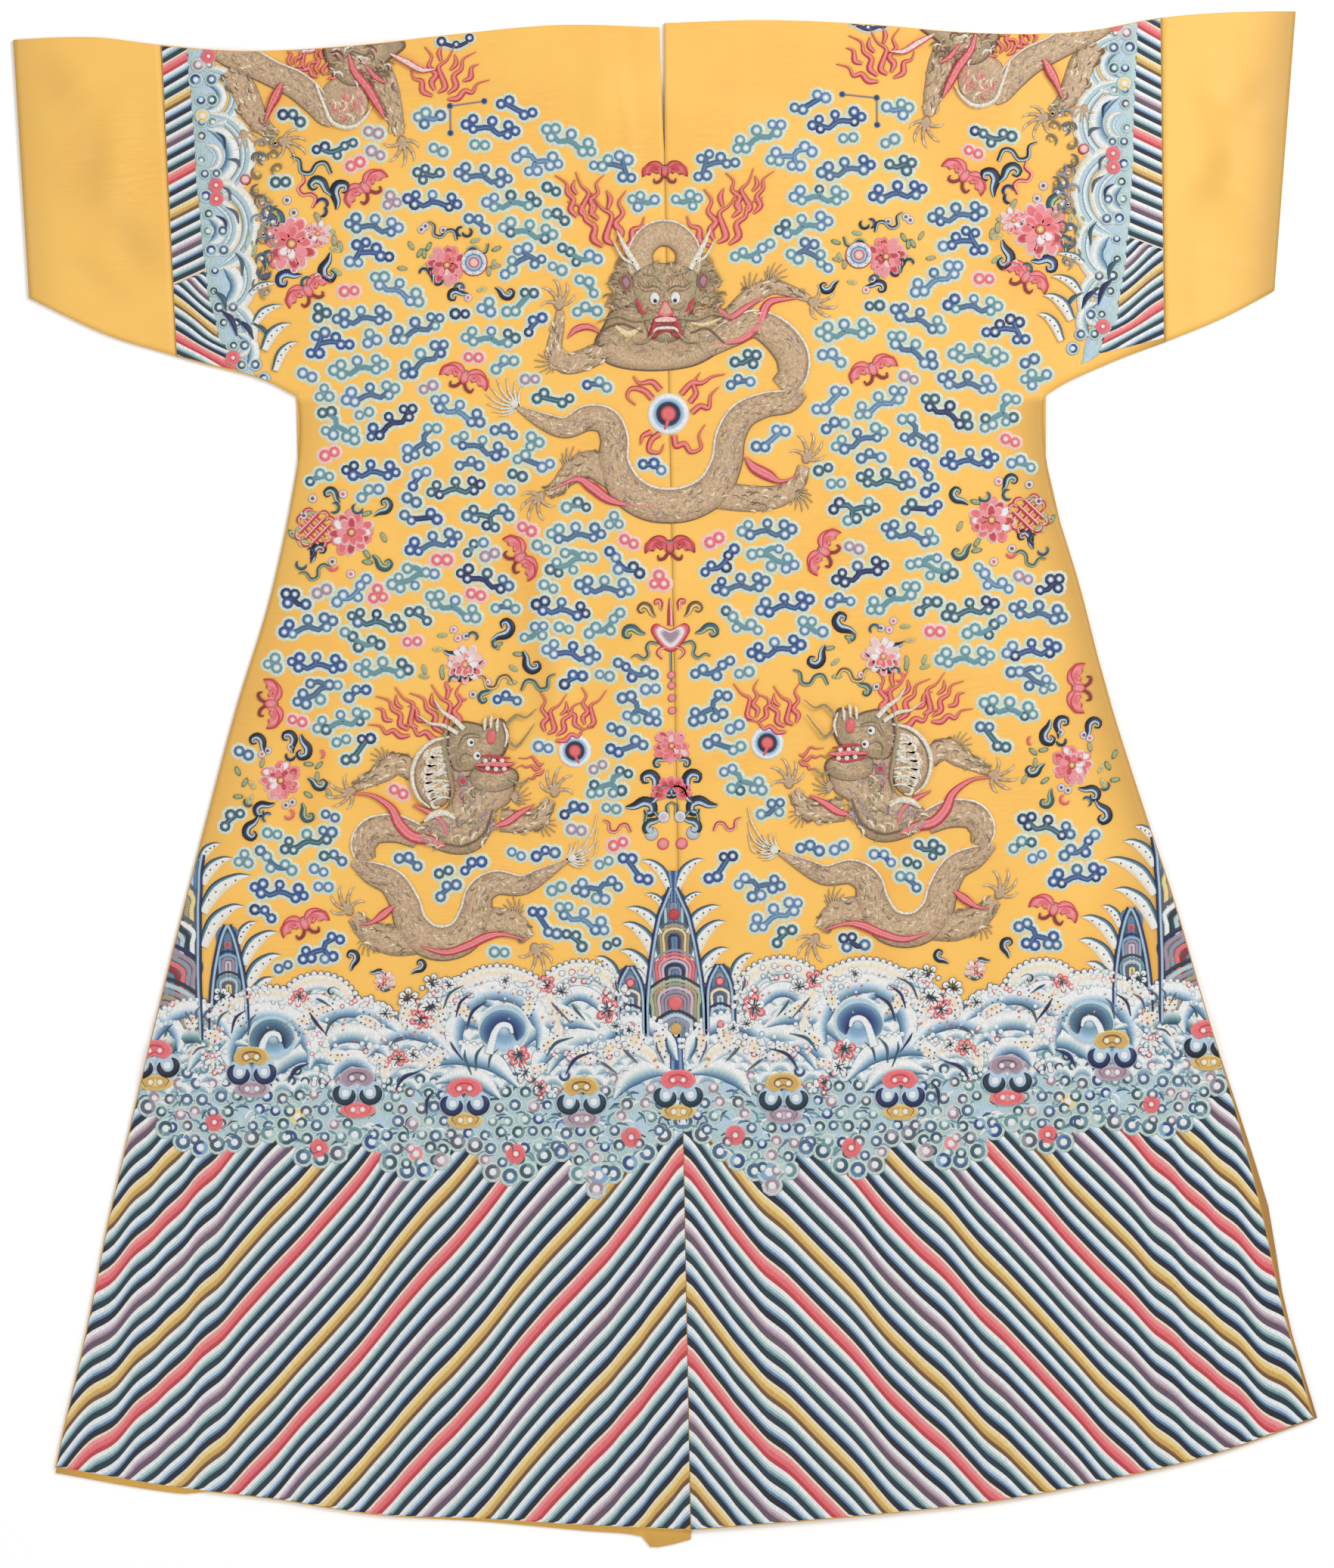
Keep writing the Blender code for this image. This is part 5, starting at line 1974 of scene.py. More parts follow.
FACE = (  # half of a dragon's head seen from the front
    (0, 1218), (13, 1219), (25, 1215), (33, 1206), (33, 1194), (28, 1180), (24, 1168), (21, 1156),
    (16, 1146), (8, 1140),
)
TUFT = ((1, "cream", SINK), (0.7, "cream", 2.0), (0.3, "white", 2.3))
DARK_BROW = ((1, "umber", 1.4), (0.3, "dark_olive", 2.2), (-0.3, "pale_tan", 2.2), (-1, "umber", 1.4))


def front_head(work, x, y):
    """A dragon's head from the front, in the garment's own heights."""
    with work.at(x, y):
        for _ in work.mirrored():
            for root_x, root_y, turn, reach in (
                (28, 1168, -16, 28),
                (30, 1180, 4, 26),
                (30, 1194, 26, 26),
                (28, 1206, 48, 24),
            ):
                hair_fan(work, root_x, root_y, turn, reach, 12, 52, HAIR_BANDS)
        mane = ((1, "umber", SINK), (0.95, "dark_olive", 1.2), (0.8, "olive", 1.5), (0.5, "tan", 1.6))
        round_patch(work, circle(1, 30) * np.array([45, 25]), (0, 1190), mane)
        arch = [(-21, 1208, 12), (-23, 1229, 12.5), (-13, 1243, 13), (0, 1247, 13), (13, 1243, 13)]
        ribbon(work, [*arch, (23, 1229, 12.5), (21, 1208, 12)], COIL_BANDS, 4)
        right = np.array(FACE, float)
        rim = np.concatenate([right, (right * np.array([-1, 1]))[::-1]])
        rings = (
            (1, "umber", SINK), (0.95, "dark_olive", 1.8), (0.86, "olive", 2.3), (0.5, "tan", 2.6),
            (0.3, "tan", 2.8),
        )
        rounded(work, rim, rings, (0, 1188))
        with work.raised(2.5):
            ruffle(work, 0, 1201, 27, 16, 70, 71, 90, FACE_INKS)
            ruffle(work, 0, 1166, 22, 18, 60, 72, 0, FACE_INKS)
        for _ in work.mirrored():
            with work.raised(0.9):
                ruffle(work, 41, 1190, 15, 24, 70, 73, 15)
        with work.raised(2.3):
            for _ in work.mirrored():
                horn = [(24, 1212, 3.4), (33, 1226, 3.2), (39, 1237, 2.6), (45, 1250, 0.6)]
                ribbon(work, horn, CREAM_LINE, 3)
                ribbon(work, [(30, 1218, 1.6), (40, 1224, 1.5), (49, 1240, 0.4)], CREAM_LINE, 3)
                ear = (
                    (1, "dark_olive", SINK), (0.85, "dark_tan", 1.6), (0.6, "dark_red", 1.7),
                    (0.3, "mauve", 1.7),
                )
                rounded(work, [(30, 1199), (37, 1210), (44, 1203), (37, 1189)], ear, (37, 1200))
                brow = [(3, 1190, 1.4), (10, 1194, 2.4), (19, 1193, 2.2), (27, 1200, 0.6)]
                ribbon(work, brow, DARK_BROW, 3)
                ribbon(work, [(2, 1198, 1.2), (9, 1206, 1.8), (20, 1208, 1), (24, 1216, 0.4)], OLIVE_LINE, 3)
                eye = ((1, "umber", 1.2), (0.84, "white", 1.6), (0.6, "white", 1.8))
                round_patch(work, circle(6.2, 14, 0.78), (10, 1184), eye)
                with work.raised(0.4):
                    disc(work, 9.6, 1181.5, 2.3, ((1, "dark_grey", 1.2), (0.7, "ink", 1.6)), 10)
                strokes(
                    work,
                    (line_bands("pale_green"), 3, (6, 1176, 0.6), (11, 1174.5, 1.4), (17, 1178, 0.6)),
                    (OLIVE_LINE, 3, (7, 1174, 0.7), (13, 1173, 1.0), (18, 1176, 0.5)),
                    (RED_LINE, 3, (18, 1170, 0.8), (23, 1172, 2.2), (25, 1179, 2.0), (29, 1183, 0.6)),
                    (OLIVE_LINE, 4, (12, 1165, 1.4), (30, 1163, 1.6), (46, 1168, 1.4), (66, 1162, 0.4)),
                    (OLIVE_LINE, 3, (12, 1150, 1.4), (20, 1142, 1.4), (32, 1141, 0.4)),
                )
            nose = ((1, "dark_red", 1.2), (0.85, "coral", 2.0), (0.55, "pink", 2.4), (0.3, "pale_tan", 2.6))
            tip = [(-8, 1168), (-5, 1175), (-2, 1181), (2, 1181), (5, 1175), (8, 1168), (0, 1165)]
            rounded(work, tip, nose, (0, 1174), 2)
            ribbon(work, [(-6, 1168, 0.8), (0, 1170, 2.0), (6, 1168, 0.8)], line_bands("red"), 3)
            mouth = ((1, "dark_red", 1.0), (0.9, "dark_red", 1.8), (0.75, "red", 1.8), (0.5, "dark_red", 1.5))
            lips = (
                (-17, 1147), (-15, 1158), (-11, 1166), (0, 1168), (11, 1166), (15, 1158), (17, 1147),
                (10, 1145), (6, 1150), (-6, 1150), (-10, 1145),
            )
            rounded(work, lips, mouth, (0, 1157), 2)
            with work.raised(0.9):
                strokes(
                    work,
                    (line_bands("pale_pink"), 3, (-10, 1163, 1.8), (0, 1164, 2.8), (10, 1163, 1.8)),
                    (CREAM_LINE, 3, (-12, 1151, 0.8), (-8, 1155, 1.8), (8, 1155, 1.8), (12, 1151, 0.8)),
                )


def central_dragon():
    """The dragon that faces forward on the upper back, with its body coiled round a pearl."""
    work = Needlework("dragon_centre", GOLD_THREAD)
    limbs = (
        ((54, 1158, 9), (78, 1182, 9.5), (100, 1193, 8), (120, 1188, 6), (136, 1181, 4)),
        (
            (-56, 1138, 10), (-80, 1127, 11), (-100, 1123, 9.5), (-109, 1138, 8), (-105, 1158, 6),
            (-103, 1174, 4),
        ),
        ((-50, 1012, 15), (-76, 1026, 14), (-94, 1020, 11), (-108, 1006, 8), (-120, 1000, 5)),
        ((46, 994, 14), (76, 990, 13), (104, 992, 11), (122, 1004, 8), (128, 1020, 6)),
    )
    for x, y, turn in ((100, 1196, 60), (-108, 1128, 200), (-96, 1022, 80), (118, 996, -50), (84, 1186, 100)):
        hair_fan(work, x, y, turn, 22, 7, 110, HAIR_BANDS)
    draw_limbs(work, limbs, 64)
    for place in ((140, 1178, -15), (-104, 1180, 95), (-126, 996, -120), (131, 1028, 72)):
        claw(work, *place)
    with work.raised(0.5):
        coil = (
            (38, 1136, 10), (62, 1150, 14), (84, 1158, 14), (104, 1148, 16.5), (119, 1128, 17),
            (119, 1108, 15), (108, 1096, 12),
        )
        ribbon(work, coil, COIL_BANDS, 4)
        body = (
            (128, 1092, 7), (114, 1083, 11.5), (92, 1080, 12.5), (70, 1070, 14), (58, 1050, 15),
            (54, 1026, 15.5), (42, 1002, 17), (22, 989, 17.5), (0, 985, 17.5), (-24, 989, 17.5),
            (-44, 1004, 17), (-54, 1028, 15), (-53, 1050, 14), (-60, 1067, 13.5), (-78, 1071, 13),
            (-100, 1062, 10.5), (-122, 1069, 8), (-148, 1083, 1.5),
        )
        ribbon(work, body, BODY_BANDS, 4)
        coat(work, body, 420, 65)
        coat(work, coil, 110, 66)
        with work.raised(-0.3):
            hair_fan(work, -144, 1082, 142, 36, 9, 120)
            with work.raised(0.8):
                disc(work, -149, 1086, 5.5, TUFT, 12)
    collar = (
        (-52, 1176), (-63, 1158), (-71, 1143), (-64, 1126), (-44, 1117), (-10, 1114), (24, 1118),
        (48, 1130), (60, 1142), (52, 1158), (30, 1168), (0, 1172), (-28, 1176),
    )
    rings = (
        (1, "umber", SINK), (0.97, "umber", 1.6), (0.93, "dark_tan", 1.8), (0.7, "pale_tan", 2.2),
        (0.5, "tan", 2.3),
    )
    rounded(work, collar, rings, (-8, 1145), 4)
    with work.raised(1.7):
        for x, y, wide, seed in ((-40, 1148, 24, 61), (34, 1150, 18, 62), (0, 1136, 30, 63)):
            ruffle(work, x, y, wide, 11, 34, seed, 0, FACE_INKS)
        strokes(
            work,
            (UMBER_LINE, 4, (-70, 1142, 0.8), (-62, 1154, 1.2), (-44, 1160, 1.2), (-24, 1152, 0.9)),
            (UMBER_LINE, 4, (54, 1140, 0.9), (38, 1154, 1.1), (22, 1150, 0.9)),
            (YELLOW_LINE, 3, (-50, 1158, 2.0), (-38, 1150, 4.2), (-26, 1156, 1.6)),
            (YELLOW_LINE, 3, (22, 1160, 1.4), (36, 1158, 2.6), (52, 1164, 0.8)),
        )
    with work.raised(1.0):
        front_head(work, -2, 0)
    return work.finish()


def central_flames():
    """Flames round the dragon on the upper back, and its pearl."""
    work = Needlework("flames_centre", FLOSS)
    with work.raised(0.8):
        for side in (LEFT, RIGHT):
            fire(work, side * 52, 1234, side * -8, 1.1, side == LEFT, (0, 1, 2, 4, 5, 6))
            fire(work, side * 78, 1262, side * 2, 0.9, side == LEFT, (0, 1, 2, 5))
        for route in (
            ((44, 1140, 1.5), (70, 1143, 4), (88, 1158, 5.5), (98, 1178, 4), (126, 1182, 0.8)),
            ((40, 1176, 1), (52, 1170, 3), (60, 1164, 3.4), (76, 1174, 3), (92, 1184, 0.8)),
            ((-96, 1148, 0.8), (-88, 1156, 3.4), (-76, 1158, 3), (-64, 1152, 0.8)),
            (
                (-112, 1003, 0.8), (-90, 1012, 3), (-76, 1004, 5.5), (-60, 992, 4.5), (-40, 986, 1.6),
                (-16, 984, 0.6),
            ),
            ((72, 1030, 1), (80, 1020, 5), (94, 1012, 5.5), (106, 1006, 2), (124, 1012, 0.6)),
        ):
            streamer(work, route)
        for route in (
            ((-16, 1088), (-24, 1096), (-36, 1098), (-40, 1090), (-32, 1082)),
            ((-8, 1096), (-16, 1104), (-28, 1103), (-34, 1110)),
            ((12, 1092), (22, 1102), (32, 1102), (42, 1108), (54, 1110)),
            ((20, 1084), (26, 1092), (24, 1102), (30, 1112)),
            ((22, 1074), (30, 1080), (38, 1078), (40, 1090), (48, 1098)),
            ((-10, 1054), (-18, 1048), (-20, 1038), (-10, 1036), (-6, 1044)),
            ((4, 1052), (6, 1042), (14, 1044), (20, 1036), (30, 1040), (28, 1052), (34, 1062)),
            ((-18, 1056), (-26, 1052), (-28, 1044)),
        ):
            ribbon(work, tapered(route, (0, 0.3, 1), (3.2, 3.0, 0.5)), FLAME_BANDS, 2.5)
    pearl(work, -1, 1073)
    return work.finish()


HEAD_PATCH = (
    (1, "umber", SINK), (0.93, "umber", 2.2), (0.85, "dark_tan", 2.5), (0.6, "olive", 2.8),
    (0.3, "pale_tan", 3.0),
)


def profile_head(work):
    """The neck, mane and head of a dragon seen from the side."""
    with work.raised(0.6):
        neck = (
            (206, 752), (208, 722), (212, 704), (232, 694), (242, 680), (226, 664), (202, 657), (182, 662),
            (170, 678), (164, 698), (152, 706), (146, 722), (150, 736), (166, 742), (186, 746),
        )
        rings = ((1, "umber", SINK), (0.95, "dark_tan", 1.8), (0.75, "tan", 2.2), (0.4, "pale_tan", 2.4))
        rounded(work, neck, rings, (190, 702), 4)
        mane = (
            (204, 772), (220, 769), (235, 758), (243, 742), (243, 724), (236, 710), (226, 702), (213, 706),
            (206, 724), (203, 748),
        )
        rings = ((1, "umber", SINK), (0.95, "dark_tan", 1.9), (0.75, "tan", 2.2), (0.3, "pale_tan", 2.3))
        rounded(work, mane, rings, (222, 738), 4)
        head = (
            (156, 752), (151, 764), (151, 776), (156, 787), (164, 787), (170, 780), (182, 784), (197, 786),
            (208, 779), (212, 764), (210, 746), (204, 736), (190, 736), (176, 742), (166, 747),
        )
        with work.raised(0.5):
            rounded(work, head, HEAD_PATCH, (184, 762))
            jaw = (
                (145, 738), (156, 741), (172, 738), (190, 738), (188, 722), (168, 716), (150, 720),
                (142, 729),
            )
            rounded(work, jaw, HEAD_PATCH, (166, 729))
    with work.raised(3.3):
        ruffle(work, 188, 758, 20, 13, 70, 81, 0, FACE_INKS)
        ruffle(work, 165, 728, 17, 8, 34, 82, 0, FACE_INKS)
    with work.raised(2.3):
        ruffle(work, 186, 692, 24, 30, 130, 83, -60, COAT_INKS)
        ruffle(work, 222, 678, 16, 14, 40, 85, 20, COAT_INKS)
        ruffle(work, 196, 722, 12, 14, 26, 89, -60, ("mauve", "dark_mauve", "olive", "coral"))
        ruffle(work, 222, 736, 13, 24, 90, 84, -30, PALE_INKS, 1.0)
        for row in range(7):
            low, wide = 760 - 8 * row, 14 + 11 * math.sin(math.pi * (row + 1) / 8)
            curl = [
                (208, low, 0.6), (208 + 0.5 * wide, low + 1, 1.8), (208 + wide, low - 3, 2.2),
                (206 + wide, low - 9, 1.8), (200 + wide, low - 8, 0.6),
            ]
            ribbon(work, curl, CREAM_LINE, 3)
    with work.raised(3.6):
        cheek = [(209, 784, 0.8), (213, 764, 2.2), (209, 740, 2.0), (206, 720, 1.6), (209, 704, 0.5)]
        ribbon(work, cheek, OLIVE_LINE, 3)
        streamer(work, [(146, 744, 1), (156, 743, 3), (168, 744, 3.2), (184, 743, 1)])
        strokes(
            work,
            (RED_LINE, 2, (150, 749, 0.8), (160, 750, 1.6), (174, 752, 1.4), (184, 748, 0.5)),
            (RED_LINE, 2, (150, 739, 0.8), (162, 736, 1.6), (176, 738, 1.4), (184, 742, 0.5)),
        )
        for x, y in ((158, 747), (166, 747), (174, 747), (156, 739), (164, 739), (172, 740)):
            disc(work, x, y, 2.8, ((1, "umber", 1.0), (0.75, "white", 1.6)), 6)
        eye = ((1, "umber", 1.2), (0.84, "white", 1.5), (0.6, "white", 1.7))
        for ex, ey in ((188, 765), (182, 752)):
            round_patch(work, circle(4.6, 12, 0.85), (ex, ey), eye)
        snout = ((1, "dark_red", SINK), (0.85, "coral", 1.4), (0.3, "coral", 1.6))
        round_patch(work, circle(8.5, 16, 0.62), (168, 770), snout)
        for ex, ey in ((162, 782), (168, 785), (174, 783)):
            ribbon(work, [(ex, ey - 7, 1.0), (ex, ey, 2.0), (ex - 1, ey + 6, 0.8)], CREAM_LINE, 3)
        with work.raised(0.4):
            for ex, ey in ((187, 765), (181, 752)):
                disc(work, ex, ey, 1.8, ((1, "dark_grey", 1.2), (0.7, "ink", 1.6)), 8)
            strokes(
                work,
                (CREAM_LINE, 3, (155, 760, 0.8), (152.5, 771, 1.8), (156, 783, 1.0)),
                (CREAM_LINE, 3, (194, 778, 3.0), (204, 788, 2.6), (214, 795, 1.8), (222, 806, 0.5)),
                (DARK_BROW, 3, (178, 770, 0.8), (186, 772, 2.0), (194, 770, 2.2), (199, 760, 0.8)),
                (OLIVE_LINE, 3, (186, 752, 0.6), (194, 756, 1.8), (200, 750, 1.8), (198, 742, 0.6)),
            )
        for tail in (
            ((154, 780), (144, 790), (134, 788), (124, 796)),
            ((154, 768), (144, 760), (136, 768), (126, 782)),
            ((152, 730), (140, 724), (132, 730)),
        ):
            widths = (1.6, 1.4, 1.0, 0.4)
            ribbon(work, [(x, y, w) for (x, y), w in zip(tail, widths)], OLIVE_LINE, 3)
        ribbon(work, [(200, 774, 2.6), (214, 782, 2.2), (226, 784, 1.4), (238, 792, 0.4)], CREAM_LINE, 3)
        edge = [
            (208, 771, 1.2), (226, 766, 2.2), (240, 752, 2.4), (245, 732, 2.4), (239, 713, 1.8),
            (228, 703, 0.8),
        ]
        ribbon(work, edge, CREAM_LINE, 4)
        strokes(
            work,
            (CREAM_LINE, 3, (204, 692, 1.5), (214, 698, 3.4), (226, 696, 3.8), (234, 690, 1.4)),
            (UMBER_LINE, 4, (168, 700, 0.8), (176, 678, 1.1), (196, 666, 1.0), (214, 668, 0.8)),
        )
        disc(work, 196, 728, 5, ((1, "umber", 1.0), (0.8, "mauve", 1.2), (0.5, "red", 1.4)), 10)


def profile_dragon(side, name, shift):
    """A dragon seen from the side that reaches for its pearl. It is drawn for the right half."""
    work = Needlework(name, GOLD_THREAD)
    with work.half(side, shift):
        limbs = (
            ((240, 735, 9), (258, 746, 11), (272, 738, 10), (288, 730, 7), (300, 724, 5)),
            ((160, 690, 12), (138, 688, 11), (122, 694, 9), (112, 708, 6)),
            ((200, 588, 18), (170, 592, 15), (148, 588, 12), (136, 576, 7)),
            ((240, 578, 16), (266, 576, 15), (288, 584, 12), (304, 600, 7)),
        )
        for x, y, turn in ((270, 744, 60), (120, 692, 250), (150, 596, 90), (286, 580, -60), (150, 712, 170)):
            hair_fan(work, x, y, turn, 20, 7, 110, HAIR_BANDS)
        draw_limbs(work, limbs, 86)
        for place in ((304, 720, -12), (108, 716, 100), (130, 566, -112), (308, 606, 66)):
            claw(work, *place)
        with work.raised(0.5):
            coil = [(240, 676, 12), (262, 684, 14), (284, 682, 14), (293, 668, 13), (290, 654, 9)]
            ribbon(work, coil, COIL_BANDS, 4)
            body = (
                (304, 652, 3), (286, 642, 11), (266, 632, 13.5), (254, 612, 15), (248, 592, 16),
                (234, 577, 17), (216, 573, 17.5), (198, 580, 17.5), (187, 600, 16), (182, 620, 14),
                (166, 630, 12.5), (142, 627, 10), (122, 636, 7.5), (96, 650, 1.5),
            )
            ribbon(work, body, BODY_BANDS, 4)
            coat(work, body, 340, 87)
            coat(work, coil, 90, 88)
            hair_fan(work, 98, 650, 155, 26, 8, 100)
            with work.raised(1.0):
                disc(work, 92.5, 652, 5.5, TUFT, 12)
            for bend in (-16, -4, 10):
                strand = [
                    (98, 651, 1.0), (84, 656 + bend / 3, 0.9), (72, 668 + bend, 0.8), (68, 684 + bend, 0.3)
                ]
                ribbon(work, strand, CREAM_LINE, 4)
        profile_head(work)
    return work.finish()


def shoulder_dragon(side, name, shift):
    """The front part of a dragon that comes over the shoulder. It is drawn for the right half."""
    work = Needlework(name, GOLD_THREAD)
    with work.half(side, shift):
        limbs = (
            ((416, 1412, 10), (404, 1394, 13), (396, 1374, 13), (385, 1357, 9), (372, 1347, 5)),
            ((276, 1416, 12), (268, 1396, 13), (262, 1376, 11), (257, 1358, 8), (254, 1346, 5)),
        )
        draw_limbs(work, limbs, 92)
        for place in ((366, 1342, -155), (252, 1340, -95), (404, 1350, -100, 0.8)):
            claw(work, *place)
        with work.raised(0.5):
            body = (
                (438, 1440, 8), (420, 1430, 13), (398, 1420, 14), (374, 1407, 13), (352, 1396, 14),
                (335, 1380, 13), (326, 1364, 8), (320, 1356, 2),
            )
            ribbon(work, body, BODY_BANDS, 4)
            coat(work, body, 120, 93)
            belly = (
                (326, 1394), (324, 1372), (315, 1359), (300, 1355), (288, 1363), (283, 1380), (288, 1398),
                (308, 1404),
            )
            rings = ((1, "umber", SINK), (0.94, "pale_tan", 1.8), (0.5, "tan", 2.1))
            rounded(work, belly, rings, (304, 1378))
        with work.raised(2.2):
            ruffle(work, 304, 1376, 16, 14, 46, 94, 80, ("pink", "pale_tan", "coral", "cream", "tan"))
            edge = [
                (334, 1398, 1.2), (326, 1376, 2), (318, 1359, 2.4), (300, 1354, 2.4), (287, 1363, 1.8),
                (280, 1374, 0.6),
            ]
            ribbon(work, edge, CREAM_LINE, 3)
        with work.raised(0.8):
            head = (
                (326, 1434), (322, 1412), (310, 1396), (294, 1392), (278, 1402), (262, 1418), (246, 1432),
                (262, 1448), (304, 1448),
            )
            rounded(work, head, HEAD_PATCH, (290, 1420))
        with work.raised(3.0):
            ruffle(work, 290, 1416, 30, 22, 90, 91, 30, (*RUFFLE_INKS, "dark_red", "white"))
            ribbon(work, [(306, 1420, 1), (298, 1428, 2.2), (286, 1424, 1.6), (280, 1430, 0.6)], DARK_BROW, 3)
            for route in (
                ((302, 1426, 1), (296, 1408, 4), (284, 1392, 4.8), (275, 1376, 4), (268, 1362, 0.8)),
                ((286, 1414, 1), (276, 1402, 3), (266, 1396, 0.8)),
                ((366, 1398, 2), (372, 1386, 5), (378, 1374, 3.4), (383, 1360, 0.8)),
            ):
                streamer(work, route)
            whisker = [(262, 1424, 1), (246, 1416, 3.6), (232, 1408, 3), (219, 1408, 0.8)]
            streamer(work, whisker, ("coral", "white", "pale_pink"))
    return work.finish()


def shoulder_flames(side, name, shift):
    """Flames, a small cloud and the pearl beside a shoulder dragon."""
    work = Needlework(name, FLOSS)
    with work.half(side, shift):
        with work.raised(1.2):
            fire(work, 326, 1404, 14, 0.62, False, range(6))
            fire(work, 352, 1412, 40, 0.6, True, (0, 1, 2, 4))
        with work.raised(0.4):
            fire(work, 214, 1384, 6, 0.95, True)
            for x, y, radius in ((185, 1438, 7), (198, 1432, 6), (212, 1435, 8)):
                disc(work, x, y, radius, HEAD_RINGS["navy"], 11)
            ribbon(work, [(187, 1434, 4), (198, 1430, 5), (210, 1433, 4)], STEM_BANDS["navy"], 4)
            pearl(work, 342, 1441, 0.78)
    return work.finish()


def profile_flames(side, name, shift):
    """Flames and the pearl of a dragon seen from the side."""
    work = Needlework(name, FLOSS)
    with work.half(side, shift):
        with work.raised(1.6):
            for route in (
                (
                    (214, 666, 2), (228, 672, 5), (246, 676, 6), (258, 688, 6), (266, 704, 4),
                    (284, 716, 2), (302, 718, 0.6),
                ),
                ((212, 676, 1), (216, 688, 3), (228, 698, 3), (244, 706, 0.8)),
                ((128, 704, 0.8), (142, 696, 3.4), (154, 688, 4), (166, 684, 1.2)),
                (
                    (138, 574, 0.8), (160, 580, 2.2), (176, 578, 4.4), (194, 570, 4.4), (216, 564, 3.4),
                    (240, 570, 0.8),
                ),
                ((264, 610, 1.5), (274, 602, 4.5), (286, 594, 2), (298, 592, 0.6)),
            ):
                streamer(work, route)
        with work.raised(0.4):
            for place in (
                (206, 774, -10, 1.0, False, (0, 1, 2, 3, 5, 6, 7)),
                (240, 778, -14, 0.9, False, (0, 2, 3, 5, 7)),
                (112, 770, 12, 0.85, True, (0, 1, 2, 3, 5)),
                (118, 742, -62, 0.5, False, (0, 2, 3)),
                (74, 776, 14, 0.8, True, (0, 1, 4)),
            ):
                fire(work, *place)
        pearl(work, 88, 755, 0.8)
    return work.finish()


# ---------------------------------------------------------------- flowers and treasures
CURL_BANDS = {
    name: (
        (1.0, dark, SINK), (0.85, dark, 1.2), (0.05, dark, 1.4), (-0.08, mid, 1.4), (-0.30, pale, 1.4),
        (-0.66, pale, 1.3), (-0.78, dark, 1.2), (-1.0, dark, SINK),
    )
    for name, dark, mid, pale in (
        ("navy", "ink", "royal", "pale_blue"),
        ("blue", "navy", "blue", "pale_blue"),
        ("teal", "dark_teal", "teal", "pale_teal"),
        ("green", "deep_teal", "green", "pale_green"),
        ("gold", "brown", "gold", "pale_gold"),
        ("coral", "red", "coral", "pale_pink"),
    )
}


def petal_flower(work, x, y, size=1.0, inks=("red", "coral", "pink", "white"), petals=8):
    """A full flower: two uneven rounds of narrow petals and a boss."""
    deep, mid, pale, edge = inks
    chance = np.random.default_rng(int(abs(7 * x) + abs(y)) + petals)
    with work.at(x, y, 0, size):
        for layer, (reach, wide, number) in enumerate(((13.5, 4.6, petals + 4), (7.5, 4.2, petals))):
            with work.raised(0.4 * layer):
                for step in range(number):
                    tone = pick((mid, deep, mid, pale, edge), chance)
                    rim = edge if chance.random() < 0.5 else pale
                    rings = (
                        (1, rim, SINK), (0.9, rim, 1.2), (0.72, pale, 1.4), (0.5, tone, 1.4),
                        (0.25, tone, 1.3),
                    )
                    with work.at(0, 0, step * 360 / number + chance.uniform(-8, 8)):
                        with work.at(reach * chance.uniform(0.84, 1.12), 0, chance.uniform(-25, 25)):
                            patch(work, circle(wide, 10, 1.5), rings)
        with work.raised(1.0):
            boss = ((1, deep, 1.2), (0.8, deep, 1.5), (0.5, "gold", 1.8), (0.3, "pale_gold", 1.9))
            disc(work, 0, 0, 3.8, boss)


def scroll(work, x, y, turn=0, size=1.0, flip=False, ink="navy"):
    """A curling leaf."""
    with work.at(x, y, turn, size, flip):
        route = [
            (0, 0, 1.0), (6, 3, 3.2), (12, 9, 4.2), (19, 9, 4.0), (22, 3, 3.0), (18, 0, 2.0), (15, 3, 1.0)
        ]
        ribbon(work, route, CURL_BANDS[ink], 2.5)


def ribbon_tail(work, x, y, turn=0, size=1.0, flip=False, ink="teal"):
    """A fluttering band."""
    with work.at(x, y, turn, size, flip):
        route = [(0, 0, 1.6), (6, 8, 2), (13, 6, 2), (17, -2, 2), (25, -2, 2), (28, 7, 1.6), (35, 9, 0.8)]
        ribbon(work, route, CURL_BANDS[ink], 2.5)


def wheel(work, x, y, size=1.0):
    """A round treasure with studs."""
    rings = (
        (1, "dark_red", SINK), (0.95, "red", 1.4), (0.86, "white", 1.6), (0.66, "pale_blue", 1.6),
        (0.6, "steel", 1.7), (0.46, "pale_blue", 1.7), (0.36, "red", 1.8), (0.2, "pale_pink", 2.0),
    )
    disc(work, x, y, 14 * size, rings, 20)
    with work.raised(0.6):
        for turn in np.radians(np.arange(8) * 45):
            px, py = x + 10.5 * size * math.cos(turn), y + 10.5 * size * math.sin(turn)
            disc(work, px, py, 1.7 * size, ((1, "steel", 1.6), (0.6, "white", 1.8)), 6)


def knot(work, x, y, size=1.0):
    """An endless knot of coral bands."""
    with work.at(x, y, 45, size):
        for step in (-8, 0, 8):
            ribbon(work, [(-13, step, 2), (0, step, 2), (13, step, 2)], CURL_BANDS["coral"], 5)
            with work.raised(0.4):
                ribbon(work, [(step, -13, 2), (step, 0, 2), (step, 13, 2)], CURL_BANDS["coral"], 5)
        for step in (-8, 8):
            for turn in (0, 90, 180, 270):
                with work.at(0, 0, turn):
                    ribbon(work, arc_route(14, step / 2 + 2, 5, -90, 100, 1.8), CURL_BANDS["coral"], 3)


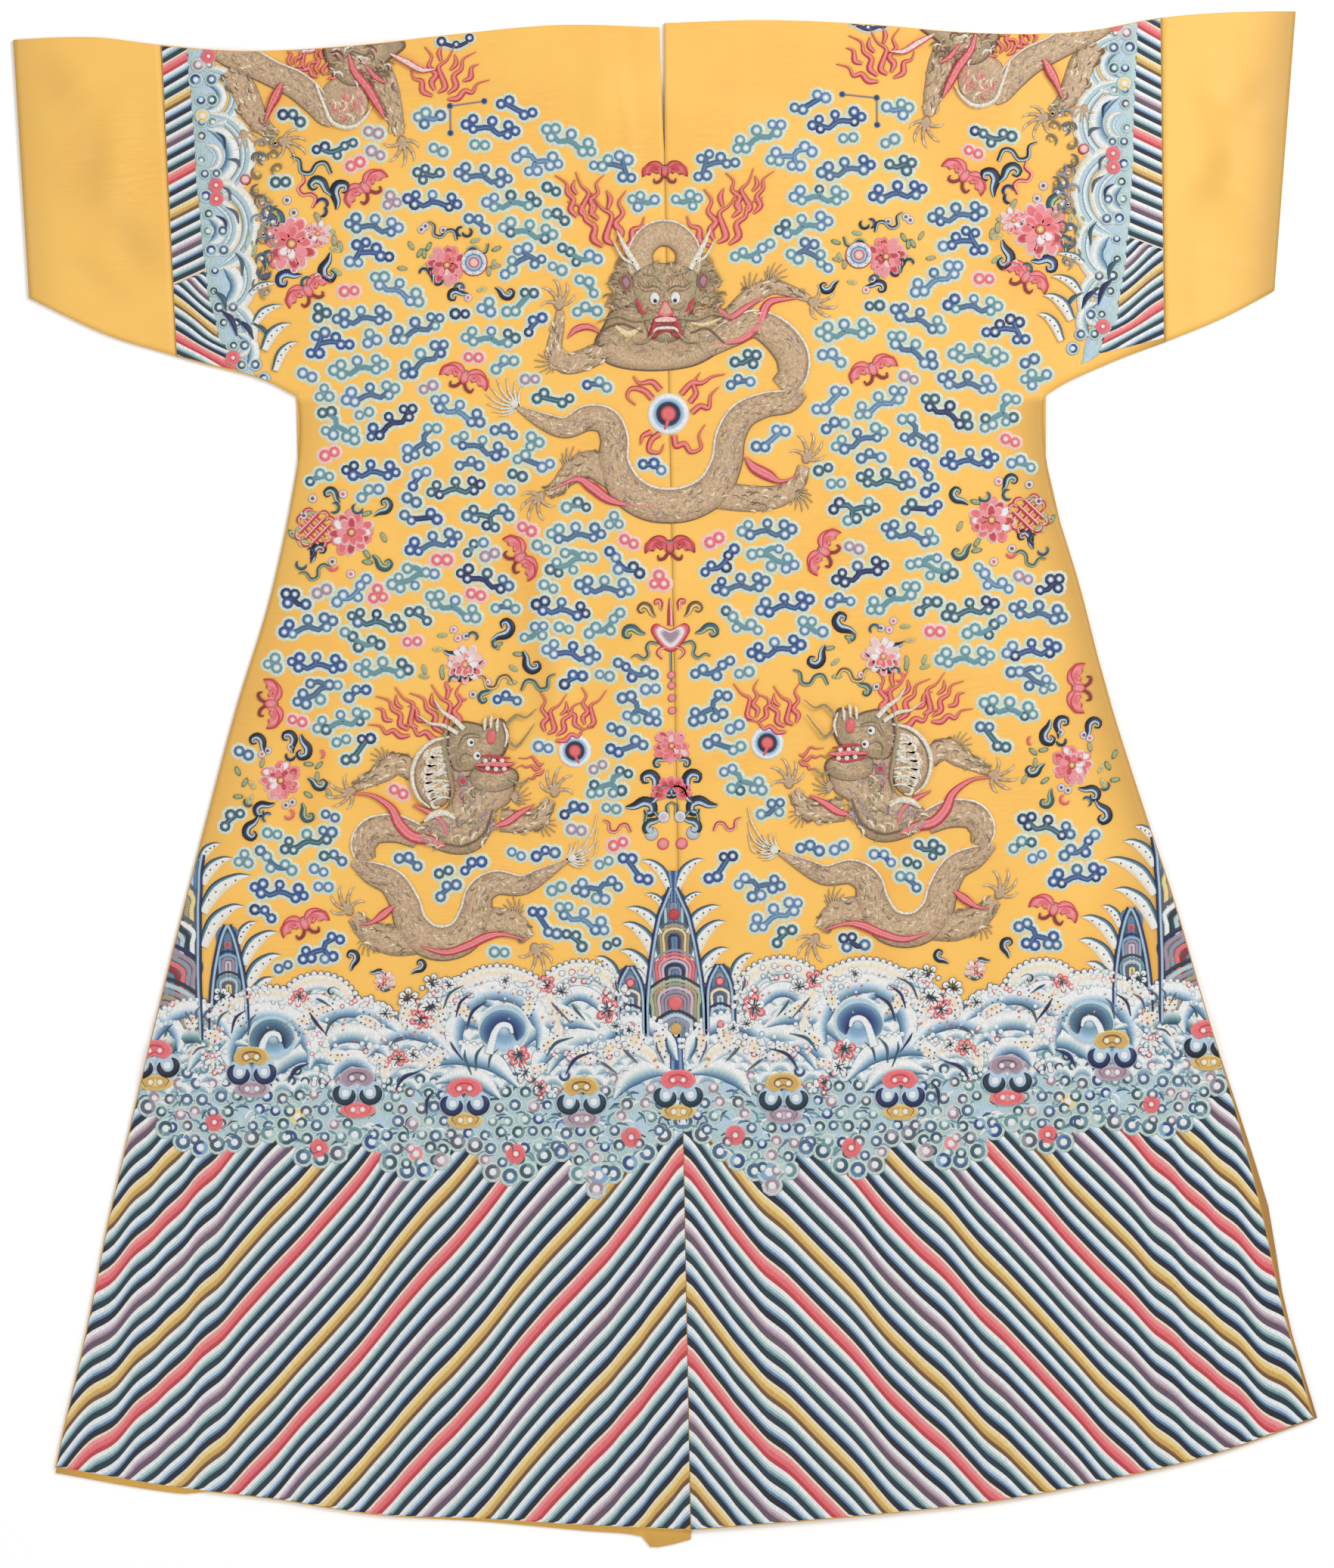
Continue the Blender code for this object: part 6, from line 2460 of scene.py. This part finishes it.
STARS = ((172, 1377), (205, 1373), (205, 1347))
CREST_POSY = (284, 534)
POSIES = (  # flowers and treasures of the right half, which the left half mirrors
    # x, y, size, kind
    (355, 1248, 1.15, "peony"),
    (205, 1226, 1.0, "wheel"),
    (325, 965, 1.1, "knot"),
    (195, 838, 1.0, "peony_low"),
    (380, 728, 1.0, "chrysanthemum"),
)
MOTIF_PARTS = {  # what draws each part, then its place and the rest that it asks for
    "peony": (
        (petal_flower, 4, -4, 1.25),
        (petal_flower, -18, 4, 0.6, ("coral", "pink", "pale_pink", "white"), 6),
        (scroll, -30, 36, 20, 0.9, False, "teal"),
        (scroll, -34, 24, -60, 1.0, True, "navy"),
        (scroll, -28, -12, -100, 1.0, False, "navy"),
        (scroll, -4, -30, -30, 0.9, False, "blue"),
        (scroll, 24, 30, 80, 0.9, True, "green"),
        (scroll, 26, -26, -60, 0.7, True, "green"),
        (ribbon_tail, -30, 54, 10, 1.0, False, "teal"),
        (ribbon_tail, -14, 26, 60, 0.8, False, "coral"),
    ),
    "wheel": (
        (wheel, -20, -4, 0.95),
        (petal_flower, 6, -6, 1.0, ("red", "coral", "pink", "pale_pink"), 8),
        (ribbon_tail, -4, 18, 20, 0.9, False, "teal"),
        (ribbon_tail, -34, 14, 160, 0.8, True, "green"),
        (scroll, -14, -34, -20, 0.8, False, "navy"),
        (scroll, 20, -22, -60, 0.7, True, "teal"),
        (scroll, -40, -28, 190, 0.8, False, "navy"),
    ),
    "knot": (
        (knot, 16, 4, 0.9),
        (petal_flower, -16, 0, 1.05, ("red", "coral", "pink", "white"), 8),
        (scroll, -36, 14, 120, 0.8, False, "teal"),
        (scroll, -34, -20, 200, 0.8, False, "green"),
        (scroll, -6, 26, 30, 0.7, False, "teal"),
        (scroll, 20, -26, -40, 0.8, True, "navy"),
        (ribbon_tail, 2, -32, -20, 0.8, False, "green"),
    ),
    "peony_low": (
        (petal_flower, 6, -2, 1.0, ("coral", "pink", "pale_pink", "white"), 8),
        (scroll, -20, 20, 120, 1.1, False, "navy"),
        (scroll, -12, 2, 170, 1.3, True, "navy"),
        (scroll, -50, 10, 220, 1.0, False, "navy"),
        (scroll, 26, 12, 60, 0.8, True, "navy"),
        (ribbon_tail, -40, -22, 0, 1.0, False, "gold"),
        (ribbon_tail, -48, -28, -10, 1.0, True, "green"),
        (scroll, -20, -26, -60, 0.7, False, "green"),
    ),
    "chrysanthemum": (
        (petal_flower, 0, 0, 1.0, ("red", "coral", "pink", "white"), 9),
        (scroll, -20, 44, 100, 1.0, True, "navy"),
        (scroll, -12, 26, 60, 0.9, False, "navy"),
        (scroll, 14, 26, 40, 0.9, False, "navy"),
        (scroll, 6, -22, -40, 0.9, False, "navy"),
        (scroll, 22, -34, -80, 1.0, False, "navy"),
        (scroll, -26, 2, 190, 0.8, False, "teal"),
        (scroll, -20, -22, 230, 0.8, False, "green"),
    ),
    "crest": (
        (petal_flower, 0, 0, 0.55, ("red", "pink", "pale_pink", "white"), 5),
        (scroll, -26, 6, 120, 0.7, False, "navy"),
        (scroll, 14, 8, 30, 0.6, True, "teal"),
        (scroll, 32, 10, 80, 0.8, False, "navy"),
        (scroll, -10, -6, 200, 0.6, True, "green"),
        (scroll, 40, -8, -20, 0.6, False, "teal"),
    ),
    "chime": (
        (scroll, 14, 18, 20, 0.8, False, "gold"),
        (scroll, 8, 24, 50, 0.5, False, "coral"),
        (scroll, 24, 2, -10, 0.9, False, "green"),
        (ribbon_tail, 12, -8, -40, 0.8, False, "green"),
        (ribbon_tail, 8, -22, -80, 0.7, True, "coral"),
    ),
    "vase": (
        (scroll, 12, 0, 45, 1.1, False, "navy"),
        (scroll, 22, -8, -20, 1.2, True, "navy"),
        (scroll, 44, -10, 20, 1.2, True, "navy"),
        (ribbon_tail, 26, -24, -20, 0.9, True, "green"),
        (ribbon_tail, 40, -34, 10, 0.8, False, "coral"),
        (scroll, 10, -20, -60, 0.9, False, "teal"),
        (disc, 8, -20, 6, ((1, "dark_teal", SINK), (0.85, "white", 1.4), (0.4, "pale_mauve", 1.6))),
        (disc, 9, -46, 6, ((1, "brown", SINK), (0.85, "coral", 1.2), (0.4, "pink", 1.4))),
        (disc, 20, -36, 7, ((1, "steel", SINK), (0.85, "pale_mauve", 1.2), (0.4, "pale_teal", 1.4))),
    ),
}


def greenery(work, inner, outer, count, seed):
    """Small leaves, tendrils and blossoms scattered round a flower."""
    chance = np.random.default_rng(seed)
    for number in range(count):
        turn, out = 2.4 * number + chance.uniform(-0.3, 0.3), chance.uniform(inner, outer)
        with work.at(1.15 * out * math.cos(turn), 0.9 * out * math.sin(turn), chance.uniform(0, 360)):
            if number % 4 < 2:
                ink = pick(("pale_green", "olive", "pale_gold", "green"), chance)
                rings = (
                    (1, "dark_olive", SINK), (0.86, ink, 1.0), (0.4, "pale_green", 1.3), (0.2, "olive", 1.3)
                )
                patch(work, circle(2.5, 8, 2.2), rings)
            elif number % 4 == 2:
                ink = pick(("deep_teal", "navy", "coral", "dark_teal"), chance)
                ribbon(work, arc_route(0, 0, 4.2, 0, chance.uniform(150, 260), 1.6), CURL[ink], 3)
            else:
                core = pick(("brown", "coral", "dark_mauve"), chance)
                rings = ((1, "mauve", SINK), (0.85, "pale_mauve", 1.0), (0.6, "white", 1.3), (0.3, core, 1.5))
                disc(work, 0, 0, 4.2, rings, 9)


def draw_parts(work, kind):
    """Parts of a posy or another motif, one over another."""
    for draw, *values in MOTIF_PARTS[kind]:
        draw(work, *values)


def posy(work, x, y, size, kind):
    """A flower or treasure among leaves and bands."""
    with work.at(x, y, 0, size):
        greenery(work, 24, 44, 22, round(x))
        draw_parts(work, kind)


BATS = (  # of the right half; the left half mirrors them
    (288, 1296, -38),
    (345, 1198, -30),
    (196, 1112, 20),
    (146, 938, 60),
    (388, 802, 88),
    (360, 590, -20),
)
MIDDLE_BATS = ((0, 1306, 0.95), (-2, 945, 1.05))


def small_motifs(side, name):
    """Flowers, treasures, bats and stars of one half."""
    work = Needlework(name, FLOSS)
    with work.half(side), work.raised(0.4):
        for place in POSIES:
            posy(work, *place)
        for x, y, turn in BATS:
            bat(work, x, y, turn)
        with work.at(*CREST_POSY):
            draw_parts(work, "crest")
        for x, y in STARS:
            disc(work, x, y, 3.6, ((1, "pale_blue", SINK), (0.7, "steel", 1.0), (0.4, "navy", 1.3)), 8)
        for start, end in zip(STARS, STARS[1:]):
            ribbon(work, [(*start, 0.7), (*end, 0.7)], ((1, "olive", 0.5), (-1, "steel", 0.5)), 8)
    return work.finish()


def middle_motifs():
    """What is stitched across the centre seam below the dragon: bats, a chime and a vase of lotus."""
    work = Needlework("middle_motifs", FLOSS)
    with work.raised(0.4):
        for x, y, size in MIDDLE_BATS:
            bat(work, x, y, 0, size, ("dark_red", "red", "coral"))
        with work.at(-3, 860):
            chime = ((-19, 4), (-14, 12), (0, 6), (14, 12), (19, 4), (8, -12), (0, -16), (-8, -12))
            rings = (
                (1, "red", SINK), (0.93, "red", 1.3), (0.78, "coral", 1.4), (0.6, "white", 1.5),
                (0.35, "mauve", 1.6),
            )
            rounded(work, chime, rings, (0, 0))
            ribbon(work, [(0, 10, 3), (0, 24, 2.4), (0, 36, 0.5)], CURL_BANDS["coral"], 3)
            for _ in work.mirrored():
                draw_parts(work, "chime")
            ribbon(work, [(0, -16, 1), (0, -34, 0.9), (0, -52, 0.9)], CURL_BANDS["navy"], 4)
            bead = ((1, "navy", SINK), (0.9, "coral", 1.2), (0.5, "pink", 1.5))
            for drop in (-38, -48, -60, -72):
                disc(work, 0, drop, 4, bead, 10)
        petal_flower(work, -4, 754, 0.9, ("red", "coral", "pink", "pale_pink"), 8)
        for _ in work.mirrored(-4):
            scroll(work, 4, 742, -40, 0.6, False, "teal")
        with work.at(-5, 706):
            petal = ((1, "pale_pink", SINK), (0.9, "pink", 1.3), (0.6, "coral", 1.4), (0.3, "red", 1.4))
            for turn, reach in ((90, 11), (60, 12), (120, 12), (30, 13), (150, 13), (5, 12), (175, 12)):
                with work.at(0, 0, turn), work.at(reach, 0):
                    patch(work, circle(5.5, 10, 1.6), petal)
            for _ in work.mirrored():
                draw_parts(work, "vase")
    return work.finish()


# ---------------------------------------------------------------- sleeve bands
SLEEVE_FIRST_PINK = {LEFT: 1413, RIGHT: 1428}  # middle of the upper pink stripe, at the seam
SLEEVE_TURN = {LEFT: 1206, RIGHT: 1222}  # where the slope of the stripes turns over
SLEEVE_LAST_PINK = {LEFT: 1157, RIGHT: 1170}
SLEEVE_SHIFT = {LEFT: (0, 0), RIGHT: (0, 14)}  # how far a side's water lies from its drawn place
SLEEVE_STRIPE = 11.7  # depth of a stripe
SLEEVE_ROUNDS = (-6, 30)  # first and last stripe tried on each slope
SLEEVE_FOOT, SLEEVE_TOP = 1137, 1442  # heights of the sleeve seam's ends
SLEEVE_END = 1460  # height that no stripe passes
SLEEVE_FALL, LOWER_FALL = 14, 32  # how far stripes rise or fall from the seam inward
SLEEVE_STEPS = 9  # points across a stripe
SLEEVE_ARCS = (  # of the water inside the stripes, as in WAVE_ARCS
    (436, 1386, 26, 80, 262, 7, "rim"),
    (437, 1386, 13, 80, 280, 5, "pale"),
    (440, 1330, 40, 95, 262, 8, "rim"),
    (440, 1330, 25, 95, 262, 7, "pale"),
    (440, 1328, 11, 90, 262, 5, "rim"),
    (440, 1262, 42, 92, 258, 9, "rim"),
    (440, 1260, 26, 92, 262, 7, "rim"),
    (440, 1258, 12, 92, 262, 6, "pale"),
    (434, 1212, 34, 130, 262, 8, "rim"),
    (432, 1204, 19, 110, 250, 7, "pale"),
    (426, 1160, 26, 100, 250, 7, "rim"),
    (416, 1140, 18, 100, 230, 6, "pale"),
)
SPRAY_INKS = (
    ("grey", "gold"), ("dark_olive", "pale_gold"), ("steel", "white"), ("olive", "pale_pink"),
    ("dark_grey", "gold"),
)
SPRAY_CURL = ((6, -3, 0.5), (1, -5, 1.2), (-4, -2, 1.2), (-4, 3, 1.0), (0, 4, 0.5))
SLEEVE_FINS = (  # at the foot of the water, as in CENTRE_FINS
    (400, 1196, -24, 10, 4), (396, 1168, -26, 16, 5), (388, 1142, -26, 24, 6), (378, 1122, -22, 26, 5),
)
SLEEVE_EDGE = (  # height, distance from the seam of the water's inner edge
    (1090, 386), (1120, 398), (1160, 408), (1200, 414), (1240, 414), (1300, 416), (1450, 432),
)
SLEEVE_REACH, SLEEVE_ROWS = (1113, 1450), 68  # heights of the water's ends, rows of points between
SLEEVE_BUBBLES = 18  # bubbles up the band, in each of two columns
SLEEVE_SPRAY = 30  # curls of spray beyond that edge
SLEEVE_WATER = (  # from the stripes inward
    (0, "grey", SINK), (0.05, "pale_teal", 0.6), (0.3, "pale_teal", 0.6), (0.6, "pale_blue", 0.6),
    (0.95, "pale_teal", 0.6), (1, "grey", SINK),
)
SLEEVE_PEARLS = ((436, 1425), (431, 1301), (431, 1288), (418, 1135))
SLEEVE_STROKES = (
    ((426, 1300), (418, 1286), 2.2, "dark_grey"),
    ((422, 1280), (410, 1264), 2.4, "dark_grey"),
    ((432, 1272), (422, 1258), 2.0, "navy"),
    ((414, 1236), (408, 1214), 2.6, "deep_teal"),
    ((430, 1352), (422, 1336), 2.0, "navy"),
    ((420, 1326), (408, 1318), 2.6, "dark_grey"),
    ((436, 1200), (424, 1180), 3.6, "deep_teal"),
    ((430, 1182), (414, 1156), 4.0, "navy"),
    ((416, 1172), (398, 1152), 3.6, "navy"),
    ((400, 1168), (384, 1152), 2.8, "deep_teal"),
)


def sleeve_stripes(work, side, inner):
    """Stripes from the sleeve seam inward."""
    _, seam_low, seam_high = SLEEVE_POINTS[side][:3]
    turn_y = SLEEVE_TURN[side]

    def seam(y):
        """How far the sleeve seam is from the centre seam."""
        share = (y - SLEEVE_FOOT) / (SLEEVE_TOP - SLEEVE_FOOT)
        return (seam_low + (seam_high - seam_low) * share) / MM - 1.0

    t = np.linspace(0, 1, SLEEVE_STEPS)
    foot = SLEEVE_FOOT - SLEEVE_FALL * t
    for upper in (True, False):
        first = SLEEVE_FIRST_PINK[side] if upper else SLEEVE_LAST_PINK[side] + 9 * SLEEVE_STRIPE
        order = (STRIPE_ORDER[:1] + STRIPE_ORDER[:0:-1]) if upper else STRIPE_ORDER
        for number in range(*SLEEVE_ROUNDS):
            kind = order[number % len(order)]
            rows, stitch = [], []
            for share in stripe_shares(kind):
                y = first - (number + share - 0.5) * SLEEVE_STRIPE
                if upper:
                    y = np.clip(y + SLEEVE_FALL * t, turn_y + SLEEVE_FALL * t, SLEEVE_END)
                else:
                    y = np.clip(y - LOWER_FALL * t + 1.5 * np.sin(t * 5), foot, turn_y + SLEEVE_FALL * t)
                outer = seam(y)
                rows.append(np.stack([side * (outer + (along(inner, y) - outer) * t), y], axis=1))
                stitch.append(np.stack([t * 30, np.full(SLEEVE_STEPS, share * SLEEVE_STRIPE)], axis=1))
            if (rows[0][:, 1] <= foot + 0.5).all():
                continue
            colour, height = stripe_looks(kind)
            work.weave(np.array(rows), height, colour, np.array(stitch))


def sleeve_band(side, name):
    """Stripes beside the sleeve seam, whose slope turns over, and a border of water inside them."""
    work = Needlework(name, FLOSS)
    turn_y = SLEEVE_TURN[side]
    inner = (
        (1112, 392), (1121, 411), (1130, 415), (1160, 432), (turn_y, 441), (1260, 446), (1320, 450),
        (1450, 456),
    )
    sleeve_stripes(work, side, inner)
    y = np.linspace(*SLEEVE_REACH, SLEEVE_ROWS)
    outer, within = along(inner, y) + 2, along(SLEEVE_EDGE, y)
    lay_field(work, (side * outer, y), (side * within, y), SLEEVE_WATER)
    chance = np.random.default_rng(SEEDS["sleeves"])
    with work.half(side, SLEEVE_SHIFT[side]), work.raised(0.3):
        for step, (*place, kind) in enumerate(SLEEVE_ARCS):
            with work.raised(0.03 * step):
                ribbon(work, arc_route(*place), WAVE_BANDS[kind], 4)
        with work.raised(0.7):
            for (x0, y0), (x1, y1), wide, ink in SLEEVE_STROKES:
                mid = ((x0 + x1) / 2 - 3, (y0 + y1) / 2 + 2, wide)
                ribbon(work, [(x0, y0, 0.4), mid, (x1, y1, 0.6)], STROKES[ink], 3)
            for row in range(SLEEVE_BUBBLES):
                by = 1112 + row * 18 + chance.uniform(-3, 3)
                for column in range(2):
                    bx = along(inner, by) - 7 - column * 13 + chance.uniform(-2, 2)
                    if column == 1 and chance.random() < 0.5:
                        continue
                    kind = pick(BUBBLE_INKS, chance)
                    bubble(work, bx, by, chance.uniform(5.6, 8.2), kind, chance.uniform(0, 360))
        with work.raised(1.4):
            for x, y in SLEEVE_PEARLS:
                disc(work, x, y, 7.6, PEARL, 14)
            disc(work, 443, 1368, 8, BUBBLES["gold"], 12)
            disc(work, 403, 1306, 6, ((1, "dark_red", SINK), (0.8, "red", 1.2), (0.4, "pale_pink", 1.4)), 10)
            for place in SLEEVE_FINS:
                fin(work, *place)
            for _ in range(SLEEVE_SPRAY):
                x, y = chance.uniform(372, 394), chance.uniform(1190, 1345)
                ink, core = pick(SPRAY_INKS, chance)
                with work.at(x, y, chance.uniform(60, 140), 1.0, chance.random() < 0.5):
                    ribbon(work, SPRAY_CURL, line_bands(ink), 3)
                    disc(work, 0, 0, 2.6, ((1, ink, SINK), (0.7, core, 1.1)), 8)
    return work.finish()


def lay_cloth():
    """The five pieces of the robe, each in place of its part."""
    silk = silk_material("yellow_silk", INKS["silk"])
    plain = silk_material("plain_yellow_silk", INKS["plain"])
    # The front overlap is the same silk, darker as painted shade where it shows from under the back
    lining = silk_material("front_yellow_silk_in_shade", INKS["lining"])
    for name, rows, side, dressed, slot in (
        ("left_length", length_rows(LEFT), LEFT, silk, "embroidered_silk"),
        ("right_length", length_rows(RIGHT), RIGHT, silk, "embroidered_silk"),
        ("front_overlap", overlap_rows(), RIGHT, lining, "embroidered_silk"),
        ("left_sleeve_end", sleeve_end_rows(LEFT), LEFT, plain, "plain_silk"),
        ("right_sleeve_end", sleeve_end_rows(RIGHT), RIGHT, plain, "plain_silk"),
    ):
        piece = sheet_object("silk_" + name, rows, side, dressed)
        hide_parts(name)


IMAGE_MIDDLE = (-9.1, 717.5)  # the garment's point at the middle of the photo
IMAGE_WIDTH = 1282.5  # that the photo is wide, on the robe
CAMERA_TURN = -1.1  # degrees
CAMERA_HEIGHT = 6.0  # metres, as the rest of the setting
SENSOR = 36.0
FLOOR_REACH = 6.0
FLOOR_LEVEL = -0.0004  # just under the robe
LIGHTS = (
    # name, place, size, power
    ("key", (1.6, 1.4, 2.6), 1.6, 62),
    ("fill", (-2.2, -1.2, 3.0), 2.4, 34),
)
SKY = 0.62  # strength of the even light from all round


def set_scene():
    """Camera, floor, lights and sky."""
    scene = bpy.context.scene
    lens = bpy.data.cameras.new("camera")
    lens.sensor_fit = "HORIZONTAL"
    lens.sensor_width = SENSOR
    lens.lens = SENSOR * CAMERA_HEIGHT / (IMAGE_WIDTH * MM)
    camera = bpy.data.objects.new("camera", lens)
    place = (SEAM_X + IMAGE_MIDDLE[0] * MM, HEM_Y + IMAGE_MIDDLE[1] * MM, CAMERA_HEIGHT)
    camera.location = place
    camera.rotation_euler = (0, 0, math.radians(CAMERA_TURN))
    scene.collection.objects.link(camera)
    scene.camera = camera
    floor_mesh = bpy.data.meshes.new("floor")
    far, low = FLOOR_REACH, FLOOR_LEVEL
    corners = [(-far, -far, low), (far, -far, low), (far, far, low), (-far, far, low)]
    floor_mesh.from_pydata(corners, [], [(0, 1, 2, 3)])
    floor = bpy.data.objects.new("floor", floor_mesh)
    scene.collection.objects.link(floor)
    made, nodes, links, shader = material("pale_floor")
    shader.inputs["Base Color"].default_value = (0.93, 0.93, 0.93, 1)
    shader.inputs["Roughness"].default_value = 0.9
    floor_mesh.materials.append(made)
    for name, where, size, power in LIGHTS:
        lamp = bpy.data.lights.new(name, "AREA")
        lamp.size = size
        lamp.energy = power
        light = bpy.data.objects.new(name, lamp)
        light.location = where
        aim = Vector(where).to_track_quat("Z", "Y")
        light.rotation_euler = aim.to_euler()
        scene.collection.objects.link(light)
    world = bpy.data.worlds.new("soft_sky")
    world.use_nodes = True
    world.node_tree.nodes["Background"].inputs["Color"].default_value = (1, 1, 1, 1)
    world.node_tree.nodes["Background"].inputs["Strength"].default_value = SKY
    scene.world = world
    scene.view_settings.view_transform = "Standard"


PROFILE_SHIFT = {LEFT: (-9, -4), RIGHT: (0, 0)}  # how far a side's dragon lies from its drawn place
SHOULDER_SHIFT = {LEFT: (0, 0), RIGHT: (0, 9)}

FLOSS = thread_material("silk_floss", 0.5, 0.3)
GOLD_THREAD = thread_material("gold_thread", 0.42, 0.1, scales=True)
lay_cloth()
for side, name in ((LEFT, "left"), (RIGHT, "right")):
    stripes(side)
    border(side, "border_" + name)
    waves(side, "waves_" + name)
    side_rock(side, "rock_" + name)
    profile_dragon(side, "dragon_" + name, PROFILE_SHIFT[side])
    profile_flames(side, "flames_" + name, PROFILE_SHIFT[side])
    shoulder_dragon(side, "shoulder_dragon_" + name, SHOULDER_SHIFT[side])
    shoulder_flames(side, "shoulder_flames_" + name, SHOULDER_SHIFT[side])
    small_motifs(side, "flowers_" + name)
    sleeve_band(side, "sleeve_band_" + name)
centre_rock()
central_dragon()
central_flames()
middle_motifs()
raster = Raster()
for piece in [o for o in bpy.data.objects if "thread" in getattr(o.data, "color_attributes", {})]:
    count = len(piece.data.vertices)
    points = np.empty(count * 3, np.float32)
    piece.data.vertices.foreach_get("co", points)
    xy = points.reshape(-1, 3)[:, :2].astype(float) - np.array([SEAM_X, HEM_Y])
    raster.mark(xy / MM, STITCH_FREE)
cloud_field(raster)
set_scene()
